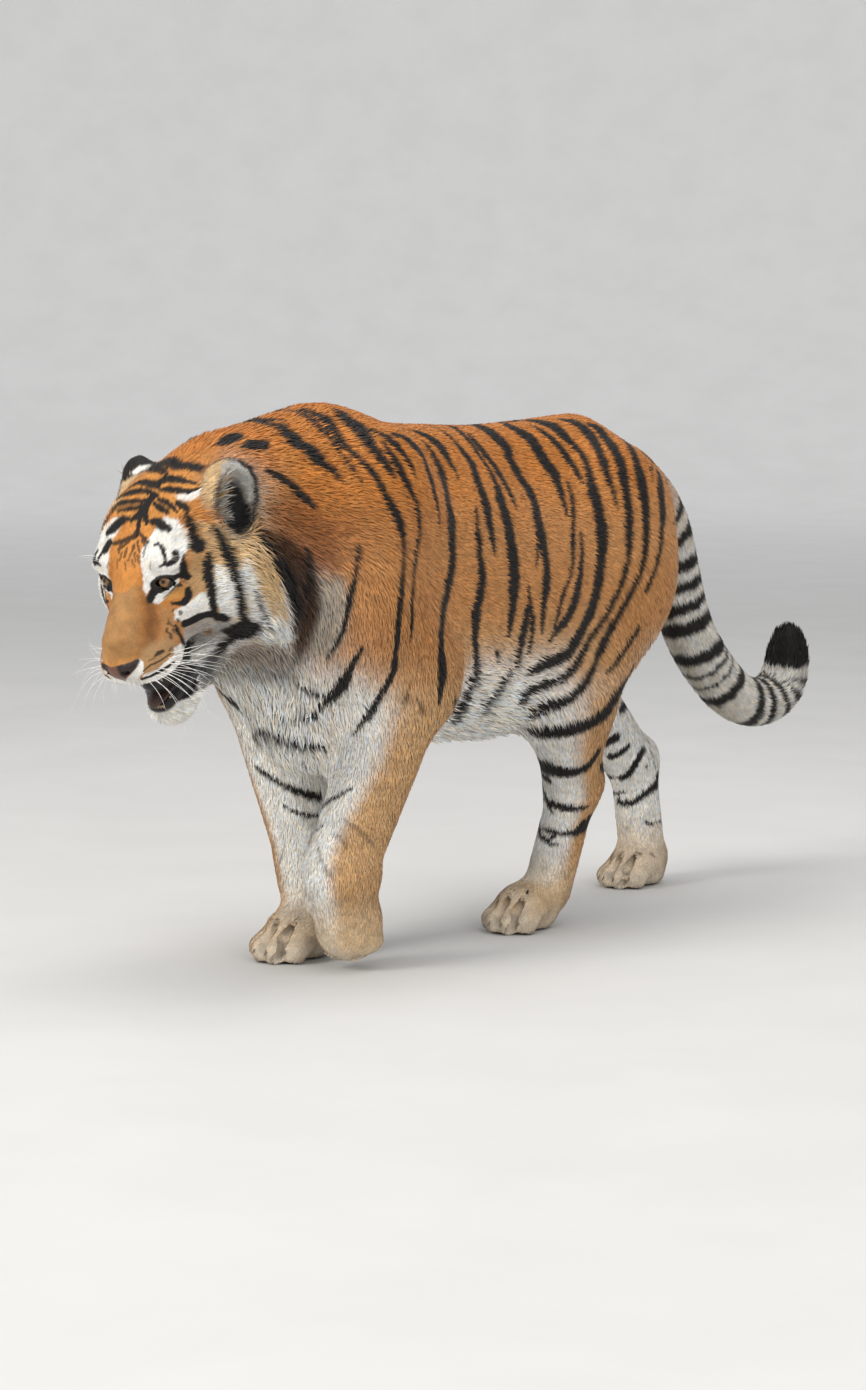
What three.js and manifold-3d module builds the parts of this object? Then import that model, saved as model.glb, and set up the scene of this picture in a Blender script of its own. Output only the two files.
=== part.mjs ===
// Life-size walking Amur tiger, a still display model.
// The whole animal is one smooth body, blended from rounded forms, and parted
// by thin plane cuts into named pieces. Sculpting units are metres (UNIT turns
// them into millimetres). The animal faces -Y, its left side is +X, +Z is up.
import * as THREE from 'three';
import { mergeVertices } from 'three/addons/utils/BufferGeometryUtils.js';
import Module from 'manifold-3d';

const wasm = await Module();
wasm.setup();

// ---------- driving dimensions (metres, degrees) ----------
const UNIT = 1000;
const GAP = 0.0003;            // clearance left by every parting cut
const CHEST_Z = 0.658;         // centre of the rib cage above the floor
const CHEST_R = [0.205, 0.38, 0.277];
const BELLY_R = [0.205, 0.34, 0.25];
const WITHERS_Y = -0.41;
const PELVIS_Y = 0.395;
const HAUNCH_R = [0.093, 0.165, 0.21];
const HEAD_AT = [0, -0.797, 0.747];
const HEAD_PITCH = 38;
const HEAD_YAW = 3;
const HEAD_ROLL = 1.5;
const JAW_DROP = 13;
const JAW_HINGE = [0, -0.02, -0.055];
const EYE_AT = [0.060, 0.107, 0.0425];
const EYE_R = 0.0168;
const EAR_HALF = [0.048, 0.036, 0.068];
const PAW_SCALE = { fore: 1.0, hind_left: 0.95, hind_right: 0.92 };
const TOE_X = [-0.041, -0.0145, 0.0145, 0.041];
const TOE_Y = [-0.050, -0.073, -0.073, -0.050];
const CLAW_LENGTH = 0.026;
const CLAW_R = 0.005, CLAW_SHOWS = 0.0070;
// stations of the tail: x, y, z, radius
const TAIL_STATIONS = [
  [0, 0.52, 0.835, 0.060], [0, 0.610, 0.795, 0.048], [0, 0.672, 0.735, 0.041],
  [0, 0.706, 0.66, 0.038], [0, 0.732, 0.585, 0.039], [0.003, 0.777, 0.505, 0.040],
  [0.009, 0.845, 0.432, 0.040], [0.017, 0.921, 0.376, 0.038], [0.027, 1.003, 0.360, 0.036],
  [0.038, 1.062, 0.386, 0.032], [0.048, 1.072, 0.438, 0.029], [0.056, 1.063, 0.492, 0.026],
];
const TAIL_STEPS = 23;

// ---------- colours of the coat ----------
const COAT = {
  orange: 0xb8682e, tan: 0xc58a50, cream: 0xd9c6a4, white: 0xe4ddd0,
  black: 0x1c1714, nose: 0x6d4038, eye: 0xb98a2c, claw: 0xcabfa6, tongue: 0xb0605a,
};

// ---------- small vector helpers ----------
const rad = (d) => d * Math.PI / 180;
const add = (a, b, s = 1) => [a[0] + b[0] * s, a[1] + b[1] * s, a[2] + b[2] * s];
const sub = (a, b) => add(a, b, -1);
const dot = (a, b) => a[0] * b[0] + a[1] * b[1] + a[2] * b[2];
const cross = (a, b) => [a[1] * b[2] - a[2] * b[1], a[2] * b[0] - a[0] * b[2], a[0] * b[1] - a[1] * b[0]];
const unit = (a) => { const l = Math.hypot(...a); return a.map((v) => v / l); };
// matrices are kept as three column vectors
const rotX = (d) => { const c = Math.cos(rad(d)), s = Math.sin(rad(d)); return [[1, 0, 0], [0, c, s], [0, -s, c]]; };
const rotZ = (d) => { const c = Math.cos(rad(d)), s = Math.sin(rad(d)); return [[c, s, 0], [-s, c, 0], [0, 0, 1]]; };
const EYE3 = [[1, 0, 0], [0, 1, 0], [0, 0, 1]];
const mul = (M, v) => add(add([M[0][0] * v[0], M[0][1] * v[0], M[0][2] * v[0]], M[1], v[1]), M[2], v[2]);
const mulM = (A, B) => B.map((col) => mul(A, col));
const mirrorM = (M) => [[M[0][0], -M[0][1], -M[0][2]], [-M[1][0], M[1][1], M[1][2]], [-M[2][0], M[2][1], M[2][2]]];

// ---------- the rounded forms that make up the body ----------
const forms = [];
function egg(c, r, { k = 0.05, M = EYE3, cut = false } = {}) {
  forms.push({ kind: 'egg', c, r, k, M, cut });
}
function limb(a, b, ra, rb, { k = 0.05, flat = null, cut = false } = {}) {
  forms.push({ kind: 'limb', a, b, ra, rb, k, flat, cut });
}
const flipX = (p) => [-p[0], p[1], p[2]];
function eggs(c, r, o = {}) { egg(c, r, o); egg(flipX(c), r, { ...o, M: o.M ? mirrorM(o.M) : EYE3 }); }

function trunk() {
  egg([0, -0.20, CHEST_Z], CHEST_R, { k: 0.06 });                 // rib cage
  egg([0, -0.44, 0.62], [0.165, 0.19, 0.20], { k: 0.08 });        // fore chest
  egg([0, 0.06, 0.615], BELLY_R, { k: 0.08 });                    // belly
  egg([0, 0.26, 0.735], [0.165, 0.26, 0.19], { k: 0.08 });        // loin
  egg([0, PELVIS_Y, 0.768], [0.148, 0.185, 0.170], { k: 0.07 });  // pelvis
  egg([0, WITHERS_Y, 0.858], [0.085, 0.19, 0.113], { k: 0.07 });  // withers
  limb([0, -0.36, 0.880], [0, 0.33, 0.899], 0.068, 0.067, { k: 0.08 }); // spine
  eggs([0.125, -0.42, 0.745], [0.075, 0.14, 0.215], { k: 0.06, M: rotX(-14) }); // shoulder blades
  egg([0, -0.535, 0.61], [0.115, 0.10, 0.14], { k: 0.07 });       // breast
  limb([0, -0.44, 0.802], [0, -0.68, 0.790], 0.178, 0.132, { k: 0.08 }); // neck
  limb([0, -0.46, 0.875], [0, -0.69, 0.866], 0.110, 0.094, { k: 0.06 }); // crest of the neck
  egg([0, -0.46, 0.455], [0.095, 0.12, 0.110], { k: 0.05 });             // brisket
  limb([0, -0.50, 0.66], [0, -0.69, 0.69], 0.13, 0.115, { k: 0.08 });   // throat
  eggs([0.106, 0.335, 0.70], HAUNCH_R, { k: 0.06 });              // haunches
}

function legs() {
  const thin = [[1, 0, 0], 0.75];
  // left hind, set forward
  limb([0.122, 0.33, 0.655], [0.130, 0.165, 0.47], 0.119, 0.108, { k: 0.06, flat: thin });
  limb([0.125, 0.155, 0.44], [0.104, 0.208, 0.28], 0.088, 0.053);
  egg([0.102, 0.243, 0.270], [0.027, 0.027, 0.044], { k: 0.03 });
  limb([0.101, 0.220, 0.272], [0.085, 0.155, 0.075], 0.047, 0.047, { k: 0.04 });
  // right hind, set back
  limb([-0.125, 0.43, 0.66], [-0.14, 0.46, 0.47], 0.125, 0.100, { k: 0.06, flat: thin });
  limb([-0.135, 0.485, 0.455], [-0.106, 0.690, 0.275], 0.085, 0.054);
  egg([-0.103, 0.752, 0.250], [0.028, 0.028, 0.042], { k: 0.03 });
  limb([-0.103, 0.718, 0.250], [-0.083, 0.722, 0.075], 0.049, 0.048, { k: 0.04 });
  // left fore, swinging forward with a bent wrist
  limb([0.138, -0.50, 0.64], [0.155, -0.36, 0.52], 0.105, 0.086, { k: 0.08 });
  limb([0.150, -0.385, 0.49], [0.100, -0.485, 0.20], 0.080, 0.064);
  egg([0.100, -0.49, 0.175], [0.064, 0.055, 0.055], { k: 0.03 });
  limb([0.098, -0.485, 0.17], [0.085, -0.455, 0.075], 0.058, 0.056, { k: 0.03 });
  // right fore, carrying the weight
  limb([-0.138, -0.52, 0.64], [-0.160, -0.365, 0.52], 0.105, 0.090, { k: 0.08 });
  limb([-0.158, -0.380, 0.49], [-0.089, -0.350, 0.16], 0.085, 0.058);
  limb([-0.085, -0.350, 0.16], [-0.07, -0.375, 0.07], 0.053, 0.052, { k: 0.04 });
}

const paws = [
  { name: 'fore_right', at: [-0.065, -0.415, 0], yaw: -4, s: PAW_SCALE.fore },
  { name: 'hind_left', at: [0.075, 0.092, 0], yaw: 0, s: PAW_SCALE.hind_left },
  { name: 'hind_right', at: [-0.075, 0.688, 0], yaw: -4, s: PAW_SCALE.hind_right },
];
const pawPoint = (p, q) => add(p.at, mul(rotZ(p.yaw), q.map((v) => v * p.s)));
function standingPaw(p) {
  const M = rotZ(p.yaw), r = (v) => v.map((x) => x * p.s);
  egg(pawPoint(p, [0, 0.01, 0.050]), r([0.056, 0.075, 0.049]), { k: 0.03, M });
  TOE_X.forEach((x, i) => limb(pawPoint(p, [x * 0.85, TOE_Y[i] + 0.045, 0.050]),
    pawPoint(p, [x, TOE_Y[i], 0.0235]), 0.026 * p.s, 0.0245 * p.s, { k: 0.010 }));
  egg(pawPoint(p, [0, 0.02, 0.019]), r([0.045, 0.055, 0.022]), { k: 0.02, M });
}
// the lifted left fore paw hangs from the wrist, toes down
const HANG = { at: [0.085, -0.440, 0], x: [-0.037, -0.012, 0.014, 0.039], z: [0.056, 0.045, 0.045, 0.056] };
function hangingPaw() {
  egg([0.085, -0.452, 0.088], [0.058, 0.045, 0.060], { k: 0.03 });
  HANG.x.forEach((x, i) => limb([0.085 + x * 0.85, -0.455, HANG.z[i] + 0.030],
    [0.085 + x, -0.438, HANG.z[i]], 0.024, 0.023, { k: 0.010 }));
  egg([0.046, -0.50, 0.130], [0.018, 0.022, 0.028], { k: 0.02 });
}

function tailStations() {
  const P = TAIL_STATIONS, m = P.length - 1, out = [];
  for (let i = 0; i < TAIL_STEPS; i++) {
    const u = m * i / (TAIL_STEPS - 1), j = Math.min(Math.floor(u), m - 1), f = u - j;
    const [p0, p1, p2, p3] = [P[Math.max(j - 1, 0)], P[j], P[j + 1], P[Math.min(j + 2, m)]];
    out.push(p1.map((_, a) => 0.5 * (2 * p1[a] + (-p0[a] + p2[a]) * f
      + (2 * p0[a] - 5 * p1[a] + 4 * p2[a] - p3[a]) * f * f
      + (-p0[a] + 3 * p1[a] - 3 * p2[a] + p3[a]) * f * f * f)));
  }
  return out;
}
function tail() {
  const s = tailStations();
  for (let i = 0; i + 1 < s.length; i++) {
    limb(s[i].slice(0, 3), s[i + 1].slice(0, 3), s[i][3], s[i + 1][3], { k: i ? 0.045 : 0.07 });
  }
}

// head frame: columns are lateral (left), forward (nose) and up
function headFrame() {
  const a = rad(HEAD_PITCH), r = rad(HEAD_ROLL);
  const F = [0, -Math.cos(a), -Math.sin(a)], U = [0, -Math.sin(a), Math.cos(a)], L = [1, 0, 0];
  const L2 = add(L.map((v) => v * Math.cos(r)), U, Math.sin(r));
  const U2 = add(U.map((v) => v * Math.cos(r)), L, -Math.sin(r));
  return mulM(rotZ(HEAD_YAW), [L2, F, U2]);
}
const HM = headFrame();
const H = (p) => add(HEAD_AT, mul(HM, p));
const jaw = (p) => {
  const a = rad(JAW_DROP), q = sub(p, JAW_HINGE);
  return add(JAW_HINGE, [q[0], q[1] * Math.cos(a) + q[2] * Math.sin(a), -q[1] * Math.sin(a) + q[2] * Math.cos(a)]);
};
function headEgg(p, r, o = {}) { egg(H(p), r, { ...o, M: o.M ? mulM(HM, o.M) : HM }); }
function headEggs(p, r, o = {}) { headEgg(p, r, o); headEgg(flipX(p), r, { ...o, M: o.M ? mirrorM(o.M) : undefined }); }
function headLimb(a, b, ra, rb, o = {}) {
  limb(H(a), H(b), ra, rb, { ...o, flat: o.flat ? [mul(HM, o.flat[0]), o.flat[1]] : null });
}
function head() {
  headEgg([0, -0.045, 0.040], [0.112, 0.125, 0.098], { k: 0.05 });          // skull
  headEgg([0, 0.055, 0.045], [0.085, 0.070, 0.058], { k: 0.04 });           // brow
  headEggs([0.060, 0.060, 0.052], [0.040, 0.045, 0.040], { k: 0.03 });      // brow ridges
  headLimb([0, 0.090, 0.040], [0, 0.205, -0.010], 0.046, 0.038, { k: 0.035 }); // nose bridge
  headEgg([0, 0.165, -0.050], [0.062, 0.080, 0.050], { k: 0.03 });          // muzzle
  headEggs([0.033, 0.190, -0.062], [0.040, 0.050, 0.044], { k: 0.022 });    // whisker pads
  headEgg([0, 0.236, -0.032], [0.029, 0.022, 0.022], { k: 0.014 });         // nose pad
  headEggs([0.102, 0.034, -0.038], [0.055, 0.066, 0.078], { k: 0.04 });     // cheeks
  headEggs([0.062, -0.015, 0.072], [0.054, 0.078, 0.046], { k: 0.04 });     // temples
  headEggs([0.058, 0.085, -0.020], [0.042, 0.062, 0.052], { k: 0.035 });    // under the eyes
  headEggs([0.070, -0.02, -0.075], [0.068, 0.09, 0.085], { k: 0.04 });      // jowls
  for (const s of [1, -1]) {                                                // ruff
    headLimb([s * 0.118, -0.040, -0.010], [s * 0.112, -0.025, -0.125], 0.048, 0.056, { k: 0.04 });
  }
  for (const s of [1, -1]) {                                                // lower jaw
    headLimb(jaw([s * 0.050, 0, -0.092]), jaw([s * 0.028, 0.165, -0.112]), 0.046, 0.031, { k: 0.03 });
  }
  headEgg(jaw([0, 0.200, -0.123]), [0.044, 0.040, 0.036], { k: 0.025, M: rotX(JAW_DROP) }); // chin
  headLimb(jaw([0, 0.120, -0.088]), jaw([0, 0.250, -0.082]), 0.046, 0.062,  // open mouth
    { k: 0.008, cut: true, flat: [[0, 0.13, 1], 0.15] });
  for (const s of [1, -1]) { const e = earFrame(s); egg(add(e.at, e.n, -0.014), EAR_HALF, { k: 0.022, M: e.M }); }
  for (const s of [1, -1]) {
    const e = earFrame(s);
    egg(add(add(e.at, e.n, 0.020), e.up, -0.004), [0.037, 0.034, 0.054], { k: 0.008, M: e.M, cut: true });
  }
  headEggs([0.060, 0.118, 0.043], [0.021, 0.020, 0.0155], { k: 0.012, cut: true });         // eye sockets
}
function earFrame(s) {
  const up = unit([s * 0.12, 0.03, 1]);
  let n = [s * 0.92, -0.36, 0.10];
  n = unit(add(n, up, -dot(n, up)));
  return { at: [s * 0.108 - 0.006, -0.790, 0.848], n, up, M: [cross(up, n), n, up] };
}

trunk(); legs(); paws.forEach(standingPaw); hangingPaw(); tail(); head();

// ---------- distance to the blended body ----------
function formDistance(f, p) {
  if (f.kind === 'egg') {
    const d = sub(p, f.c), q = [dot(d, f.M[0]), dot(d, f.M[1]), dot(d, f.M[2])];
    const k0 = Math.hypot(q[0] / f.r[0], q[1] / f.r[1], q[2] / f.r[2]);
    const k1 = Math.hypot(q[0] / f.r[0] ** 2, q[1] / f.r[1] ** 2, q[2] / f.r[2] ** 2);
    return k1 > 1e-9 ? k0 * (k0 - 1) / k1 : -Math.min(...f.r);
  }
  let q = sub(p, f.a), ba = sub(f.b, f.a), scale = 1;
  if (f.flat) {
    const n = unit(f.flat[0]), s = 1 / f.flat[1] - 1;
    q = add(q, n, dot(q, n) * s); ba = add(ba, n, dot(ba, n) * s);
    scale = Math.min(1, f.flat[1] * 1.15);
  }
  const l2 = dot(ba, ba), rr = f.ra - f.rb, a2 = l2 - rr * rr, y = dot(q, ba), z = y - l2;
  const w = add(q.map((v) => v * l2), ba, -y), x2 = dot(w, w), y2 = y * y * l2, z2 = z * z * l2;
  const k = Math.sign(rr) * rr * rr * x2;
  let d;
  if (Math.sign(z) * a2 * z2 > k) d = Math.sqrt(x2 + z2) / l2 - f.rb;
  else if (Math.sign(y) * a2 * y2 < k) d = Math.sqrt(x2 + y2) / l2 - f.ra;
  else d = (Math.sqrt(Math.max(x2 * a2 / l2, 0)) + y * rr) / l2 - f.ra;
  return d * scale;
}
const BAND = 0.08;
for (const f of forms) {
  const m = BAND + f.k;
  if (f.kind === 'egg') {
    const e = [0, 1, 2].map((i) => Math.hypot(f.M[0][i] * f.r[0], f.M[1][i] * f.r[1], f.M[2][i] * f.r[2]));
    f.lo = f.c.map((v, i) => v - e[i] - m); f.hi = f.c.map((v, i) => v + e[i] + m);
  } else {
    const r = Math.max(f.ra, f.rb) + m;
    f.lo = f.a.map((v, i) => Math.min(v, f.b[i]) - r); f.hi = f.a.map((v, i) => Math.max(v, f.b[i]) + r);
  }
}
function body(p) {
  let D = 0.12;
  for (const f of forms) {
    if (p[0] < f.lo[0] || p[0] > f.hi[0] || p[1] < f.lo[1] || p[1] > f.hi[1] || p[2] < f.lo[2] || p[2] > f.hi[2]) continue;
    let d = formDistance(f, p);
    if (f.cut) { d = -d; const h = Math.max(f.k - Math.abs(D - d), 0) / f.k; D = Math.max(D, d) + h * h * f.k / 4; }
    else { const h = Math.max(f.k - Math.abs(D - d), 0) / f.k; D = Math.min(D, d) - h * h * f.k / 4; }
  }
  return D;
}
const slope = (fn, p, e = 1e-3) => [0, 1, 2].map((i) => {
  const a = p.slice(), b = p.slice(); a[i] += e; b[i] -= e; return (fn(a) - fn(b)) / (2 * e);
});

// ---------- closed mesh of a field inside a box ----------
function netMesh(fn, lo, hi, h, phase) {
  const n = [0, 1, 2].map((i) => Math.ceil((hi[i] - lo[i]) / h) + 3);
  const o = lo.map((v) => v - h * (1 + phase));
  const id = (i, j, k) => (i * n[1] + j) * n[2] + k;
  const val = new Float64Array(n[0] * n[1] * n[2]);
  for (let i = 0; i < n[0]; i++) for (let j = 0; j < n[1]; j++) for (let k = 0; k < n[2]; k++) {
    const edge = i === 0 || j === 0 || k === 0 || i === n[0] - 1 || j === n[1] - 1 || k === n[2] - 1;
    const v = edge ? h : fn([o[0] + i * h, o[1] + j * h, o[2] + k * h]);
    val[id(i, j, k)] = Math.abs(v) < 1e-7 ? 1e-7 : v;
  }
  const verts = [], cell = new Map();
  const bits = [4, 2, 1];                                  // corner bit of each axis
  const at = (c) => [c >> 2, (c >> 1) & 1, c & 1];
  for (let i = 0; i < n[0] - 1; i++) for (let j = 0; j < n[1] - 1; j++) for (let k = 0; k < n[2] - 1; k++) {
    let inside = 0; const c = [];
    for (let b = 0; b < 8; b++) {
      const v = val[id(i + (b >> 2), j + ((b >> 1) & 1), k + (b & 1))]; c.push(v); if (v < 0) inside++;
    }
    if (inside === 0 || inside === 8) continue;
    // crossed edges, linked into loops across the six faces; each loop gets one vertex
    const root = new Map();
    const find = (e) => { while (root.get(e) !== e) e = root.get(e); return e; };
    const key = (a, b) => (Math.min(a, b) << 3) | Math.max(a, b);
    for (let a = 0; a < 8; a++) for (const bit of bits) { const b = a | bit; if (b !== a && (c[a] < 0) !== (c[b] < 0)) root.set(key(a, b), key(a, b)); }
    for (let ax = 0; ax < 3; ax++) for (const end of [0, bits[ax]]) {
      const u = bits[(ax + 1) % 3], v = bits[(ax + 2) % 3];
      const ring = [end, end | u, end | u | v, end | v];
      const crossed = ring.map((a, q) => [a, ring[(q + 1) % 4]]).filter(([a, b]) => root.has(key(a, b)));
      if (crossed.length === 2) root.set(find(key(...crossed[0])), find(key(...crossed[1])));
      if (crossed.length === 4) for (let q = 0; q < 4; q++) if (c[ring[q]] < 0) {
        root.set(find(key(ring[q], ring[(q + 1) % 4])), find(key(ring[q], ring[(q + 3) % 4])));
      }
    }
    const sums = new Map(), own = new Map();
    for (const e of root.keys()) {
      const r = find(e), a = e >> 3, b = e & 7, t = c[a] / (c[a] - c[b]), A = at(a), B = at(b);
      const q = sums.get(r) ?? [0, 0, 0, 0];
      for (let x = 0; x < 3; x++) q[x] += A[x] + t * (B[x] - A[x]); q[3]++;
      sums.set(r, q);
    }
    for (const [r, q] of sums) { sums.set(r, verts.length); verts.push([o[0] + (i + q[0] / q[3]) * h, o[1] + (j + q[1] / q[3]) * h, o[2] + (k + q[2] / q[3]) * h]); }
    for (const e of root.keys()) own.set(e, sums.get(find(e)));
    cell.set(id(i, j, k), own);
  }
  const tris = [];
  const step = [n[1] * n[2], n[2], 1];
  for (let i = 0; i < n[0] - 1; i++) for (let j = 0; j < n[1] - 1; j++) for (let k = 0; k < n[2] - 1; k++) {
    const here = id(i, j, k), a = val[here];
    for (let ax = 0; ax < 3; ax++) {
      const b = val[here + step[ax]];
      if ((a < 0) === (b < 0)) continue;
      const uA = (ax + 1) % 3, vA = (ax + 2) % 3, u = step[uA], v = step[vA], ub = bits[uA], vb = bits[vA], ab = bits[ax];
      // the same lattice edge seen from each of its four cells
      let q = [[here, 0], [here - u, ub], [here - u - v, ub | vb], [here - v, vb]].map(([x, base]) => cell.get(x)?.get((base << 3) | base | ab));
      if (q.some((x) => x === undefined)) continue;
      if (a >= 0) q = q.reverse();
      const d = (x, y) => Math.hypot(...sub(verts[q[x]], verts[q[y]]));
      if (d(0, 2) <= d(1, 3)) tris.push(q[0], q[1], q[2], q[0], q[2], q[3]);
      else tris.push(q[1], q[2], q[3], q[1], q[3], q[0]);
    }
  }
  return { verts, tris };
}
// fewer triangles for the same shape: edges whose removal costs least (by squared
// distance to the planes they touch) are closed up first
function thinOut(verts, tris, target) {
  const V = verts.map((v) => v.slice()), T = [], around = V.map(() => new Set());
  for (let i = 0; i < tris.length; i += 3) { T.push([tris[i], tris[i + 1], tris[i + 2]]); for (let a = 0; a < 3; a++) around[tris[i + a]].add(T.length - 1); }
  const normal = (t, P = V) => cross(sub(P[t[1]], P[t[0]]), sub(P[t[2]], P[t[0]]));
  const Q = V.map(() => new Float64Array(10));
  for (const t of T) {
    const m = normal(t), area = Math.hypot(...m); if (area < 1e-16) continue;
    const n = m.map((x) => x / area), d = -dot(n, V[t[0]]), q = [n[0] * n[0], n[0] * n[1], n[0] * n[2], n[0] * d, n[1] * n[1], n[1] * n[2], n[1] * d, n[2] * n[2], n[2] * d, d * d];
    for (const v of t) for (let i = 0; i < 10; i++) Q[v][i] += q[i] * area;
  }
  const cost = (q, p) => q[0] * p[0] * p[0] + 2 * q[1] * p[0] * p[1] + 2 * q[2] * p[0] * p[2] + 2 * q[3] * p[0] + q[4] * p[1] * p[1]
    + 2 * q[5] * p[1] * p[2] + 2 * q[6] * p[1] + q[7] * p[2] * p[2] + 2 * q[8] * p[2] + q[9];
  const best = (a, b) => {
    const q = Q[a].map((x, i) => x + Q[b][i]), mid = V[a].map((x, i) => (x + V[b][i]) / 2);
    const A = [[q[0], q[1], q[2]], [q[1], q[4], q[5]], [q[2], q[5], q[7]]], r = [-q[3], -q[6], -q[8]];
    const det = dot(A[0], cross(A[1], A[2])), len = Math.hypot(...sub(V[a], V[b]));
    const tries = [V[a], V[b], mid];
    if (Math.abs(det) > 1e-18) {
      const c = cross(A[1], A[2]), d = cross(A[2], A[0]), e = cross(A[0], A[1]);
      const p = [0, 1, 2].map((i) => (c[i] * r[0] + d[i] * r[1] + e[i] * r[2]) / det);
      if (Math.hypot(...sub(p, mid)) < len * 1.2) tries.push(p);
    }
    let out = null;
    for (const p of tries) { const c = cost(q, p) + 1e-9 * len * len; if (!out || c < out.c) out = { c, p: p.slice(), q }; }
    return out;
  };
  const heap = [], stamp = V.map(() => 0);
  const up = (i) => { while (i) { const p = (i - 1) >> 1; if (heap[p].c <= heap[i].c) break; [heap[p], heap[i]] = [heap[i], heap[p]]; i = p; } };
  const down = () => { let i = 0; for (;;) { let c = 2 * i + 1; if (c >= heap.length) break; if (c + 1 < heap.length && heap[c + 1].c < heap[c].c) c++; if (heap[i].c <= heap[c].c) break; [heap[c], heap[i]] = [heap[i], heap[c]]; i = c; } };
  const push = (a, b) => { const e = best(a, b); heap.push({ ...e, a, b, s: stamp[a] + stamp[b] }); up(heap.length - 1); };
  const near = (v) => { const s = new Set(); for (const t of around[v]) for (const x of T[t]) if (x !== v) s.add(x); return s; };
  for (let v = 0; v < V.length; v++) for (const x of near(v)) if (x > v) push(v, x);
  let count = T.length;
  while (count > target && heap.length) {
    const e = heap[0], last = heap.pop(); if (heap.length) { heap[0] = last; down(); }
    if (e.dead || !around[e.a] || !around[e.b] || e.s !== stamp[e.a] + stamp[e.b]) continue;
    const na = near(e.a), nb = near(e.b); let shared = 0; for (const x of na) if (nb.has(x)) shared++;
    if (!na.has(e.b) || shared !== 2) continue;
    let flips = false;
    for (const v of [e.a, e.b]) for (const t of around[v]) {
      if (T[t].includes(e.a) && T[t].includes(e.b)) continue;
      const before = normal(T[t]), P = T[t].map((x) => (x === v ? e.p : V[x])), after = cross(sub(P[1], P[0]), sub(P[2], P[0]));
      if (dot(before, after) < 0.25 * Math.hypot(...before) * Math.hypot(...after)) { flips = true; break; }
    }
    if (flips) continue;
    V[e.a] = e.p; Q[e.a] = e.q;
    for (const t of [...around[e.b]]) {
      if (T[t].includes(e.a)) { for (const x of T[t]) around[x].delete(t); T[t] = null; count--; }
      else { T[t] = T[t].map((x) => (x === e.b ? e.a : x)); around[e.a].add(t); }
    }
    around[e.b] = null; stamp[e.a]++; stamp[e.b]++;
    for (const x of near(e.a)) push(e.a, x);
  }
  const map = new Map(), outV = [], outT = [];
  for (const t of T) if (t) for (const x of t) { if (!map.has(x)) { map.set(x, outV.length); outV.push(V[x]); } outT.push(map.get(x)); }
  return { verts: outV, tris: outT };
}
function toManifold(verts, tris) {                       // facing out whichever way the faces were listed
  const make = (t) => new wasm.Manifold(new wasm.Mesh({ numProp: 3, vertProperties: new Float32Array(verts.flat()), triVerts: new Uint32Array(t) }));
  const m = make(tris);
  return m.volume() < 0 ? make(tris.map((_, i) => tris[i - i % 3 + [0, 2, 1][i % 3]])) : m;
}
function fromGeometry(g) {
  const c = g.clone(); c.deleteAttribute('normal'); c.deleteAttribute('uv');
  const m = mergeVertices(c, 1e-6), a = m.attributes.position.array, verts = [];
  for (let i = 0; i < a.length; i += 3) verts.push([a[i], a[i + 1], a[i + 2]]);
  return toManifold(verts, Array.from(m.index.array));
}

// ---------- parting regions: a point is inside where every plane gives a negative value ----------
const plane = (at, n) => ({ at, n: unit(n) });           // keeps the side that n points away from
const side = (ax, v, s) => { const n = [0, 0, 0]; n[ax] = s; const at = [0, 0, 0]; at[ax] = v; return plane(at, n); };
const below = (ax, v) => side(ax, v, 1), above = (ax, v) => side(ax, v, -1);
const box = (x0, x1, y0, y1, z0, z1) => [above(0, x0), below(0, x1), above(1, y0), below(1, y1), above(2, z0), below(2, z1)];
const regionValue = (R, p) => Math.max(...R.map((q) => dot(sub(p, q.at), q.n)));
const BIG = 4;
function halfSpace(q, grow) {                            // a large block whose face lies on the plane
  const g = new THREE.BoxGeometry(BIG, BIG, BIG);
  g.translate(0, 0, -BIG / 2 + grow);
  const turn = new THREE.Quaternion().setFromUnitVectors(new THREE.Vector3(0, 0, 1), new THREE.Vector3(...q.n));
  g.applyQuaternion(turn); g.translate(...q.at);
  return fromGeometry(g);
}
function regionSolid(R, grow) { return R.map((q) => halfSpace(q, grow)).reduce((a, b) => a.intersect(b)); }

const headPlane = plane([0, -0.665, 0.765], [0, 0.99, 0.14]);       // head side is kept
const neckPlane = plane([0, -0.55, 0.80], [0, 0.86, -0.51]);        // neck and head side is kept
const opposite = (q) => plane(q.at, q.n.map((v) => -v));
const earRegion = (s) => {
  const e = earFrame(s);
  return [plane(add(e.at, e.up, -0.030), unit(add(e.up.map((v) => -v), e.n, -0.55))), plane(add(e.at, e.M[0], 0.085), e.M[0]),
    plane(add(e.at, e.M[0], -0.085), e.M[0].map((v) => -v)), side(0, s * 0.045, -s)];
};
const hp = (p, n) => plane(H(p), mul(HM, n));
const jn = (v) => { const a = rad(JAW_DROP); return [v[0], v[1] * Math.cos(a) + v[2] * Math.sin(a), -v[1] * Math.sin(a) + v[2] * Math.cos(a)]; };
const jawRegion = [hp(jaw([0, 0.185, -0.085]), jn([0, -0.10, 1])), hp([0, 0.060, -0.10], [0, -1, 0])];
const noseRegion = [hp([0, 0.236, -0.03], [0, -1, 0.25]), hp([0, 0.24, -0.052], [0, 0, -1]), hp([0.034, 0.24, 0], [1, 0, 0]), hp([-0.034, 0.24, 0], [-1, 0, 0])];
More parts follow.
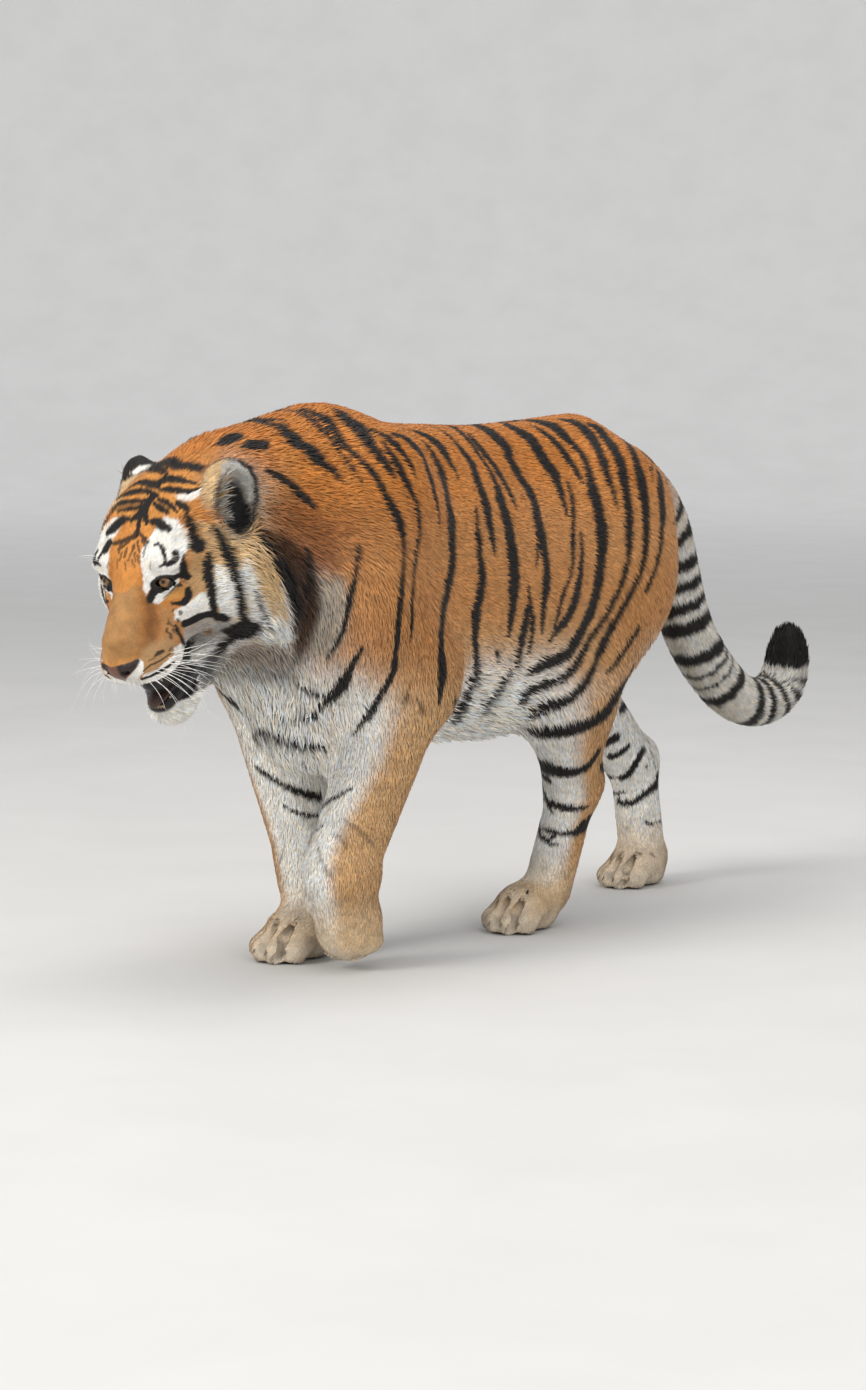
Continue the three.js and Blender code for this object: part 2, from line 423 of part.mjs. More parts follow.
// each leg lies under a slope that rises outward from the groin or the armpit
const legTop = (s, x0, z0, rise) => plane([s * x0, 0, z0], [-s * rise, 0, 1]);
const LEGS = {
  fore_left: { s: 1, y: [-0.70, -0.235], x0: 0.03, z0: 0.425, x: 0.004, mid: 0.41, low: 0.150 },
  fore_right: { s: -1, y: [-0.70, -0.205], x0: 0.03, z0: 0.425, x: 0.004, mid: 0.41, low: 0.100 },
  hind_left: { s: 1, y: [0.045, 0.42], x0: 0.05, z0: 0.40, x: 0.035, mid: 0.385, low: 0.100 },
  hind_right: { s: -1, y: [0.29, 0.82], x0: 0.05, z0: 0.40, x: 0.035, mid: 0.385, low: 0.100 },
};
const legRegion = (l) => [legTop(l.s, l.x0, l.z0, 1), side(0, l.s * l.x, -l.s), above(1, l.y[0]), below(1, l.y[1]), above(2, -0.05)];
const pawRegion = (l) => [below(2, l.low), side(0, l.s * 0.002, -l.s), above(1, l.y[0] - 0.15), below(1, l.y[1]), above(2, -0.05)];
const allLegs = Object.values(LEGS);
const tailRegion = box(-0.064, 0.2, 0.612, 1.4, 0.2, 0.745);
const FLOOR = above(2, 0);

// ---------- building a piece ----------
const group = new THREE.Group();
group.name = 'tiger';
function addMesh(name, solid, color, roughness = 0.85) {
  const m = solid.getMesh(), pos = new Float32Array(m.numVert * 3);
  for (let i = 0; i < m.numVert; i++) for (let a = 0; a < 3; a++) pos[3 * i + a] = m.vertProperties[i * m.numProp + a] * UNIT;
  const g = new THREE.BufferGeometry();
  g.setAttribute('position', new THREE.BufferAttribute(pos, 3));
  g.setIndex(new THREE.BufferAttribute(new Uint32Array(m.triVerts), 1));
  const mesh = new THREE.Mesh(g, new THREE.MeshStandardMaterial({ color, roughness, metalness: 0 }));
  mesh.name = name;
  group.add(mesh);
}
function largest(solid) {
  const parts = solid.decompose();
  return parts.length < 2 ? solid : parts.sort((a, b) => b.volume() - a.volume())[0];
}
// the body inside `keep`, less each region of `drop`, meshed with cells of size h
function flesh(keep, drop, lo, hi, h, target, swell = 0) {
  const pad = 1.5 * h;
  const fn = (p) => {
    let v = Math.max(body(p) - swell, regionValue(keep, p) - pad);
    for (const R of drop) v = Math.max(v, -regionValue(R, p) - pad);
    return v;
  };
  let solid = null;
  for (const phase of [0, 0.37, 0.61, 0.13, 0.79, 0.25, 0.5]) {
    const { verts, tris } = netMesh(fn, lo, hi, h, phase);
    for (const v of verts) {
      const r = regionValue(keep, v), d = drop.length ? Math.max(...drop.map((R) => -regionValue(R, v))) : -1;
      if (r > 0.7 * pad || d > 0.7 * pad) continue;
      for (let t = 0; t < 2; t++) {
        const g = slope(body, v), e = (body(v) - swell) / Math.max(dot(g, g), 0.25);
        const l = Math.min(1, 0.4 * h / Math.max(Math.abs(e) * Math.hypot(...g), 1e-9));
        for (let a = 0; a < 3; a++) v[a] -= g[a] * e * l;
      }
    }
    const few = thinOut(verts, tris, target);
    try { solid = toManifold(few.verts, few.tris); if (!solid.isEmpty()) break; } catch (err) { solid = null; }
  }
  for (const q of keep) solid = solid.intersect(halfSpace(q, -GAP / 2));
  for (const R of drop) solid = solid.subtract(regionSolid(R, GAP / 2));
  return largest(solid.intersect(halfSpace(FLOOR, 0)));
}

const legDrops = allLegs.flatMap((l) => [legRegion(l), pawRegion(l)]);
// trunk pieces
addMesh('neck', flesh([neckPlane, opposite(headPlane), above(2, 0.3)], legDrops.slice(0, 4), [-0.25, -0.75, 0.35], [0.25, -0.30, 1.08], 0.030, 330, 0.001), COAT.orange);
addMesh('chest', flesh([opposite(neckPlane), opposite(headPlane), below(1, -0.13), above(2, 0.3)], legDrops.slice(0, 4), [-0.32, -0.75, 0.3], [0.32, -0.05, 1.08], 0.034, 450, 0.001), COAT.orange);
addMesh('trunk', flesh([above(1, -0.13), below(1, 0.17), above(2, 0.3)], legDrops.slice(4), [-0.3, -0.22, 0.3], [0.3, 0.26, 1.05], 0.034, 420, 0.001), COAT.orange);
addMesh('rump', flesh([above(1, 0.17), above(2, 0.25)], [...legDrops.slice(4), tailRegion], [-0.3, 0.08, 0.3], [0.3, 0.76, 1.05], 0.032, 500, 0.001), COAT.orange);
// tail in three lengths
addMesh('tail_base', flesh([...tailRegion, above(2, 0.52), below(1, 0.90)], [], [-0.12, 0.56, 0.45], [0.14, 0.90, 0.80], 0.018, 230), COAT.cream);
addMesh('tail_middle', flesh([...tailRegion, below(2, 0.52), below(1, 0.93)], [], [-0.12, 0.58, 0.25], [0.14, 1.0, 0.58], 0.018, 230), COAT.white);
addMesh('tail_tip', flesh([...tailRegion, above(1, 0.93)], [], [-0.1, 0.88, 0.25], [0.16, 1.22, 0.60], 0.018, 240), COAT.black);
// legs
const legNames = { fore_left: ['upper_arm_left', 'forearm_left', 'forepaw_left'], fore_right: ['upper_arm_right', 'forearm_right', 'forepaw_right'],
  hind_left: ['thigh_left', 'hind_shank_left', 'hindpaw_left'], hind_right: ['thigh_right', 'hind_shank_right', 'hindpaw_right'] };
const legCells = [0.026, 0.020, 0.011], legFaces = [240, 250, 285];

// claws: short hooks that leave the toes just above the floor
function clawSolid(root, dir, down, grow) {
  const rings = 3, sides = 5, verts = [], tris = [];
  const lat = unit(cross(dir, down));
  for (let i = 0; i < rings; i++) {
    const t = i / rings, c = add(add(root, dir, CLAW_LENGTH * (t - (i ? 0 : grow * 20))), down, 0.008 * t * t);
    const r = CLAW_R * (1 - 0.75 * t) + grow;
    for (let j = 0; j < sides; j++) {
      const a = 2 * Math.PI * j / sides;
      verts.push(add(add(c, lat, r * 0.62 * Math.cos(a)), down, r * 1.15 * Math.sin(a)));
    }
  }
  verts.push(add(add(root, dir, CLAW_LENGTH + grow), down, 0.008));
  const tip = verts.length - 1; verts.push(add(root, dir, -CLAW_LENGTH * grow * 20)); const back = verts.length - 1;
  for (let i = 0; i + 1 < rings; i++) for (let j = 0; j < sides; j++) {
    const a = i * sides + j, b = i * sides + (j + 1) % sides;
    tris.push(a, a + sides, b, b, a + sides, b + sides);
  }
  for (let j = 0; j < sides; j++) {
    const a = (rings - 1) * sides + j, b = (rings - 1) * sides + (j + 1) % sides;
    tris.push(a, tip, b); tris.push((j + 1) % sides, back, j);
  }
  return toManifold(verts, tris);
}
const clawsOf = {
  fore_left: HANG.x.map((x, i) => ({ root: [0.085 + x * 1.02, -0.438 - 0.016, HANG.z[i] + 0.002], dir: unit([0, -0.30, -1]), down: [0, 1, -0.3] })),
};
for (const p of paws) {
  const f = mul(rotZ(p.yaw), [0, -1, 0]);
  clawsOf[p.name] = TOE_X.map((x, i) => ({ root: pawPoint(p, [x, TOE_Y[i] - 0.012, 0.032]), dir: unit(add(f, [0, 0, -1], 0.30)), down: unit(add([0, 0, -1], f, -0.30)) }));
}

// each claw is slid along its own line until its tip stands clear of the toe by CLAW_SHOWS
for (const c of Object.values(clawsOf).flat()) {
  let t = 0; while (t < 0.06 && body(add(add(c.root, c.dir, t), c.down, 0.004)) < 0) t += 0.0005;
  c.root = add(c.root, c.dir, t + CLAW_SHOWS - CLAW_LENGTH);
}

for (const [key, l] of Object.entries(LEGS)) {
  const [up, mid, low] = legNames[key], h = legCells, n = legFaces, R = legRegion(l), x = [l.s > 0 ? -0.05 : -0.32, l.s > 0 ? 0.32 : 0.05];
  const lo = (z) => [x[0], l.y[0] - 0.05, z], hi = (z) => [x[1], l.y[1] + 0.05, z];
  addMesh(up, flesh([...R, above(2, l.mid)], [], lo(l.mid - 0.1), hi(0.72), h[0], n[0]), key.startsWith('fore') ? COAT.tan : COAT.orange);
  addMesh(mid, flesh([...R, below(2, l.mid), above(2, l.low)], [], lo(l.low - 0.07), hi(l.mid + 0.08), h[1], n[1]), key.startsWith('fore') ? COAT.tan : COAT.cream);
  let paw = flesh(pawRegion(l), [], add(lo(-0.03), [0, -0.15, 0]), hi(l.low + 0.05), h[2], n[2]);
  const claws = clawsOf[key];
  for (const c of claws) paw = paw.subtract(clawSolid(c.root, c.dir, c.down, GAP));
  addMesh(low, largest(paw), COAT.tan);
  claws.forEach((c, i) => addMesh(`claw_${key}_${i + 1}`, clawSolid(c.root, c.dir, c.down, 0), COAT.claw, 0.4));
}

// head, ears, jaw, nose, eyes, tongue
const sphere = (c, r, seg) => { const g = new THREE.SphereGeometry(r, seg, seg * 0.75 | 0); g.rotateX(Math.PI / 2); g.translate(...c); return fromGeometry(g); };
let skull = flesh([headPlane], [jawRegion, noseRegion, earRegion(1), earRegion(-1)], [-0.24, -1.06, 0.40], [0.24, -0.60, 1.0], 0.0120, 1210);
for (const s of [1, -1]) skull = skull.subtract(sphere(H([s * EYE_AT[0], EYE_AT[1], EYE_AT[2]]), EYE_R + GAP, 10));
addMesh('head', largest(skull), COAT.orange);
addMesh('jaw', flesh([headPlane, ...jawRegion], [], [-0.14, -1.02, 0.40], [0.14, -0.72, 0.68], 0.0100, 330), COAT.white);
addMesh('nose', flesh(noseRegion, [], [-0.07, -1.04, 0.5], [0.07, -0.88, 0.68], 0.0055, 130), COAT.nose, 0.5);
addMesh('tongue', (() => { const g = new THREE.SphereGeometry(1, 12, 6); g.scale(0.024, 0.050, 0.0050);
  const M = new THREE.Matrix4().makeBasis(new THREE.Vector3(...mul(HM, [1, 0, 0])), new THREE.Vector3(...mul(HM, jn([0, 1, 0]))), new THREE.Vector3(...mul(HM, jn([0, 0, 1]))));
  g.applyMatrix4(M); g.translate(...H(jaw([0, 0.185, -0.0875]))); return fromGeometry(g); })(), COAT.tongue, 0.4);
for (const [s, n] of [[1, 'left'], [-1, 'right']]) {
  const e = earFrame(s), c = e.at;
  addMesh(`ear_${n}`, flesh([...earRegion(s), headPlane], [], c.map((v, i) => v - [0.10, 0.10, 0.09][i]), c.map((v, i) => v + [0.10, 0.10, 0.11][i]), 0.0075, 330), COAT.black);
  addMesh(`eye_${n}`, sphere(H([s * EYE_AT[0], EYE_AT[1], EYE_AT[2]]), EYE_R, 10), COAT.eye, 0.08);
}

// the origin lies on the floor under the middle of the model
const whole = new THREE.Box3();
group.children.forEach((m) => { m.geometry.computeBoundingBox(); whole.union(m.geometry.boundingBox); });
group.position.set(-(whole.min.x + whole.max.x) / 2, -(whole.min.y + whole.max.y) / 2, -whole.min.z);
group.updateMatrixWorld(true);

export default group;
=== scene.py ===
# The looks of the still, life-size tiger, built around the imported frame.
# One skin replaces the flesh nodes. Over it lies a coat of thin solid tufts that
# follow the lie of the hair. Skin and coat share one set of markings, which are
# strokes laid on the body. Sculpting is done in metres in the body's own frame
# (faces -Y, left side +X, +Z up) and shifted onto the CAD frame at the end.
import math
import time
import bpy
import numpy as np
from mathutils import Matrix, Vector


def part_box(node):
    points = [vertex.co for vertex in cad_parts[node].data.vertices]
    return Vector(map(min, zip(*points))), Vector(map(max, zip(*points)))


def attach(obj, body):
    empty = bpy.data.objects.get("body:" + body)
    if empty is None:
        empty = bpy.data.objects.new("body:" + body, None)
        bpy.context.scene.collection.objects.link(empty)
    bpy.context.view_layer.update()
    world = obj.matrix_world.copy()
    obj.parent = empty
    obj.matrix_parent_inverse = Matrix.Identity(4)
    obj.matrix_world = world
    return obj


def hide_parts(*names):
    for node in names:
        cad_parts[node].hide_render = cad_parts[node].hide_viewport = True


T0 = time.time()
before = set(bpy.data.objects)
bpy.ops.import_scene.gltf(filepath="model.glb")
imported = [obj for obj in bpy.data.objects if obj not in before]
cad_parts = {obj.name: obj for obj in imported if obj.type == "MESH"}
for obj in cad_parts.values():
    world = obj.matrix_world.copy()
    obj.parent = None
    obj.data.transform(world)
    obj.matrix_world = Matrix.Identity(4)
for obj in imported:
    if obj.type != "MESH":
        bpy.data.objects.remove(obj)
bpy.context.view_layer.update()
rng = np.random.default_rng(11)


def say(*a):
    print(f"[{time.time() - T0:6.1f}s]", *a, flush=True)


# ------------------------------------------------------------------ helpers
def rotx(d):
    a = np.radians(d)
    return np.array([[1, 0, 0], [0, np.cos(a), -np.sin(a)], [0, np.sin(a), np.cos(a)]])


def rotz(d):
    a = np.radians(d)
    return np.array([[np.cos(a), -np.sin(a), 0], [np.sin(a), np.cos(a), 0], [0, 0, 1]])


def unit(v):
    v = np.asarray(v, float)
    return v / np.maximum(np.linalg.norm(v, axis=-1, keepdims=True), 1e-12)


def smooth(a, b, x):
    t = np.clip((x - a) / (b - a), 0, 1)
    return t * t * (3 - 2 * t)


def mix(a, b, t):
    t = np.asarray(t)
    if t.ndim == 1:
        t = t[:, None]
    return a + (np.asarray(b) - a) * t


# ------------------------------------------------------------------ the body's forms
PRIMS = []


def E(c, r, k=.05, grp='trunk', R=None, op='add'):
    PRIMS.append(dict(kind='E', c=np.array(c, float), r=np.array(r, float), k=k, grp=grp,
                      R=np.eye(3) if R is None else R, op=op))


def T(a, b, ra, rb, k=.05, grp='trunk', flat=None, op='add'):
    PRIMS.append(dict(kind='T', a=np.array(a, float), b=np.array(b, float), ra=ra, rb=rb, k=k,
                      grp=grp, flat=flat, op=op))


def mirrorE(c, r, **kw):
    E(c, r, **kw)
    R = kw.pop('R', None)
    if R is not None:
        M = np.diag([-1, 1, 1])
        kw['R'] = M @ R @ M
    E((-c[0], c[1], c[2]), r, **kw)


def spline(P, n):
    P = np.array(P, float)
    m = len(P) - 1
    out = []
    for u in np.linspace(0, m, n):
        i = min(int(u), m - 1)
        f = u - i
        p0, p1, p2, p3 = P[max(i - 1, 0)], P[i], P[i + 1], P[min(i + 2, m)]
        out.append(.5 * ((2 * p1) + (-p0 + p2) * f + (2 * p0 - 5 * p1 + 4 * p2 - p3) * f * f
                         + (-p0 + 3 * p1 - 3 * p2 + p3) * f ** 3))
    return np.array(out)


TAIL = spline([(0, .52, .835, .060), (0, .610, .795, .048), (0, .672, .735, .041), (0, .706, .66, .038),
               (0, .732, .585, .039), (.003, .777, .505, .040), (.009, .845, .432, .040), (.017, .921, .376, .038),
               (.027, 1.003, .360, .036), (.038, 1.062, .386, .032), (.048, 1.072, .438, .029), (.056, 1.063, .492, .026)], 23)
PITCH, YAW, ROLL, JAW = 38., 3., 1.5, 13.
HO = np.array([0, -.797, .747])
HINGE = np.array((0, -.02, -.055))
EYE_AT = np.array([.060, .107, .0425])
EYE_R = .0168


def head_frame():
    a, r = np.radians(PITCH), np.radians(ROLL)
    F = np.array([0, -np.cos(a), -np.sin(a)])
    U = np.array([0, -np.sin(a), np.cos(a)])
    L = np.array([1., 0, 0])
    return rotz(YAW) @ np.stack([L * np.cos(r) + U * np.sin(r), F, U * np.cos(r) - L * np.sin(r)], 1)


HM = head_frame()


def W(p):
    return HO + HM @ np.asarray(p, float)


def to_head(P):
    return (np.asarray(P) - HO) @ HM


def jw(p):
    a = np.radians(JAW)
    q = np.array(p, float) - HINGE
    return HINGE + np.array((q[0], q[1] * np.cos(a) + q[2] * np.sin(a), -q[1] * np.sin(a) + q[2] * np.cos(a)))


def paw(g, c, yaw, s):
    R = rotz(yaw)

    def w(p):
        return tuple(np.array(c) + R @ (np.array(p) * s))
    E(w((0, .01, .050)), np.array((.056, .075, .049)) * s, k=.03, grp=g, R=R)
    for x, y in [(-.041, -.050), (-.0145, -.073), (.0145, -.073), (.041, -.050)]:
        T(w((x * .85, y + .045, .050)), w((x, y, .0235)), .026 * s, .0245 * s, k=.010, grp=g)
    E(w((0, .02, .019)), np.array((.045, .055, .022)) * s, k=.02, grp=g, R=R)


def paw_hang():
    g = 'LF'
    E((.085, -.452, .088), (.058, .045, .060), k=.03, grp=g)
    for x, z in [(-.037, .056), (-.012, .045), (.014, .045), (.039, .056)]:
        T((.085 + x * .85, -.455, z + .030), (.085 + x, -.438, z), .024, .023, k=.010, grp=g)
    E((.046, -.50, .130), (.018, .022, .028), k=.02, grp=g)


def ear_frame(s):
    up = unit(np.array((s * .12, .03, 1.)))
    n = np.array((s * .92, -.36, .10))
    n = unit(n - up * (n @ up))
    return np.array((s * .108 - .006, -.790, .848)), np.stack([np.cross(up, n), n, up], 1)


def build():
    E((0, -.20, .658), (.205, .38, .277), k=.06)
    E((0, -.44, .62), (.165, .19, .20), k=.08)
    E((0, .06, .615), (.205, .34, .25), k=.08)
    E((0, .26, .735), (.165, .26, .19), k=.08)
    E((0, .395, .768), (.148, .185, .170), k=.07)
    E((0, -.41, .858), (.085, .19, .113), k=.07)
    T((0, -.36, .880), (0, .33, .899), .068, .067, k=.08)
    mirrorE((.125, -.42, .745), (.075, .14, .215), k=.06, R=rotx(-14))
    E((0, -.535, .61), (.115, .10, .14), k=.07)
    T((0, -.44, .802), (0, -.68, .790), .178, .132, k=.08, grp='neck')
    T((0, -.46, .875), (0, -.69, .866), .110, .094, k=.06, grp='neck')
    E((0, -.46, .455), (.095, .12, .110), k=.05)
    T((0, -.50, .66), (0, -.69, .69), .13, .115, k=.08, grp='neck')
    mirrorE((.106, .335, .70), (.093, .165, .21), k=.06)
    thin = ((1, 0, 0), .75)
    T((.122, .33, .655), (.130, .165, .47), .119, .108, k=.06, grp='LH', flat=thin)
    T((.125, .155, .44), (.104, .208, .28), .088, .053, k=.05, grp='LH')
    E((.102, .243, .270), (.027, .027, .044), k=.03, grp='LH')
    T((.101, .220, .272), (.085, .155, .075), .047, .047, k=.04, grp='LH')
    T((-.125, .43, .66), (-.14, .46, .47), .125, .100, k=.06, grp='RH', flat=thin)
    T((-.135, .485, .455), (-.106, .690, .275), .085, .054, k=.05, grp='RH')
    E((-.103, .752, .250), (.028, .028, .042), k=.03, grp='RH')
    T((-.103, .718, .250), (-.083, .722, .075), .049, .048, k=.04, grp='RH')
    T((.138, -.50, .64), (.155, -.36, .52), .105, .086, k=.08, grp='LF')
    T((.150, -.385, .49), (.100, -.485, .20), .080, .064, k=.05, grp='LF')
    E((.100, -.49, .175), (.064, .055, .055), k=.03, grp='LF')
    T((.098, -.485, .17), (.085, -.455, .075), .058, .056, k=.03, grp='LF')
    T((-.138, -.52, .64), (-.160, -.365, .52), .105, .090, k=.08, grp='RF')
    T((-.158, -.380, .49), (-.089, -.350, .16), .085, .058, k=.05, grp='RF')
    T((-.085, -.350, .16), (-.07, -.375, .07), .053, .052, k=.04, grp='RF')
    paw('RF', (-.065, -.415, 0.), -4, 1.0)
    paw('LH', (.075, .092, 0.), 0, .95)
    paw('RH', (-.075, .688, 0.), -4, .92)
    paw_hang()
    for i in range(len(TAIL) - 1):
        a, b = TAIL[i], TAIL[i + 1]
        T(a[:3], b[:3], a[3], b[3], k=.045 if i else .07, grp='tail')
    head()


def head():
    def e(p, r, k=.03, R=None, op='add', grp='head', both=False):
        R0 = np.eye(3) if R is None else R
        E(W(p), r, k=k, grp=grp, R=HM @ R0, op=op)
        if both:
            Mi = np.diag([-1, 1, 1])
            E(W((-p[0], p[1], p[2])), r, k=k, grp=grp, R=HM @ (Mi @ R0 @ Mi), op=op)

    def t(a, b, ra, rb, k=.03, op='add', grp='head', both=False, flat=None):
        for s in ((1, -1) if both else (1,)):
            f = None if flat is None else (tuple(HM @ np.array((s * flat[0][0], flat[0][1], flat[0][2]))), flat[1])
            T(W((s * a[0], a[1], a[2])), W((s * b[0], b[1], b[2])), ra, rb, k=k, grp=grp, op=op, flat=f)
    e((0, -.045, .040), (.112, .125, .098), k=.05)
    e((0, .055, .045), (.085, .070, .058), k=.04)
    e((.060, .060, .052), (.040, .045, .040), k=.03, both=True)
    t((0, .090, .040), (0, .205, -.010), .046, .038, k=.035)
    e((0, .165, -.050), (.062, .080, .050), k=.03)
    e((.033, .190, -.062), (.040, .050, .044), k=.022, both=True)
    e((0, .236, -.032), (.029, .022, .022), k=.014)
    e((.102, .034, -.038), (.055, .066, .078), k=.04, both=True)
    e((.062, -.015, .072), (.054, .078, .046), k=.04, both=True)
    e((.058, .085, -.020), (.042, .062, .052), k=.035, both=True)
    e((.070, -.02, -.075), (.068, .09, .085), k=.04, both=True)
    t((.118, -.040, -.010), (.112, -.025, -.125), .048, .056, k=.04, both=True, grp='ruff')
    for s in (1, -1):
        t(jw((s * .050, .00, -.092)), jw((s * .028, .165, -.112)), .046, .031, k=.03, grp='jaw')
    e(jw((0, .200, -.123)), (.044, .040, .036), k=.025, grp='jaw', R=rotx(JAW))
    c0, c1 = jw((0, .120, -.088)), jw((0, .250, -.082))
    t(c0, c1, .046, .062, k=.008, op='cut', flat=((0, .13, 1), .15))
    for s in (1, -1):
        base, R = ear_frame(s)
        E(tuple(base - R[:, 1] * .014), (.048, .036, .068), k=.022, R=R, grp='ear')
    for s in (1, -1):
        base, R = ear_frame(s)
        E(tuple(base + R[:, 1] * .020 - R[:, 2] * .004), (.037, .034, .054), k=.008, R=R, grp='ear', op='cut')


build()


def prim_dist(p, P):
    if p['kind'] == 'E':
        q = (P - p['c']) @ p['R']
        k0 = np.linalg.norm(q / p['r'], axis=-1)
        k1 = np.linalg.norm(q / (p['r'] ** 2), axis=-1)
        return np.where(k1 > 1e-9, k0 * (k0 - 1) / np.maximum(k1, 1e-9), -p['r'].min())
    a, b = p['a'], p['b']
    q, ba = P - a, b - a
    if p['flat'] is not None:
        n = unit(np.array(p['flat'][0], float))
        s = p['flat'][1]
        q = q + np.outer(q @ n, n) * (1 / s - 1)
        ba = ba + (ba @ n) * n * (1 / s - 1)
    l2 = ba @ ba
    rr = p['ra'] - p['rb']
    a2, il2 = l2 - rr * rr, 1 / l2
    y = q @ ba
    z = y - l2
    x2 = ((q * l2 - y[:, None] * ba) ** 2).sum(-1)
    y2, z2 = y * y * l2, z * z * l2
    k = np.sign(rr) * rr * rr * x2
    d = (np.sqrt(np.maximum(x2 * a2 * il2, 0)) + y * rr) * il2 - p['ra']
    d = np.where(np.sign(z) * a2 * z2 > k, np.sqrt(x2 + z2) * il2 - p['rb'],
                 np.where(np.sign(y) * a2 * y2 < k, np.sqrt(x2 + y2) * il2 - p['ra'], d))
    return d * min(1, p['flat'][1] * 1.15) if p['flat'] is not None else d


def bbox(p, m):
    if p['kind'] == 'E':
        ext = np.sqrt(((p['R'] * p['r']) ** 2).sum(1))
        return p['c'] - ext - m, p['c'] + ext + m
    r = max(p['ra'], p['rb'])
    return np.minimum(p['a'], p['b']) - r - m, np.maximum(p['a'], p['b']) + r + m


def field(P, band=.08, prims=None, cuts=True):
    P = np.asarray(P)
    D = np.full(len(P), .12)
    for p in (PRIMS if prims is None else prims):
        if p['op'] == 'cut' and not cuts:
            continue
        lo, hi = bbox(p, band + p['k'])
        idx = np.nonzero(np.all((P > lo) & (P < hi), axis=1))[0]
        if not len(idx):
            continue
        d, k, c = prim_dist(p, P[idx]), p['k'], D[idx]
        if p['op'] == 'add':
            h = np.maximum(k - np.abs(c - d), 0) / k
            D[idx] = np.minimum(c, d) - h * h * k * .25
        else:
            d = -d
            h = np.maximum(k - np.abs(c - d), 0) / k
            D[idx] = np.maximum(c, d) + h * h * k * .25
    return D


def smin(a, b, k):
    h = np.maximum(k - np.abs(a - b), 0) / k
    return np.minimum(a, b) - h * h * k * .25


def smax(a, b, k):
    return -smin(-a, -b, k)


# ------------------------------------------------------------------ face details (head frame)
GAZE = {}
for s_ in (1, -1):
    g = unit(np.array([s_ * .30, 1., .70]))
    up = np.array([s_ * .10, -.25, 1.])
    up = unit(up - g * (up @ g))
    GAZE[s_] = (np.cross(g, up) * 1.0, g, up)        # across, out, up


def eye_axes(s):
    a, g, u = GAZE[s]
    if a[0] * s < 0:
        a = -a                                       # across points away from the nose
    return a, g, u


def capsule(q, a, b, r):
    a, b = np.asarray(a, float), np.asarray(b, float)
    ba = b - a
    t = np.clip(((q - a) @ ba) / (ba @ ba), 0, 1)
    return np.linalg.norm(q - a - t[:, None] * ba, axis=1) - r


def egg_d(q, c, r):
    r = np.asarray(r, float)
    v = q - np.asarray(c, float)
    k0 = np.linalg.norm(v / r, axis=1)
    k1 = np.linalg.norm(v / r ** 2, axis=1)
    return k0 * (k0 - 1) / np.maximum(k1, 1e-9)


OPEN_W, OPEN_UP, OPEN_DOWN = .0152, .0066, .0074    # half width and heights of the eye opening
SLANT = .24


def opening(q, s):
    """Negative inside the almond opening of the lids, in front of the eye."""
    a, g, u = eye_axes(s)
    v = q - EYE_AT * np.array([s, 1, 1])
    x, y, z = v @ a, v @ g, v @ u
    z = z - SLANT * x                                 # the outer corner sits higher
    t = np.clip(1 - (x / OPEN_W) ** 2, 0, 1)
    top, bot = OPEN_UP * t ** .8, OPEN_DOWN * t ** .9
    d = np.maximum(z - top, -bot - z)
    d = np.where(np.abs(x) > OPEN_W, np.maximum(d, np.abs(x) - OPEN_W), d)
    return np.maximum(d * .8, -(y - .002))


# a block that fills the inside of the mouth; it is painted near-black as painted shade
CORE_AT, CORE_R = (0, .146, -.104), (.041, .066, .046)


def lip_z(q):
    """Height of the upper lip's lower edge, falling away behind the corner of the mouth."""
    x, y = np.abs(q[:, 0]), q[:, 1]
    z = np.interp(x, [0, .020, .044, .067, .085], [-.0860, -.0790, -.0725, -.0770, -.0880])
    z = z - np.clip(.190 - y, 0, .08) * .22
    return z - .30 * smooth(.140, .108, y)


def jaw_frame(q):
    """Head coordinates with the jaw swung shut."""
    a = np.radians(JAW)
    v = q - HINGE
    return np.stack([v[:, 0], v[:, 1] * np.cos(a) - v[:, 2] * np.sin(a), v[:, 1] * np.sin(a) + v[:, 2] * np.cos(a)], 1) + HINGE


def face(D, P):
    """The base body with lids, nostrils, lips and brow worked in."""
    idx = np.nonzero(np.linalg.norm(P - W((0, .13, -.01)), axis=1) < .19)[0]
    if not len(idx):
        return D
    q = to_head(P[idx])
    d = D[idx]
    for s in (1, -1):
        m = np.array([s, 1, 1])
        c = EYE_AT * m
        a, g, u = eye_axes(s)
        d = smin(d, egg_d(q, (s * .064, .086, .069), (.034, .030, .015)), .020)       # brow
        ball = np.linalg.norm(q - c, axis=1)
        d = smin(d, ball - (EYE_R + .0030), .010)                                     # lids over the ball
        arc = [c + a * (OPEN_W + .002) * t + u * (OPEN_UP * (1 - t * t) + .0035 + SLANT * OPEN_W * t) + g * (EYE_R * .86 - .006 * t * t)
               for t in np.linspace(-1.1, 1.0, 7)]
        for i in range(6):
            d = smin(d, capsule(q, arc[i], arc[i + 1], .0026), .005)                  # upper lid's fold
        d = smax(d, -opening(q, s), .0016)
        d = smax(d, -(ball - (EYE_R + .0004)), .0012)                                 # room for the ball
        # nostrils: a round hole in front and a slit running back from it
        d = smax(d, -egg_d(q, (s * .0190, .2525, -.0360), (.0060, .010, .0046)), .003)
        d = smax(d, -capsule(q, (s * .0215, .2500, -.0335), (s * .0310, .2370, -.0265), .0024), .003)
        d = smin(d, egg_d(q, (s * .0235, .2400, -.0265), (.0090, .0120, .0075)), .006)  # wing of the nose
    d = smax(d, -capsule(q, (0, .2600, -.0480), (0, .2470, -.0900), .0016), .005)      # groove under the nose
    d = smax(d, lip_z(q) - q[:, 2], .007)                                             # lower edge of the upper lip
    d = smin(d, egg_d(q, CORE_AT, CORE_R), .004)                                      # the block inside the mouth, painted near-black as painted shade
    d = smin(d, field(P[idx], prims=[p for p in PRIMS if p['grp'] == 'jaw']), .006)
    out = D.copy()
    out[idx] = d
    return out


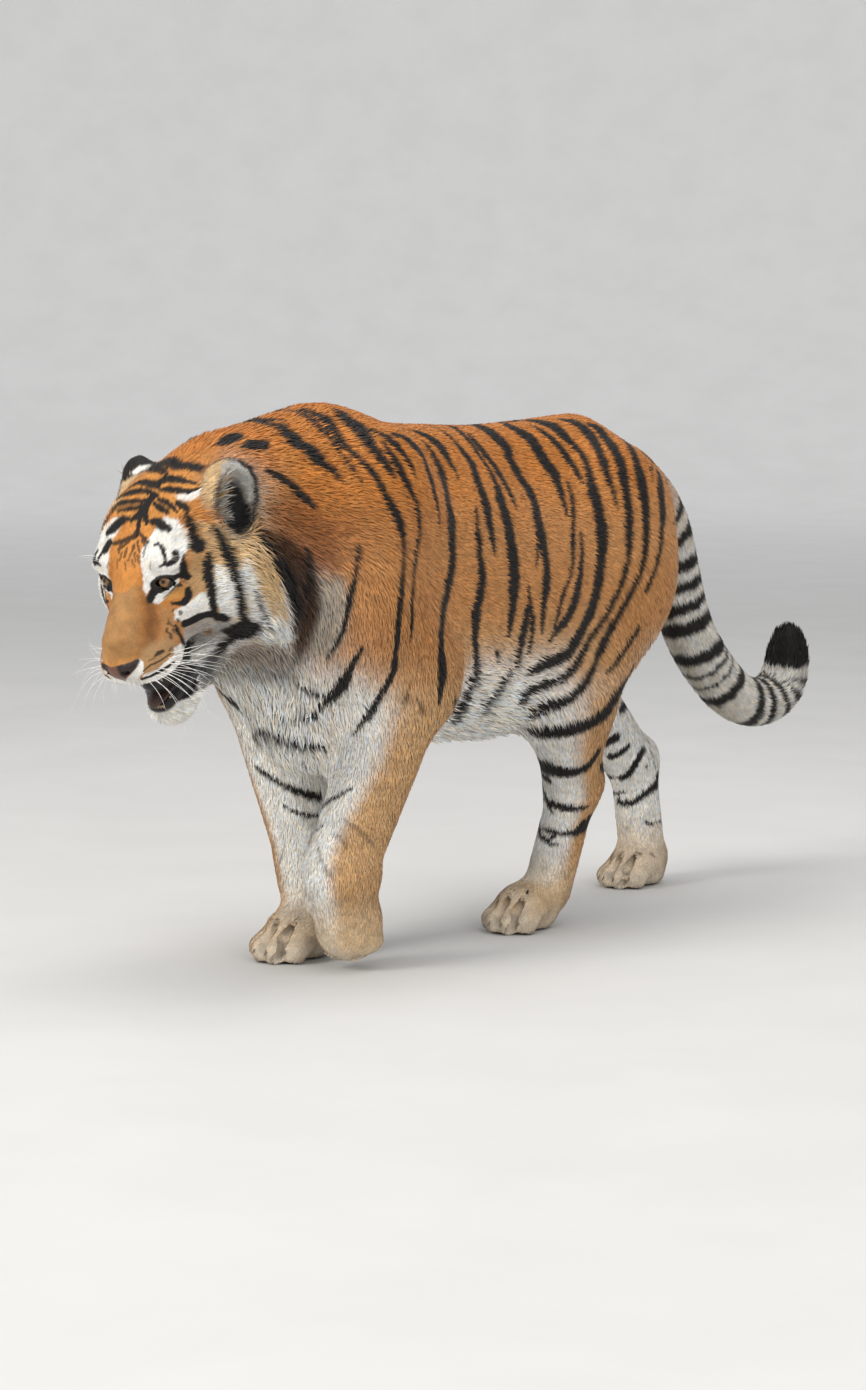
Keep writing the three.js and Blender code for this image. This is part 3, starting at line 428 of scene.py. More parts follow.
TOE_GROOVES = []     # start, end, radius: the clefts between the toes
for c_, yaw_, k_ in (((-.065, -.415, 0.), -4, 1.0), ((.075, .092, 0.), 0, .95), ((-.075, .688, 0.), -4, .92)):
    R_ = rotz(yaw_)
    for x_, y0_, y1_ in ((-.0285, -.020, -.080), (0., -.034, -.100), (.0285, -.020, -.080)):
        a_ = np.array(c_) + R_ @ (np.array([x_ * .85, y0_, .078]) * k_)
        b_ = np.array(c_) + R_ @ (np.array([x_, y1_ + .016, .050]) * k_)
        e_ = np.array(c_) + R_ @ (np.array([x_ * 1.04, y1_ - .006, .010]) * k_)
        TOE_GROOVES += [(a_, b_, .0050 * k_, .0075 * k_), (b_, e_, .0075 * k_, .0075 * k_)]
for x_ in (-.025, .001, .027):
    TOE_GROOVES.append((np.array([.085 + x_ * .9, -.487, .075]), np.array([.085 + x_, -.468, .028]), .0035, .0050))


def cleft(P, g):
    a, b, ra, rb = g
    ba = b - a
    t = np.clip(((P - a) @ ba) / (ba @ ba), 0, 1)
    return np.linalg.norm(P - a - t[:, None] * ba, axis=1) - (ra + (rb - ra) * t)


def feet(D, P):
    idx = np.nonzero(P[:, 2] < .11)[0]
    if len(idx):
        p, d = P[idx], D[idx]
        for g in TOE_GROOVES:
            m = np.abs(d) < .03
            d[m] = smax(d[m], -cleft(p[m], g), .006)
        D = D.copy()
        D[idx] = d
    return D


def vfield(P):
    return feet(face(field(P), P), P)


def gradient(f, P, e=6e-4):
    g = np.empty_like(P)
    for i in range(3):
        o = np.zeros(3)
        o[i] = e
        g[:, i] = (f(P + o) - f(P - o)) / (2 * e)
    return g


def project(V, iso=0., n=2, f=vfield, cap=.008):
    for _ in range(n):
        d, g = f(V) - iso, gradient(f, V)
        st = (d / np.maximum((g * g).sum(1), .25))[:, None] * g
        l = np.linalg.norm(st, axis=1, keepdims=True)
        V = V - st * np.minimum(1, cap / np.maximum(l, 1e-9))
    return V


# ------------------------------------------------------------------ meshing the field
def surface_net(h, lo, hi, f, coarse=6):
    lo, hi = np.array(lo, float), np.array(hi, float)
    n = np.ceil((hi - lo) / (h * coarse)).astype(int)
    ii = np.stack(np.meshgrid(*[np.arange(k) for k in n], indexing='ij'), -1).reshape(-1, 3)
    d = f(lo + (ii + .5) * h * coarse)
    ii = ii[np.abs(d) < h * coarse * .5 * np.sqrt(3) * 1.6 + .004]
    N = n * coarse + 1
    loc = np.stack(np.meshgrid(*[np.arange(coarse + 1)] * 3, indexing='ij'), -1).reshape(-1, 3)
    pts = (ii[:, None, :] * coarse + loc[None]).reshape(-1, 3)

    def code(q):
        return (q[:, 0].astype(np.int64) * N[1] + q[:, 1]) * N[2] + q[:, 2]
    key, ix = np.unique(code(pts), return_index=True)
    pts = pts[ix]
    val = f(lo + pts * h)
    val = np.where(np.abs(val) < 1e-7, 1e-7, val)

    def look(keys, q):
        kk = code(q)
        j = np.minimum(np.searchsorted(keys, kk), len(keys) - 1)
        return j, keys[j] == kk
    cells = (ii[:, None, :] * coarse + np.stack(np.meshgrid(*[np.arange(coarse)] * 3, indexing='ij'), -1).reshape(-1, 3)[None]).reshape(-1, 3)
    corners = np.array([[i, j, k] for i in (0, 1) for j in (0, 1) for k in (0, 1)])
    cv = np.stack([val[look(key, cells + c)[0]] for c in corners], 1)
    ins = cv < 0
    act = ins.any(1) & ~ins.all(1)
    cells, cv = cells[act], cv[act]
    acc, cnt = np.zeros((len(cells), 3)), np.zeros(len(cells))
    for a in range(8):
        for b in range(a + 1, 8):
            if np.abs(corners[a] - corners[b]).sum() != 1:
                continue
            m = (cv[:, a] < 0) != (cv[:, b] < 0)
            t = cv[m, a] / (cv[m, a] - cv[m, b])
            acc[m] += corners[a] + t[:, None] * (corners[b] - corners[a])
            cnt[m] += 1
    V = lo + (cells + acc / cnt[:, None]) * h
    ck = code(cells)
    o = np.argsort(ck)
    ck, V, cells, cv = ck[o], V[o], cells[o], cv[o]
    quads = []
    for ax in range(3):
        u, v = (ax + 1) % 3, (ax + 2) % 3
        e = np.zeros(3, int)
        e[ax] = 1
        c1 = corners.tolist().index(e.tolist())
        m = (cv[:, 0] < 0) != (cv[:, c1] < 0)
        q, flip = cells[m], cv[m, 0] < 0
        du, dv = np.zeros(3, int), np.zeros(3, int)
        du[u] = 1
        dv[v] = 1
        got = [look(ck, x) for x in (q, q - du, q - du - dv, q - dv)]
        ok = np.all([g[1] for g in got], 0)
        Q = np.stack([g[0] for g in got], 1)
        Q[~flip] = Q[~flip][:, ::-1]
        quads.append(Q[ok])
    return V, np.concatenate(quads)


def refine(V, F, target, f, rounds=6):
    """Splits each edge that is longer than the target length at its middle, and lays new points on the field."""
    for _ in range(rounds):
        e = np.sort(np.concatenate([F[:, [0, 1]], F[:, [1, 2]], F[:, [2, 0]]]), 1)
        key = e[:, 0].astype(np.int64) * len(V) + e[:, 1]
        uk, first, inv = np.unique(key, return_index=True, return_inverse=True)
        ue = e[first]
        mid = (V[ue[:, 0]] + V[ue[:, 1]]) / 2
        long_ = np.linalg.norm(V[ue[:, 0]] - V[ue[:, 1]], axis=1) > target(mid) * 1.35
        if long_.sum() < 10:
            break
        new = np.full(len(ue), -1)
        new[long_] = len(V) + np.arange(long_.sum())
        V = np.concatenate([V, project(mid[long_], n=1, f=f)])
        n = len(F)
        m = [new[inv[:n]], new[inv[n:2 * n]], new[inv[2 * n:]]]
        out = []
        cnt = (m[0] >= 0).astype(int) + (m[1] >= 0) + (m[2] >= 0)
        out.append(F[cnt == 0])
        for r in range(3):                            # one split edge
            s = (cnt == 1) & (m[r] >= 0)
            a, b, c, x = F[s, r], F[s, (r + 1) % 3], F[s, (r + 2) % 3], m[r][s]
            out += [np.stack([a, x, c], 1), np.stack([x, b, c], 1)]
        for r in range(3):                            # two split edges, r the whole one
            s = (cnt == 2) & (m[r] < 0)
            a, b, c = F[s, r], F[s, (r + 1) % 3], F[s, (r + 2) % 3]
            x, y = m[(r + 1) % 3][s], m[(r + 2) % 3][s]
            out += [np.stack([a, b, x], 1), np.stack([a, x, y], 1), np.stack([y, x, c], 1)]
        s = cnt == 3
        a, b, c, x, y, z = F[s, 0], F[s, 1], F[s, 2], m[0][s], m[1][s], m[2][s]
        out += [np.stack([a, x, z], 1), np.stack([x, b, y], 1), np.stack([z, y, c], 1), np.stack([x, y, z], 1)]
        F = np.concatenate(out)
    return V, F


def relax(V, F, n, keep):
    for _ in range(n):
        acc, cnt = np.zeros_like(V), np.zeros(len(V))
        for i in range(3):
            for j in (1, 2):
                for a in range(3):
                    acc[:, a] += np.bincount(F[:, i], weights=V[F[:, (i + j) % 3], a], minlength=len(V))
                cnt += np.bincount(F[:, i], minlength=len(V))
        new = acc / np.maximum(cnt, 1)[:, None]
        V = V + (new - V) * (.5 * keep)[:, None]
    return V


def vertex_normals(V, F):
    fn = np.cross(V[F[:, 1]] - V[F[:, 0]], V[F[:, 2]] - V[F[:, 0]])
    N = np.zeros_like(V)
    for i in range(3):
        for a in range(3):
            N[:, a] += np.bincount(F[:, i], weights=fn[:, a], minlength=len(V))
    return unit(N)


def skin_target(P):
    q = to_head(P)
    d_head = np.linalg.norm(q - (0, .03, -.02), axis=1)
    t = np.where(d_head < .20, .0070, .0142)
    t = np.where((d_head < .26) & (d_head >= .20), .0070 + (d_head - .20) * .10, t)
    t = np.where((q[:, 1] > .06) & (d_head < .28), np.minimum(t, .0040), t)
    for s in (1, -1):
        e = np.linalg.norm(q - EYE_AT * np.array([s, 1, 1]), axis=1)
        t = np.minimum(t, np.clip(.0016 + (e - .022) * .12, .0016, 1))
    nose = np.linalg.norm((q - (0, .245, -.040)) / (1.4, 1, 1), axis=1)
    t = np.minimum(t, np.clip(.0017 + (nose - .022) * .10, .0017, 1))
    lip = np.linalg.norm((q - (0, .215, -.095)) / (2.2, 1.5, 1), axis=1)
    t = np.minimum(t, np.clip(.0026 + (lip - .025) * .10, .0026, 1))
    t = np.where(P[:, 2] < .11, np.minimum(t, .0078), t)
    for g in TOE_GROOVES:
        near = (P[:, 2] < .10) & (np.abs(P[:, 1] - (g[0][1] + g[1][1]) / 2) < .06)
        k = np.nonzero(near)[0]
        if len(k):
            t[k] = np.minimum(t[k], np.clip(.0042 + np.maximum(cleft(P[k], g), 0) * .35, .0042, 1))
    for s in (1, -1):
        base, R = ear_frame(s)
        v = np.linalg.norm((P - base) / np.array([1, 1, 1.2]), axis=1)
        t = np.where(v < .062, np.minimum(t, .0052), t)
    return t


say("frame loaded")
H_CELL = .0095
V, Q = surface_net(H_CELL, (-.34, -1.12, -.03), (.34, 1.30, 1.10), vfield)
F = np.concatenate([Q[:, [0, 1, 2]], Q[:, [0, 2, 3]]])
say("net", len(V), len(F))
V = project(V, n=2)
V, F = refine(V, F, skin_target, vfield)
V = relax(V, F, 2, np.where(np.linalg.norm(to_head(V) - (0, .15, 0), axis=1) < .15, .35, 1.))
V = project(V, n=2, cap=.004)
# the skin is one piece: any closed speck beside it goes
label = np.arange(len(V))
e0, e1 = np.concatenate([F[:, 0], F[:, 1], F[:, 2]]), np.concatenate([F[:, 1], F[:, 2], F[:, 0]])
while True:
    low = np.minimum(label[e0], label[e1])
    new = label.copy()
    np.minimum.at(new, e0, low)
    np.minimum.at(new, e1, low)
    new = new[new]
    if (new == label).all():
        break
    label = new
F = F[label[F[:, 0]] == np.bincount(label[F[:, 0]]).argmax()]
used = np.unique(F)
remap = np.full(len(V), -1)
remap[used] = np.arange(len(used))
V, F = V[used], remap[F]
N = unit(gradient(vfield, V, 1.2e-3))
NG = vertex_normals(V, F)
N = np.where(((N * NG).sum(1) < .2)[:, None], NG, N)
say("skin", len(V), len(F))
assert len(F) < 200000, len(F)

# ------------------------------------------------------------------ where on the animal a point is
GROUPS = ['trunk', 'neck', 'LH', 'RH', 'LF', 'RF', 'tail', 'head', 'ruff', 'jaw', 'ear']


def group_weights(P, tau=.02):
    D = np.full((len(P), len(GROUPS)), .2)
    for p in PRIMS:
        if p['op'] == 'cut':
            continue
        lo, hi = bbox(p, .09)
        idx = np.nonzero(np.all((P > lo) & (P < hi), axis=1))[0]
        if len(idx):
            g = GROUPS.index(p['grp'])
            D[idx, g] = np.minimum(D[idx, g], prim_dist(p, P[idx]))
    w = np.exp(-(D - D.min(1, keepdims=True)) / tau)
    return w / w.sum(1, keepdims=True)


def tail_param(P):
    """How far along the tail, from 0 to 1, the tail's direction there, and the offset from its middle line."""
    A, B = TAIL[:-1, :3], TAIL[1:, :3]
    seg = np.linalg.norm(B - A, axis=1)
    cum = np.concatenate([[0], np.cumsum(seg)])
    best, s, d, off = np.full(len(P), 9.), np.zeros(len(P)), np.zeros((len(P), 3)), np.zeros((len(P), 3))
    for i in range(len(A)):
        ba = B[i] - A[i]
        t = np.clip(((P - A[i]) @ ba) / (ba @ ba), 0, 1)
        o = P - A[i] - t[:, None] * ba
        r = np.linalg.norm(o, axis=1)
        m = r < best
        best[m], s[m], off[m] = r[m], (cum[i] + t[m] * seg[i]) / cum[-1], o[m]
        d[m] = ba / seg[i]
    return s, d, off


LEG_AXIS = {   # z, x, y of each leg's middle line, from the top down
    'LH': [(.66, .122, .33), (.47, .130, .165), (.44, .125, .155), (.28, .104, .208), (.075, .085, .155), (0, .075, .092)],
    'RH': [(.66, -.125, .43), (.47, -.14, .46), (.455, -.135, .485), (.275, -.106, .690), (.250, -.103, .718), (.075, -.083, .722), (0, -.075, .688)],
    'LF': [(.64, .138, -.50), (.52, .155, -.36), (.49, .150, -.385), (.20, .100, -.485), (.075, .085, -.455), (0, .085, -.44)],
    'RF': [(.64, -.138, -.52), (.52, -.160, -.365), (.49, -.158, -.380), (.16, -.089, -.350), (.07, -.07, -.375), (0, -.065, -.415)],
}


def leg_axis(g, z):
    A = np.array(LEG_AXIS[g])[::-1]
    return np.stack([np.interp(z, A[:, 0], A[:, 1]), np.interp(z, A[:, 0], A[:, 2])], -1)


def lie_of_hair(P, N, Wt):
    """Direction, length, width and lift (degrees) of the hair at each point."""
    n = len(P)
    q = to_head(P)
    sx = np.tanh(P[:, 0] / .02)
    hx = np.tanh(q[:, 0] / .012)
    z = P[:, 2]
    one = np.ones(n)
    d, L, Wd, lift = np.zeros((n, 3)), np.zeros(n), np.zeros(n), np.zeros(n)

    def put(g, vec, length, width, rise):
        nonlocal d, L, Wd, lift
        w = Wt[:, GROUPS.index(g)]
        d = d + unit(np.stack([c * one for c in vec], 1)) * w[:, None]
        L = L + w * length
        Wd = Wd + w * width
        lift = lift + w * rise
    side = np.abs(N[:, 0])
    under = smooth(.25, -.75, N[:, 2])
    front = smooth(-.40, -.62, P[:, 1]) * smooth(.80, .60, z)          # breast
    # trunk: back and down, straight back along the spine and the belly
    belly = under * smooth(.62, .48, z) * (.25 + .75 * smooth(-.46, -.26, P[:, 1]))
    put('trunk', (0 * one + front * sx * -.1, 1 - 1.0 * front, -.30 * side * (1 - belly) - 1.0 * front - .10),
        .0185 + .026 * belly + .018 * front, .0023 + .0006 * belly, 9 + 12 * belly + 7 * front)
    low = smooth(.80, .66, z)
    put('neck', (.05 * sx, .85 - .30 * low, -.25 - .75 * low), .027 + .018 * low, .0024, 13 + 7 * low)
    for g, s in (('LH', 1), ('LF', 1), ('RH', -1), ('RF', -1)):
        foot = smooth(.115, .05, z)
        toe = smooth(.055, .02, z)
        back = .38 if g[1] == 'H' else .10
        hang = g == 'LF'
        vec = (0 * one, back * smooth(.25, .5, z) - (0 if hang else 1) * .9 * foot + (.25 if g == 'LH' else 0) * smooth(.15, .3, z) * 0,
               -1 + (0 if hang else .45) * foot - .4 * toe)
        put(g, vec, .0195 - .006 * smooth(.45, .20, z) - .0065 * foot, .0022 - .0006 * foot, 9.5 - 1.5 * foot)
    s, td, off = tail_param(P)
    put('tail', (td[:, 0], td[:, 1], td[:, 2]), .0185 + .006 * smooth(.75, 1., s), .0023, 13 + 4 * smooth(.8, 1, s))
    # head, in its own frame: away from the nose
    y, x, zz = q[:, 1], np.abs(q[:, 0]), q[:, 2]
    muzzle = smooth(.13, .19, y) * smooth(.02, -.02, zz + 0 * y)
    bridge = smooth(.035, .02, x) * smooth(.06, .10, y) * smooth(-.035, -.01, zz)
    cheek = smooth(.06, .10, x) * smooth(.12, .04, y)
    hf = np.stack([hx * (.12 + .55 * muzzle + .35 * cheek), -1 + .25 * cheek, .18 - .75 * muzzle - .80 * cheek - .10], 1)
    for sgn in (1, -1):                                # hair parts round the eyes
        v = q - EYE_AT * np.array([sgn, 1, 1])
        r = np.linalg.norm(v, axis=1)
        wv = np.exp(-(r / .030) ** 2)
        away = np.stack([v[:, 0] + sgn * .016, np.minimum(v[:, 1], 0) - .012, v[:, 2]], 1)
        hf = hf * (1 - .8 * wv[:, None]) + unit(away) * (.8 * wv)[:, None]
    hw = unit(hf) @ HM.T
    near_nose = smooth(.19, .24, y)
    length = .0095 + .006 * smooth(.02, -.07, y) + .015 * cheek - .003 * smooth(.05, .12, y)
    length = length * (1 - .55 * bridge) * (1 - .45 * muzzle) * (1 - .45 * near_nose)
    for sgn in (1, -1):
        r = np.linalg.norm(q - EYE_AT * np.array([sgn, 1, 1]), axis=1)
        length = np.minimum(length, .0042 + np.clip(r - .020, 0, 1) * .22)
    wd = .0011 + .0006 * smooth(.06, -.06, y) + .0004 * cheek
    put('head', (hw[:, 0], hw[:, 1], hw[:, 2]), length, wd, 10 + 7 * cheek + 2 * smooth(.0, -.08, y))
    put('ruff', (.42 * sx, .26, -.88), .052, .0019, 21)
    jf = unit(np.stack([hx * .25, -.75 * one, -.60 * one], 1)) @ HM.T
    put('jaw', (jf[:, 0], jf[:, 1], jf[:, 2]), .015 + .014 * smooth(.15, .05, y), .0013, 19)
    # ear: up the back, and out of the hollow from its front rim
    ev = np.zeros((n, 3))
    el = np.zeros(n)
    for sgn in (1, -1):
        base, R = ear_frame(sgn)
        m = (np.tanh(P[:, 0] * sgn / .02) * .5 + .5)
        v = (P - base) @ R
        inner = smooth(.0, .5, N @ R[:, 1])
        vec = unit(np.stack([.15 * np.sign(v[:, 0]) * (1 - inner) - .55 * inner * sgn * -1, .35 * inner, 1 - .35 * inner], 1)) @ R.T
        ev += vec * m[:, None]
        el += m * (.0055 + .001 * inner)
    put('ear', (ev[:, 0], ev[:, 1], ev[:, 2]), el, .0011, 9)
    d = d - N * (d * N).sum(1, keepdims=True)
    return unit(d + 1e-6), L, Wd, lift


Wt = group_weights(V)
FLOW, LEN, WID, LIFT = lie_of_hair(V, N, Wt)
QH = to_head(V)



# ------------------------------------------------------------------ camera
eye_box = [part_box("eye_left"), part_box("eye_right")]
centre = np.mean([np.array(c) for b in eye_box for c in b], 0)
SHIFT = centre - (W(EYE_AT) + W(EYE_AT * np.array([-1, 1, 1]))) / 2
say("shift", SHIFT)
AZ, FPX, CAM_H, CAM_D = 37.0, 3528.0, 1.10, 6.62
ca = math.radians(AZ)
away = np.array([math.sin(ca), -math.cos(ca), 0.])
CAM_POS = away * CAM_D + np.array([0, 0, CAM_H])
yaw = math.atan((464.0 - 433) / FPX)
fw = -away * math.cos(yaw) - np.array([math.cos(ca), math.sin(ca), 0.]) * math.sin(yaw)
CAM_RIGHT = unit(np.cross(fw, [0, 0, 1.]))
pitch = math.atan((695 - 349) / FPX)
CAM_FWD = fw * math.cos(pitch) + np.array([0, 0, -1.]) * math.sin(pitch)
CAM_UP = np.cross(CAM_RIGHT, CAM_FWD)
cam = bpy.data.cameras.new("camera")
cam.sensor_fit = 'VERTICAL'
cam.sensor_height = 36.0
cam.sensor_width = 36.0 * 866 / 1390
cam.lens = 36.0 * FPX / 1390
cam.clip_end = 200
cam_ob = bpy.data.objects.new("camera", cam)
M = Matrix.Identity(4)
for i, v in enumerate((CAM_RIGHT, CAM_UP, -CAM_FWD, CAM_POS + SHIFT)):
    for r in range(3):
        M[r][i] = v[r]
cam_ob.matrix_world = M
bpy.context.scene.collection.objects.link(cam_ob)
bpy.context.scene.camera = cam_ob


def onto_body(px):
    """Points of the body seen at these places of an 866 by 1390 frame."""
    px = np.atleast_2d(np.asarray(px, float))
    d = CAM_FWD + ((px[:, 0] - 433) / FPX)[:, None] * CAM_RIGHT - ((px[:, 1] - 695) / FPX)[:, None] * CAM_UP
    d = unit(d)
    t = np.full(len(px), 4.9)
    best, bt = np.full(len(px), 9.), t.copy()
    live = np.ones(len(px), bool)
    for _ in range(110):
        P = CAM_POS + d[live] * t[live, None]
        f = field(P)
        m = f < best[live]
        li = np.nonzero(live)[0]
        best[li[m]], bt[li[m]] = f[m], t[li[m]]
        t[li] += np.maximum(f * .75, .0006)
        done = (f < .0008) | (t[li] > 8.4)
        live[li[done]] = False
        if not live.any():
            break
    P = CAM_POS + d * bt[:, None]
    return project(P, n=3, f=field, cap=.03)


def px_of(P):
    """Where points fall in the 866 by 1390 frame, and the direction back to the camera."""
    v = P - CAM_POS
    d = v @ CAM_FWD
    return np.stack([433 + v @ CAM_RIGHT / d * FPX, 695 - v @ CAM_UP / d * FPX], 1), unit(-v)


def in_shape(px, shape):
    """Pixels inside a closed outline, negative outside it."""
    shape = np.asarray(shape, float)
    d, inside = np.full(len(px), 1e9), np.zeros(len(px), bool)
    for p, q in zip(shape, np.roll(shape, -1, 0)):
        e = q - p
        t = np.clip(((px - p) @ e) / max(e @ e, 1e-9), 0, 1)
        d = np.minimum(d, np.linalg.norm(px - p - t[:, None] * e, axis=1))
        dy = q[1] - p[1] if abs(q[1] - p[1]) > 1e-9 else 1e-9
        inside ^= ((p[1] > px[:, 1]) != (q[1] > px[:, 1])) & (px[:, 0] < (q[0] - p[0]) * (px[:, 1] - p[1]) / dy + p[0])
    return np.where(inside, d, -d)


def in_line(px, pts):
    """Pixels inside a stroke of (x, y, width), negative outside it."""
    pts = np.asarray(pts, float)
    best = np.full(len(px), -1e9)
    for p, q in zip(pts[:-1], pts[1:]):
        e = q[:2] - p[:2]
        t = np.clip(((px - p[:2]) @ e) / max(e @ e, 1e-9), 0, 1)
        r = np.linalg.norm(px - p[:2] - t[:, None] * e, axis=1)
        best = np.maximum(best, (p[2] + (q[2] - p[2]) * t) * .5 - r)
    return best


def left_view(P, N):
    """The points as the camera sees the left side of the head, with those of the right side mirrored over."""
    q = to_head(P)
    m = np.where(q[:, :1] < 0, -1., 1.) * [1, 0, 0] + [0, 1, 1]
    Pm = HO + (q * m) @ HM.T
    Nm = ((N @ HM) * m) @ HM.T
    px, back = px_of(Pm)
    v = q * m - EYE_AT
    lid = smooth(.034, .029, np.linalg.norm(v, axis=1))      # both lids count as seen
    return px, np.maximum(smooth(-.02, .16, (Nm * back).sum(1)), lid)


NOSE_PAD = [(111, 667.5), (120, 665), (130, 662), (137.5, 658.5), (140.5, 660.5), (136.5, 668), (131.5, 673.5), (126.5, 678), (125, 683.5), (118, 680), (111, 673)]


def bare_skin_and_mouth_shade(P, N, q):
    """1 on the nose pad, lid rims, lips, the soles and the inside of the mouth, which is painted near-black as painted
    shade.
    """
    px, seen = left_view(P, N)
    pad = smooth(-1.0, .8, in_shape(px, NOSE_PAD)) * smooth(.2200, .2260, q[:, 1]) * seen
    lids = np.zeros(len(P))
    for s in (1, -1):
        d = opening(q, s)
        r = np.linalg.norm(q - EYE_AT * np.array([s, 1, 1]), axis=1)
        lids = np.maximum(lids, smooth(.0030, .0014, d) * (r < .030))
    lz, up = lip_z(q), N @ HM[:, 2]
    front = smooth(.085, .11, q[:, 1])
    # the block inside the mouth: painted shade
    core = smooth(.0065, .0025, egg_d(q, CORE_AT, CORE_R)) * front
    under = smooth(.0075, .0035, q[:, 2] - lz) * smooth(-.25, -.65, up) * front * (q[:, 2] > lz - .02)
    j = jaw_frame(q)
    low = smooth(-.0990, -.0950, j[:, 2] + .10 * np.clip(j[:, 1] - .17, 0, 1)) * smooth(.070, .100, j[:, 1]) * (q[:, 2] < lz - .003)
    low = low * smooth(-.7, -.3, up + .0 * q[:, 0])
    mouth = np.maximum(np.maximum(core, under), low) * (np.linalg.norm(q - (0, .16, -.11), axis=1) < .14)
    sole = smooth(.006, .003, P[:, 2]) * smooth(-.3, -.7, N[:, 2])
    return pad, lids, mouth, sole


PAD, LIDS, MOUTH, SOLE = bare_skin_and_mouth_shade(V, N, QH)
say("bare skin")

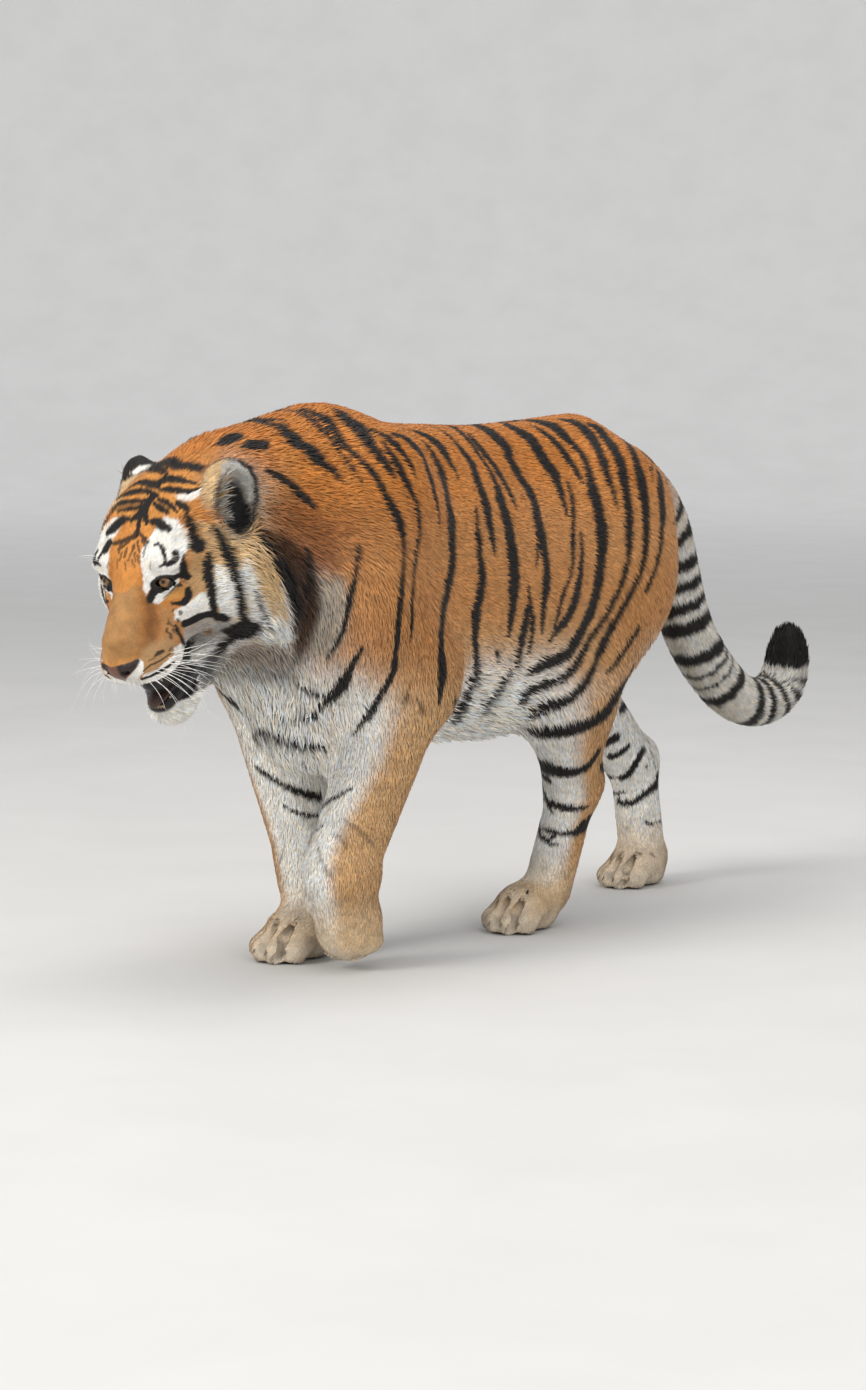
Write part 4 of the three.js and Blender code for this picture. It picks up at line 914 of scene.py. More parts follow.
# ------------------------------------------------------------------ the markings
# Each stroke is a run of (x, y, width) in the 866 by 1390 frame of the camera's view,
# laid onto the body from there. S: this stroke only; M: also mirrored to the right side.
BLACK_BODY = [
    ('shoulder_blot', 'M', [(281, 425, 7), (288, 432, 10), (296, 440, 11), (304, 446, 7), (311, 450, 12), (318, 457, 12), (327, 464, 7), (335, 471, 5), (344, 480, 2)]),
    ('nape_1', 'M', [(222, 442, 6), (229, 438, 8), (238, 434, 6)]),
    ('nape_2', 'M', [(245, 446, 5), (254, 444, 9), (265, 443, 7)]),
    ('nape_3', 'M', [(251, 417, 4), (260, 420, 7), (271, 423, 5)]),
    ('nape_4', 'M', [(206, 455, 2), (200, 459, 3), (190, 462, 3)]),
    ('neck_side', 'M', [(269, 470, 4), (280, 476, 7), (291, 482, 6), (299, 491, 9), (308, 499, 6), (317, 508, 2)]),
    ('withers_1', 'M', [(287, 409, 2), (298, 411, 4), (309, 416, 4), (320, 426, 4), (330, 437, 3.5), (340, 450, 3), (350, 464, 3.5), (362, 481, 3)]),
    ('withers_2', 'M', [(301, 408, 4), (316, 412, 5), (327, 419, 7), (334, 429, 7), (343, 441, 6), (353, 452, 5), (365, 463, 6), (377, 477, 6), (385, 491, 5),
                        (393, 507, 7), (400, 520, 8), (404, 535, 5), (405, 548, 3), (405, 561, 3), (403, 585, 4), (401, 605, 5), (399, 625, 5), (397, 650, 4),
                        (394, 672, 5), (386, 688, 5), (378, 701, 6), (370, 715, 6), (361, 725, 4), (353, 734, 2)]),
    ('withers_3', 'M', [(338, 409, 5), (347, 417, 8), (357, 425, 10), (365, 435, 10), (373, 447, 8), (383, 459, 8), (391, 470, 6), (396, 478, 2)]),
    ('rib_1a', 'M', [(372, 428, 2), (381, 433, 4), (391, 439, 5), (399, 447, 5), (407, 457, 4), (413, 467, 3), (417, 476, 1)]),
    ('rib_1b', 'M', [(383, 441, 2), (391, 453, 5), (399, 465, 7), (405, 477, 6), (411, 489, 5), (417, 501, 3), (420, 515, 4), (421, 531, 3), (419, 547, 2.5),
                     (417, 560, 2.5), (415, 577, 2), (413, 600, 2.5), (413, 622, 3), (412, 640, 2)]),
    ('rib_2', 'M', [(394, 433, 3), (403, 436, 4), (413, 443, 7), (423, 453, 6), (428, 467, 6), (433, 481, 6), (437, 497, 5), (440, 511, 3), (441, 525, 1.5)]),
    ('rib_3a', 'M', [(412, 429, 2), (421, 432, 5), (431, 437, 7), (441, 445, 7), (447, 455, 5), (455, 469, 3), (459, 477, 1)]),
    ('rib_3b', 'M', [(424, 440, 2), (435, 455, 4), (442, 469, 5), (446, 485, 5), (449, 501, 6), (452, 515, 8), (453, 535, 7), (454, 556, 6), (452, 575, 6),
                     (448, 595, 6), (444, 615, 6), (442, 635, 5), (443, 655, 6), (444, 672, 8), (442, 688, 5), (440, 703, 3)]),
    ('rib_4', 'M', [(428, 424, 1.5), (442, 429, 2), (454, 439, 2.5), (464, 451, 5), (473, 463, 6), (478, 479, 6), (484, 495, 6), (488, 509, 7), (490, 523, 6),
                    (493, 536, 5), (496, 554, 2)]),
    ('rib_4b', 'M', [(477, 507, 2), (478, 525, 3), (480, 540, 5), (481, 557, 5), (483, 572, 7), (483, 585, 7), (480, 599, 7), (477, 613, 8), (476, 640, 5),
                     (478, 660, 4), (478, 682, 6), (470, 695, 6), (464, 711, 7), (457, 723, 6)]),
    ('rib_5a', 'M', [(436, 421, 2), (448, 424, 4), (460, 430, 4), (469, 439, 4), (479, 453, 3), (490, 468, 3), (498, 485, 5), (502, 501, 7), (507, 516, 8),
                     (510, 531, 8), (513, 548, 9), (515, 566, 10), (515, 585, 9), (514, 604, 7), (512, 622, 5), (510, 636, 2.5)]),
    ('rib_5b', 'M', [(469, 433, 3), (477, 442, 4), (485, 452, 5), (493, 462, 5), (500, 472, 5), (506, 483, 5), (512, 495, 4), (517, 507, 1.5)]),
    ('loin_1', 'M', [(456, 420, 2), (466, 421, 5), (477, 424, 7), (488, 429, 10), (498, 437, 9), (507, 447, 8), (510, 457, 6), (516, 468, 7), (522, 478, 6),
                     (530, 490, 7), (536, 504, 6), (539, 519, 7), (542, 536, 8), (546, 555, 6), (548, 571, 6), (547, 588, 7), (545, 603, 5), (544, 617, 4), (543, 632, 2.5)]),
    ('loin_1b', 'M', [(539, 545, 3), (538, 558, 2), (537, 568, 1)]),
    ('loin_2', 'M', [(498, 420, 2), (510, 425, 6), (521, 431, 8), (532, 439, 9), (539, 450, 8), (546, 461, 9), (554, 472, 9), (559, 484, 6), (563, 497, 4), (568, 514, 2)]),
    ('loin_2b', 'M', [(532, 424, 2), (545, 432, 4), (558, 443, 5), (568, 457, 6), (576, 469, 5), (583, 483, 1.5)]),
    ('loin_3a', 'M', [(568, 481, 3), (572, 493, 3), (574, 508, 3), (574, 525, 3), (574, 545, 4), (574, 563, 2.5), (570, 581, 2), (566, 590, 3), (562, 603, 3), (558, 618, 3), (556, 628, 2)]),
    ('loin_3b', 'M', [(582, 533, 2), (583, 553, 3), (582, 571, 4), (579, 589, 6), (574, 607, 6), (566, 622, 6), (558, 631, 4), (551, 641, 2.5)]),
    ('croup_1', 'M', [(500, 418, 2), (512, 418, 3), (526, 419, 5), (542, 421, 8), (554, 425, 9), (564, 434, 8), (573, 443, 5), (582, 452, 5), (587, 464, 6), (591, 479, 7),
                      (595, 495, 10), (599, 510, 9), (602, 526, 10), (603, 543, 10), (602, 560, 8), (600, 577, 8), (597, 595, 7), (592, 612, 8), (585, 626, 7),
                      (578, 640, 8), (570, 653, 9), (558, 661, 9), (546, 665, 8), (536, 671, 6), (530, 676, 2)]),
    ('croup_2', 'M', [(560, 418, 2), (574, 421, 7), (584, 427, 8), (592, 437, 7), (598, 449, 6), (604, 462, 7), (608, 475, 6), (612, 487, 4), (616, 498, 3), (619, 508, 1.5)]),
    ('croup_3', 'M', [(588, 423, 3), (599, 427, 7), (608, 439, 6), (616, 451, 7), (622, 465, 8), (625, 481, 8), (628, 499, 7), (630, 515, 7), (630, 535, 7), (630, 550, 5),
                      (628, 562, 4), (625, 576, 5), (620, 591, 4), (612, 607, 5), (604, 621, 4), (596, 632, 4), (588, 644, 5), (582, 657, 6), (574, 670, 6), (564, 679, 6),
                      (552, 685, 7), (540, 689, 7), (530, 694, 9), (526, 702, 7)]),
    ('croup_4', 'M', [(612, 431, 2), (624, 439, 4), (632, 449, 5), (638, 463, 6), (642, 479, 8), (645, 496, 8), (647, 515, 6), (647, 535, 6), (646, 553, 5), (641, 576, 4),
                      (631, 594, 5), (622, 611, 5), (611, 630, 6), (604, 645, 7), (598, 658, 5), (592, 673, 6), (584, 686, 7), (574, 697, 8), (562, 704, 9), (550, 708, 9),
                      (539, 714, 8), (531, 722, 5)]),
    ('croup_5', 'M', [(641, 446, 2), (648, 456, 3), (652, 468, 2), (654, 480, 1)]),
    ('croup_6', 'M', [(652, 459, 2), (660, 474, 5), (662, 491, 7), (664, 511, 7), (663, 526, 4), (662, 545, 3), (656, 570, 3), (648, 590, 3)]),
    ('croup_7', 'M', [(668, 466, 1.5), (675, 477, 3), (680, 490, 3), (682, 503, 2)]),
    ('thigh_back', 'S', [(634, 668, 4), (628, 680, 5), (621, 691, 6), (615, 701, 7), (608, 712, 8), (598, 720, 9), (584, 727, 10), (566, 732, 11), (548, 734, 10), (535, 735, 8)]),
    ('thigh_mid', 'S', [(640, 628, 3), (630, 645, 3), (620, 660, 3), (608, 672, 3)]),
    ('thigh_edge', 'S', [(622, 710, 4), (629, 702, 5), (636, 690, 3)]),
    ('knee', 'S', [(600, 752, 4), (593, 762, 5), (584, 770, 6), (572, 773, 8), (560, 773, 9), (548, 769, 9), (537, 764, 7)]),
    ('shank_1', 'S', [(539, 797, 3), (550, 803, 5), (562, 808, 6), (576, 809, 5), (589, 807, 2.5)]),
    ('shank_2', 'S', [(539, 827, 2), (550, 831, 4), (564, 834, 4), (576, 833, 6), (584, 827, 8), (591, 820, 6)]),
    ('shank_3', 'S', [(542, 838, 2), (550, 844, 3), (559, 844, 2)]),
    ('flank_fold_1', 'M', [(530, 587, 1.5), (531, 601, 3), (528, 613, 5), (526, 625, 6), (523, 640, 6), (521, 653, 5), (519, 668, 4)]),
    ('flank_fold_2', 'M', [(532, 606, 2), (534, 620, 4), (533, 636, 4), (530, 653, 3)]),
    ('belly_1', 'M', [(498, 652, 3), (500, 664, 2)]),
    ('belly_2', 'M', [(512, 675, 4), (506, 683, 6), (500, 694, 6), (492, 705, 6), (486, 716, 4)]),
    ('belly_3', 'M', [(456, 700, 3), (451, 716, 4)]),
    ('neck_front', 'M', [(360, 545, 3), (358, 565, 3), (354, 581, 4), (351, 597, 6), (348, 611, 5), (345, 625, 4), (340, 638, 4), (333, 651, 4), (324, 662, 2)]),
    ('breast', 'M', [(364, 647, 2), (356, 660, 5), (349, 673, 6), (341, 689, 10), (333, 700, 8), (323, 708, 5), (314, 718, 2)]),
    # the two strokes behind the ruff are partly black stripes on the neck, partly painted shade between the ruff and
    # the neck
    ('behind_ruff_1', 'M', [(259, 530, 5), (265, 541, 7), (273, 552, 8), (283, 565, 9), (291, 580, 10), (296, 596, 9), (300, 610, 8), (297, 624, 5)]),
    ('behind_ruff_2', 'M', [(309, 551, 4), (313, 565, 6), (311, 581, 7), (307, 597, 7)]),
    ('chest_line', 'M', [(219, 682, 1.5), (224, 690, 1.5), (230, 700, 2), (238, 710, 2), (248, 718, 1.5)]),
    ('rf_in_1', 'S', [(254, 740, 1.5), (266, 740, 3), (277, 742, 4), (292, 747, 6), (304, 749, 6), (316, 749, 6), (325, 750, 4)]),
    ('rf_in_2', 'S', [(255, 767, 2.5), (266, 776, 4), (277, 782, 4), (292, 789, 6), (305, 794, 7), (320, 797, 8)]),
    ('rf_in_3', 'S', [(284, 806, 2), (296, 812, 3), (308, 816, 4), (318, 815, 3)]),
    ('rh_in_1', 'S', [(603, 767, 5), (611, 758, 5), (620, 754, 5), (629, 747, 4)]),
    ('rh_in_2', 'S', [(619, 781, 2), (627, 776, 5), (634, 768, 5), (640, 757, 5), (645, 749, 4)]),
    ('rh_in_3', 'S', [(607, 790, 2), (617, 800, 3), (622, 804, 4), (632, 803, 5), (642, 796, 5), (652, 789, 6), (658, 784, 5), (659, 774, 3)]),
    ('rh_in_4', 'S', [(644, 822, 1.5), (652, 824, 2), (662, 820, 2)]),
]
FAINT_BODY = [   # brown bars and smudges of the fore legs, feet and shoulder
    ('elbow_1', 'M', [(411, 683, 2), (408, 693, 3), (406, 703, 6)], .55),
    ('elbow_2', 'M', [(419, 700, 2), (423, 712, 6)], .55),
    ('lf_bar_1', 'S', [(342, 819, 2), (350, 823, 3), (360, 831, 5), (369, 840, 6), (375, 846, 3)], .45),
    ('lf_bar_2', 'S', [(331, 833, 4), (340, 838, 4), (347, 847, 4)], .42),
    ('lf_bar_3', 'S', [(317, 848, 3), (321, 861, 3), (328, 873, 4), (334, 880, 2)], .42),
    ('lf_line', 'S', [(330, 781, 1), (345, 780, 1.2), (356, 781, 1)], .35),
    ('rf_line', 'S', [(284, 844, 2), (281, 856, 2), (278, 866, 2)], .35),
    ('rh_spot_1', 'S', [(637, 852, 3), (641, 853, 3)], .6),
    ('rh_spot_2', 'S', [(652, 853, 3), (655, 856, 2)], .5),
    ('rh_back', 'S', [(648, 738, 1.5), (652, 752, 2), (657, 768, 2)], .5),
    ('shoulder_haze', 'M', [(404, 640, 10), (400, 662, 10)], .18),
]
BLACK_HEAD = [      # a fourth number is the stroke's strength
    ('crown_1', 'S', [(160, 461, 3), (168, 460, 7), (178, 465, 7), (190, 465, 6), (200, 468, 6), (208, 472, 4)]),
    ('crown_2', 'S', [(148, 464, 4), (156, 467, 5), (162, 470, 4), (166, 473, 3), (164, 478, 3)]),
    ('arc_1l', 'S', [(124, 491, 1.5), (130, 486, 2.8), (136, 482.5, 3.8), (142, 481, 4.2), (150, 483, 6), (157, 486, 5)]),
    ('arc_1r', 'S', [(161, 480, 5), (168, 478, 6), (178, 479, 5), (187, 481, 4), (199, 484, 1.5)]),
    ('arc_2r', 'S', [(160, 489, 3), (167, 488.5, 5), (175, 489.5, 5), (188, 491, 4), (199, 487.5, 1)]),
    ('arc_2l', 'S', [(113, 499, 1.5), (120, 496, 3), (127, 492.5, 4), (135, 491, 4), (142, 490, 4), (150, 492, 4), (156, 495, 5)]),
    ('knot', 'S', [(155, 495, 4), (150, 498, 5), (148, 503, 4)]),
    ('arc_3l', 'S', [(109, 511, 1.5), (113, 507, 2.8), (118, 503, 3.2), (127, 501, 3.2), (140, 500, 3.2), (148, 500, 3.6)]),
    ('arc_3l2', 'S', [(118, 511, 1.8), (125, 509, 2.8), (135, 508, 3.2), (146, 504, 3)]),
    ('arc_3l3', 'S', [(115, 507.5, 4), (125, 505, 6), (136, 504, 6), (146, 502, 4)], .60),
    ('arc_3r', 'S', [(158, 499, 4), (165, 501, 4), (172, 506, 4), (176, 511, 3.5)]),
    ('arc_3r2', 'S', [(152, 502, 3), (160, 508, 5), (167, 512, 4)]),
    ('arc_3r3', 'S', [(160, 503.5, 4), (168, 508, 4)], .55),
    ('brow_r3', 'S', [(176, 501, 3), (182, 505, 7), (187, 509, 5)]),
    ('stem', 'S', [(147, 503, 3.5), (145, 508, 5), (144, 514, 5), (146, 522, 4)]),
    ('stem_l', 'S', [(130, 520, 3), (136, 516, 5), (141, 511, 5)]),
    ('stem_c', 'S', [(141, 512, 3), (138, 522, 3), (137, 530, 3), (136, 536, 2)]),
    ('brow_l', 'S', [(107, 532, 4), (113, 527, 7), (120, 521, 7), (127, 518.5, 3.5)]),
    ('brow_r', 'S', [(152, 521, 6), (157, 522, 8), (162, 525, 8.5), (168, 529, 6)]),
    ('fleck_1', 'S', [(136, 530, 3), (134, 536, 3.5), (128, 538, 3.5), (121, 541, 3.5), (113, 543, 2.5)], .9),
    ('fleck_3', 'S', [(139, 533, 3), (143, 537, 3.6), (147, 542, 3)], .9),
    ('fleck_4', 'S', [(137, 541, 2), (138, 547, 2), (139, 552, 1.4)], .75),
    ('fleck_5', 'S', [(133, 545, 2), (132, 551, 2)], .75),
    ('fleck_6', 'S', [(126, 548, 2), (124, 556, 2)], .7),
    ('fleck_7', 'S', [(120, 545, 2), (118, 552, 2)], .7),
    ('fleck_8', 'S', [(137, 555, 1.6), (139, 563, 1.6)], .6),
    ('fleck_9', 'S', [(131, 560, 1.6), (134, 567, 1.6)], .55),
    ('fleck_10', 'S', [(144, 548, 1.8), (143, 556, 1.8)], .6),
    ('fleck_11', 'S', [(128, 541, 2.4), (123, 545, 2.2), (117, 549, 1.6)], .8),
    ('fleck_12', 'S', [(130, 553, 1.8), (128, 560, 1.6)], .6),
    ('fleck_13', 'S', [(141, 540, 2.2), (145, 546, 2.0)], .8),
    ('fleck_14', 'S', [(124, 562, 1.5), (125, 570, 1.3)], .5),
    ('fleck_15', 'S', [(117, 560, 1.5), (116, 568, 1.3)], .5),
    ('fleck_16', 'S', [(134, 553, 2.0), (135, 561, 1.6)], .65),
    ('fleck_17', 'S', [(121, 553, 1.8), (119, 559, 1.6)], .6),
    ('brow_spot_l', 'S', [(108, 543, 5), (105, 550, 5)]),
    ('temple_1', 'M', [(185, 513, 3), (190, 521, 8), (194, 528, 8), (192, 534, 6)]),
    ('temple_2', 'M', [(192, 534, 6), (195, 540, 9), (197, 545, 8)]),
    ('cheek_1', 'M', [(210, 556, 5), (208, 566, 9), (208, 577, 9), (211, 588, 8), (213, 600, 7), (214, 615, 6)]),
    ('cheek_1b', 'M', [(185, 624.5, 6), (195, 620, 6), (205, 616, 5), (214, 615, 6), (220, 618, 8), (226, 620, 6)]),
    ('cheek_2', 'M', [(214, 527, 4), (218, 533, 6), (223, 541, 8), (228, 551, 11), (232, 563, 10), (236, 577, 9), (240, 590, 8), (242, 603, 8), (243, 614, 7), (245, 624, 9)]),
    ('cheek_3', 'M', [(249, 634, 13), (240, 631, 14), (231, 633, 9)]),
    ('cheek_4', 'M', [(231, 640, 6), (224, 646, 9), (217, 652, 6)]),
    ('cheek_5', 'M', [(216, 655, 8), (208, 668, 9), (205, 684, 6)], .7),
    ('ruff_streak', 'M', [(257, 592, 3), (262, 606, 4), (267, 620, 3.5), (272, 634, 3), (279, 648, 2)], .8),
]
# drawn on the face as the camera sees it, both sides alike
INK_FACE = [
    ([(153, 545, 2), (158, 543, 2.8), (162, 548, 4), (164, 555, 4.6), (165, 560, 4), (163, 565, 3), (158, 567, 1.5)], 1.),
    ([(166, 565, 5), (172, 562, 6.5), (176, 558, 7.5), (175, 553, 7)], 1.),
    ([(150, 562, 1.5), (150, 570, 1.5)], .5),
    ([(184, 554, 3), (183.5, 562, 6), (184, 570, 9), (187, 577, 8)], 1.),
    ([(164, 597.5, 1.2), (168, 594.5, 1.4), (172, 590.5, 1.5), (176, 586, 2.4), (180.5, 585, 5)], .9),
    ([(181, 580.5, 1.2), (187, 583, 1.2), (192, 586, 1.)], .6),
    ([(188, 590, 6), (188, 597, 8.5), (184, 603, 6.5), (178, 604, 5), (171, 603, 2.5)], 1.),
    ([(180, 612, 3.4), (180.5, 614, 3.4)], .85), ([(178, 619.5, 3.2), (178.4, 621, 3.2)], .85),
    ([(168, 622, 2.6), (168.5, 624, 2.6)], .7), ([(173, 609.5, 2.6), (173, 611, 2.6)], .7),
    ([(175, 626, 2.2), (179, 633, 3.2), (183, 641, 4), (188, 648, 4.5), (192, 640, 2)], 1.),
    ([(167, 619, 1.2), (170, 623, 1.8), (173, 628, 1.8), (175, 633, 1.8)], .8),
    ([(166, 628, 1.4), (169, 633, 2.4), (172, 638, 2.2)], .8),
    ([(155, 656, 2), (158, 653, 4.4), (163, 651, 4)], .9),
    ([(170, 650, 2.6), (172, 648, 2.6)], .6),
    ([(148, 661.5, 1.4), (155, 657.5, 1.4)], .6),
    ([(143, 671.5, 1.4), (150, 665.5, 1.9), (160, 661, 1.9), (170, 654, 1.6)], .85),
    ([(141, 679.5, 2.2), (150, 676.8, 2.8), (160, 671.8, 3.2), (169, 666.5, 2.8), (175, 661.5, 2)], 1.),
    ([(146, 675.2, 1.0), (153, 672, 1.2), (160, 668, 1.0)], .5),
]
WHITE = (.77, .755, .715)
CREAM = (.62, .43, .225)
TAN = (.42, .235, .095)
RICH = (.50, .175, .032)
GREY = (.36, .345, .32)
INK_FILL = [     # black round the eye and on the lower lip
    [(144, 684), (158, 686), (172, 682), (186, 676), (195, 674), (200, 682), (197, 692), (190, 698), (180, 701), (166, 705), (154, 704.5), (146, 701)],
    [(190.5, 536), (196, 533), (202, 537), (206.5, 541.5), (207, 546), (203.5, 551), (198, 553.5), (192, 551), (188.5, 547), (188.5, 541)],
    [(185, 515), (190, 515.5), (195, 520), (196, 527), (192, 530), (187, 525)],
    [(155, 577.6), (160.5, 575.4), (166, 574.8), (170, 575.2), (175.5, 574.8), (181.8, 572), (187.4, 571.2), (191.3, 575), (190.5, 579), (187.4, 579.8), (182.6, 579.2),
     (177.9, 578.8), (174.7, 580), (173, 582), (171, 585.4), (166.8, 590), (163, 592.4), (158, 593.8), (155.8, 596), (154.2, 600), (151.8, 603.8), (148.7, 602.8),
     (146.2, 599.5), (147.6, 595.5), (150.6, 589.2), (152.8, 583.7)],
]
# broad colours of the face, some of them painted shade: colour, strength, softness in pixels, outline
PATCHES = [
    ((.60, .265, .060), .9, 5, [(140, 476), (186, 470), (200, 490), (186, 515), (160, 520), (150, 545), (118, 545), (108, 520), (112, 500), (124, 484)]),   # forehead
    ((.50, .195, .042), .9, 6, [(110, 548), (150, 544), (149, 566), (141, 590), (108, 590)]),                          # root of the nose
    ((.36, .195, .075), .85, 16, [(104, 586), (139, 584), (142, 620), (142, 648), (132, 661), (98, 664)]),             # bridge, golden
    ((.20, .088, .030), .85, 13, [(141, 588), (147, 592), (156, 606), (161, 622), (161, 640), (152, 655), (140, 664), (136, 655), (143, 640), (145, 618)]),   # darker side of the nose: partly its own darker brown fur, partly painted shade
    ((.40, .215, .090), .80, 10, [(158, 606), (172, 606), (182, 616), (184, 634), (176, 646), (164, 648), (162, 625)]),  # towards the cheek
    ((.37, .225, .105), .85, 9, [(141, 652), (150, 643), (164, 637), (177, 643), (181, 654), (174, 661), (160, 669), (142, 679), (138, 668)]),   # whisker pad
    ((.50, .30, .135), .85, 10, [(188, 542), (204, 542), (208, 570), (204, 600), (196, 606), (188, 600), (185, 582), (189, 568)]),
    ((.54, .27, .075), .9, 2.5, [(172, 588), (181, 586), (186, 592), (182, 598), (172, 600), (165, 601)]),               # below the eye
    (CREAM, .9, 4, [(214, 520), (236, 520), (262, 556), (286, 600), (290, 628), (276, 622), (258, 584), (240, 556), (222, 536)]),
    (CREAM, .75, 4, [(196, 518), (214, 524), (222, 548), (214, 556), (204, 548), (200, 530)]),
    (WHITE, 1., 2.2, [(163, 516), (176, 519), (186, 531), (189, 546), (185, 556), (180, 562), (186, 569), (181, 573), (168, 577), (160, 578), (154, 581),
                      (150, 590), (146, 595), (143, 589), (142.5, 573), (139.5, 560), (141, 549), (150, 536), (155, 528)]),   # above the eye and down beside the nose
    (WHITE, 1., 1.2, [(153.5, 603), (153.5, 596), (155, 591), (160, 588), (166, 585), (170, 580), (174, 576), (178.5, 576.5), (179.5, 581), (176.8, 586.8), (171.6, 591.8), (166, 597), (161.8, 601.8), (158, 604.8)]),   # under the eye
    (WHITE, 1., 2.5, [(216, 562), (223, 566), (230, 578), (237, 592), (240, 612), (234, 620), (222, 614), (217, 604), (215, 584)]),     # between the cheek bars
    (WHITE, .95, 2.5, [(190, 602), (199, 594), (209, 592), (211, 613), (198, 618), (184, 622), (174, 620), (174, 611)]),
    (GREY, .85, 3, [(184, 629), (188, 624), (196, 620), (206, 616), (216, 615), (230, 621), (234, 636), (222, 644), (203, 648), (192, 652), (186, 648)]),
    ((.30, .17, .08), .8, 2, [(203, 631), (210, 629), (213, 635), (205, 637)]),
    (WHITE, .95, 2, [(174, 648), (186, 641), (190, 650), (182, 659), (176, 655)]),
    (WHITE, 1., 1.4, [(137.5, 658.5), (143.5, 662), (142.5, 674), (134, 683), (126, 687), (124, 682), (131, 675), (136.5, 668)]),      # beside the nostril
    (WHITE, 1., 1.2, [(142.5, 675.5), (157, 669.5), (172, 657), (178, 651), (181, 656), (172, 662), (159, 671), (144, 679)]),
    (WHITE, 1., 1.2, [(140, 682), (150, 679.5), (160, 674.5), (170, 669), (178, 662), (186, 662), (184, 680), (170, 690), (140, 700), (120, 700), (116, 683), (128, 684)]),
    (WHITE, .95, 3, [(247, 556), (256, 572), (262, 592), (272, 616), (280, 640), (268, 652), (256, 636), (249, 612), (246, 592), (240, 572)]),
    (WHITE, .9, 4, [(280, 610), (290, 630), (292, 650), (280, 652), (276, 632)]),
    (GREY, .75, 6, [(238, 644), (258, 650), (276, 664), (262, 690), (236, 690), (222, 664)]),
    ((.12, .113, .105), .80, 9, [(198, 658), (222, 650), (240, 662), (236, 690), (222, 700), (212, 694), (206, 676)]),            # painted shade on the throat behind the jaw
]
# the hollow of the ear, and its back
EAR_FACE = [
    ((.16, .15, .14), .9, 3, [(200, 488), (204, 474), (212, 463), (226, 458), (242, 459), (254, 468), (260, 484), (260, 506), (254, 530), (244, 544), (226, 540), (214, 520), (204, 506)]),
    (CREAM, .9, 4, [(200, 492), (204, 474), (212, 463), (226, 459), (228, 466), (221, 474), (216, 486), (214, 500), (210, 512), (202, 506)]),
    ((.46, .44, .40), .9, 4, [(222, 462), (238, 462), (249, 469), (254, 484), (253, 502), (248, 502), (245, 488), (239, 480), (230, 476), (220, 474)]),
    ((.010, .009, .009), 1., 4, [(214, 494), (221, 483), (232, 482), (240, 489), (244, 500), (250, 508), (250, 526), (244, 536), (233, 532), (222, 520), (215, 506)]),
    ((.012, .010, .010), .95, 1.6, [(238, 459), (250, 465), (257, 478), (259, 494), (257, 514), (250, 532), (246, 528), (252, 512), (254.5, 495), (253, 481), (247, 469), (237, 462.5)]),
]
EAR_BACK = [     # 1 black, 0 white
    (1, 2.5, [(112, 492), (114, 480), (118, 468), (126, 460), (135, 455), (148, 454), (157, 459), (165, 468), (163, 474), (145, 471), (130, 477), (120, 484)]),
    (0, 2.0, [(130, 473.5), (139, 466), (151, 464), (150, 468.5), (141, 471), (134, 475)]),
]


# broad colours of the neck and breast, both sides alike, with painted shade behind the ruff and under the jaw
NECK_SHADES = [
    # dark reddish brown behind the head: partly the fur's colour, partly painted shade
    ((.25, .085, .022), .75, 22, [(256, 500), (300, 498), (332, 528), (338, 565), (314, 570), (290, 560), (262, 537)]),
    # grey low on the neck: partly greyish hair, partly painted shade under the ruff
    ((.40, .355, .29), .85, 14, [(313, 580), (342, 577), (350, 598), (344, 640), (326, 658), (302, 652), (300, 632), (311, 612)]),
    # near-black band along the ruff's edge: partly dark fur, partly painted shade between the ruff and the neck
    ((.055, .023, .011), .96, 9, [(250, 524), (268, 538), (282, 560), (287, 580), (291, 600), (294, 620), (295, 640), (292, 658), (301, 662), (312, 642), (321, 614), (321, 584), (311, 558), (288, 536)]),
    # painted shade under the jaw
    ((.20, .185, .165), .65, 16, [(222, 650), (268, 650), (300, 656), (296, 688), (262, 686), (236, 682)]),
    ((.76, .745, .70), .70, 14, [(212, 690), (238, 688), (262, 696), (286, 694), (330, 712), (338, 742), (300, 740), (262, 744), (226, 748), (214, 720)]),
]


def ear_out(s):
    return ear_frame(s)[1][:, 1]


# the same, but on one side only: the two sides differ
PATCHES_ONE = [
    (WHITE, 1., 2.2, [(101, 536), (112, 527), (116, 531), (108, 541), (110, 553), (106, 571), (99, 576), (94, 560), (96, 545)]),
    ((.56, .235, .055), 1., 3, [(124, 520), (119, 529), (113, 538), (108.5, 550), (107.5, 575), (112, 592), (126, 592), (140, 577), (139.5, 560), (141, 549), (148, 536), (140, 524)]),
    (CREAM, .8, 3, [(108, 498), (122, 497), (118, 503), (108, 508)]),
    (WHITE, .95, 2, [(174, 494), (186, 494), (199, 488), (200, 495), (190, 501), (178, 499)]),
    (CREAM, .7, 3, [(128, 516), (108, 522), (104, 530), (112, 520)]),
]


def strokes_to_body(strokes):
    """Lays the strokes on the body. Returns (points, half widths) for each stroke."""
    flat, spans = [], []
    for st in strokes:
        pts = np.array(st[2] if isinstance(st[0], str) else st[3], float)
        d = np.gradient(pts[:, :2], axis=0)
        d = d / np.maximum(np.linalg.norm(d, axis=1, keepdims=True), 1e-9)
        nrm = np.stack([-d[:, 1], d[:, 0]], 1) * pts[:, 2:3] * .5
        spans.append(len(pts))
        flat += [pts[:, :2], pts[:, :2] + nrm * .9, pts[:, :2] - nrm * .9]
    P = onto_body(np.concatenate(flat))
    out, i = [], 0
    for st, n in zip(strokes, spans):
        c, a, b = P[i:i + n], P[i + n:i + 2 * n], P[i + 2 * n:i + 3 * n]
        i += 3 * n
        pts = np.array(st[2] if isinstance(st[0], str) else st[3], float)
        depth = (c - CAM_POS) @ CAM_FWD
        flatw = pts[:, 2] * depth / FPX * .5
        half = np.linalg.norm(a - b, axis=1) * .5 / .9
        out.append((c, np.clip(half, flatw, flatw * 1.9)))
    return out


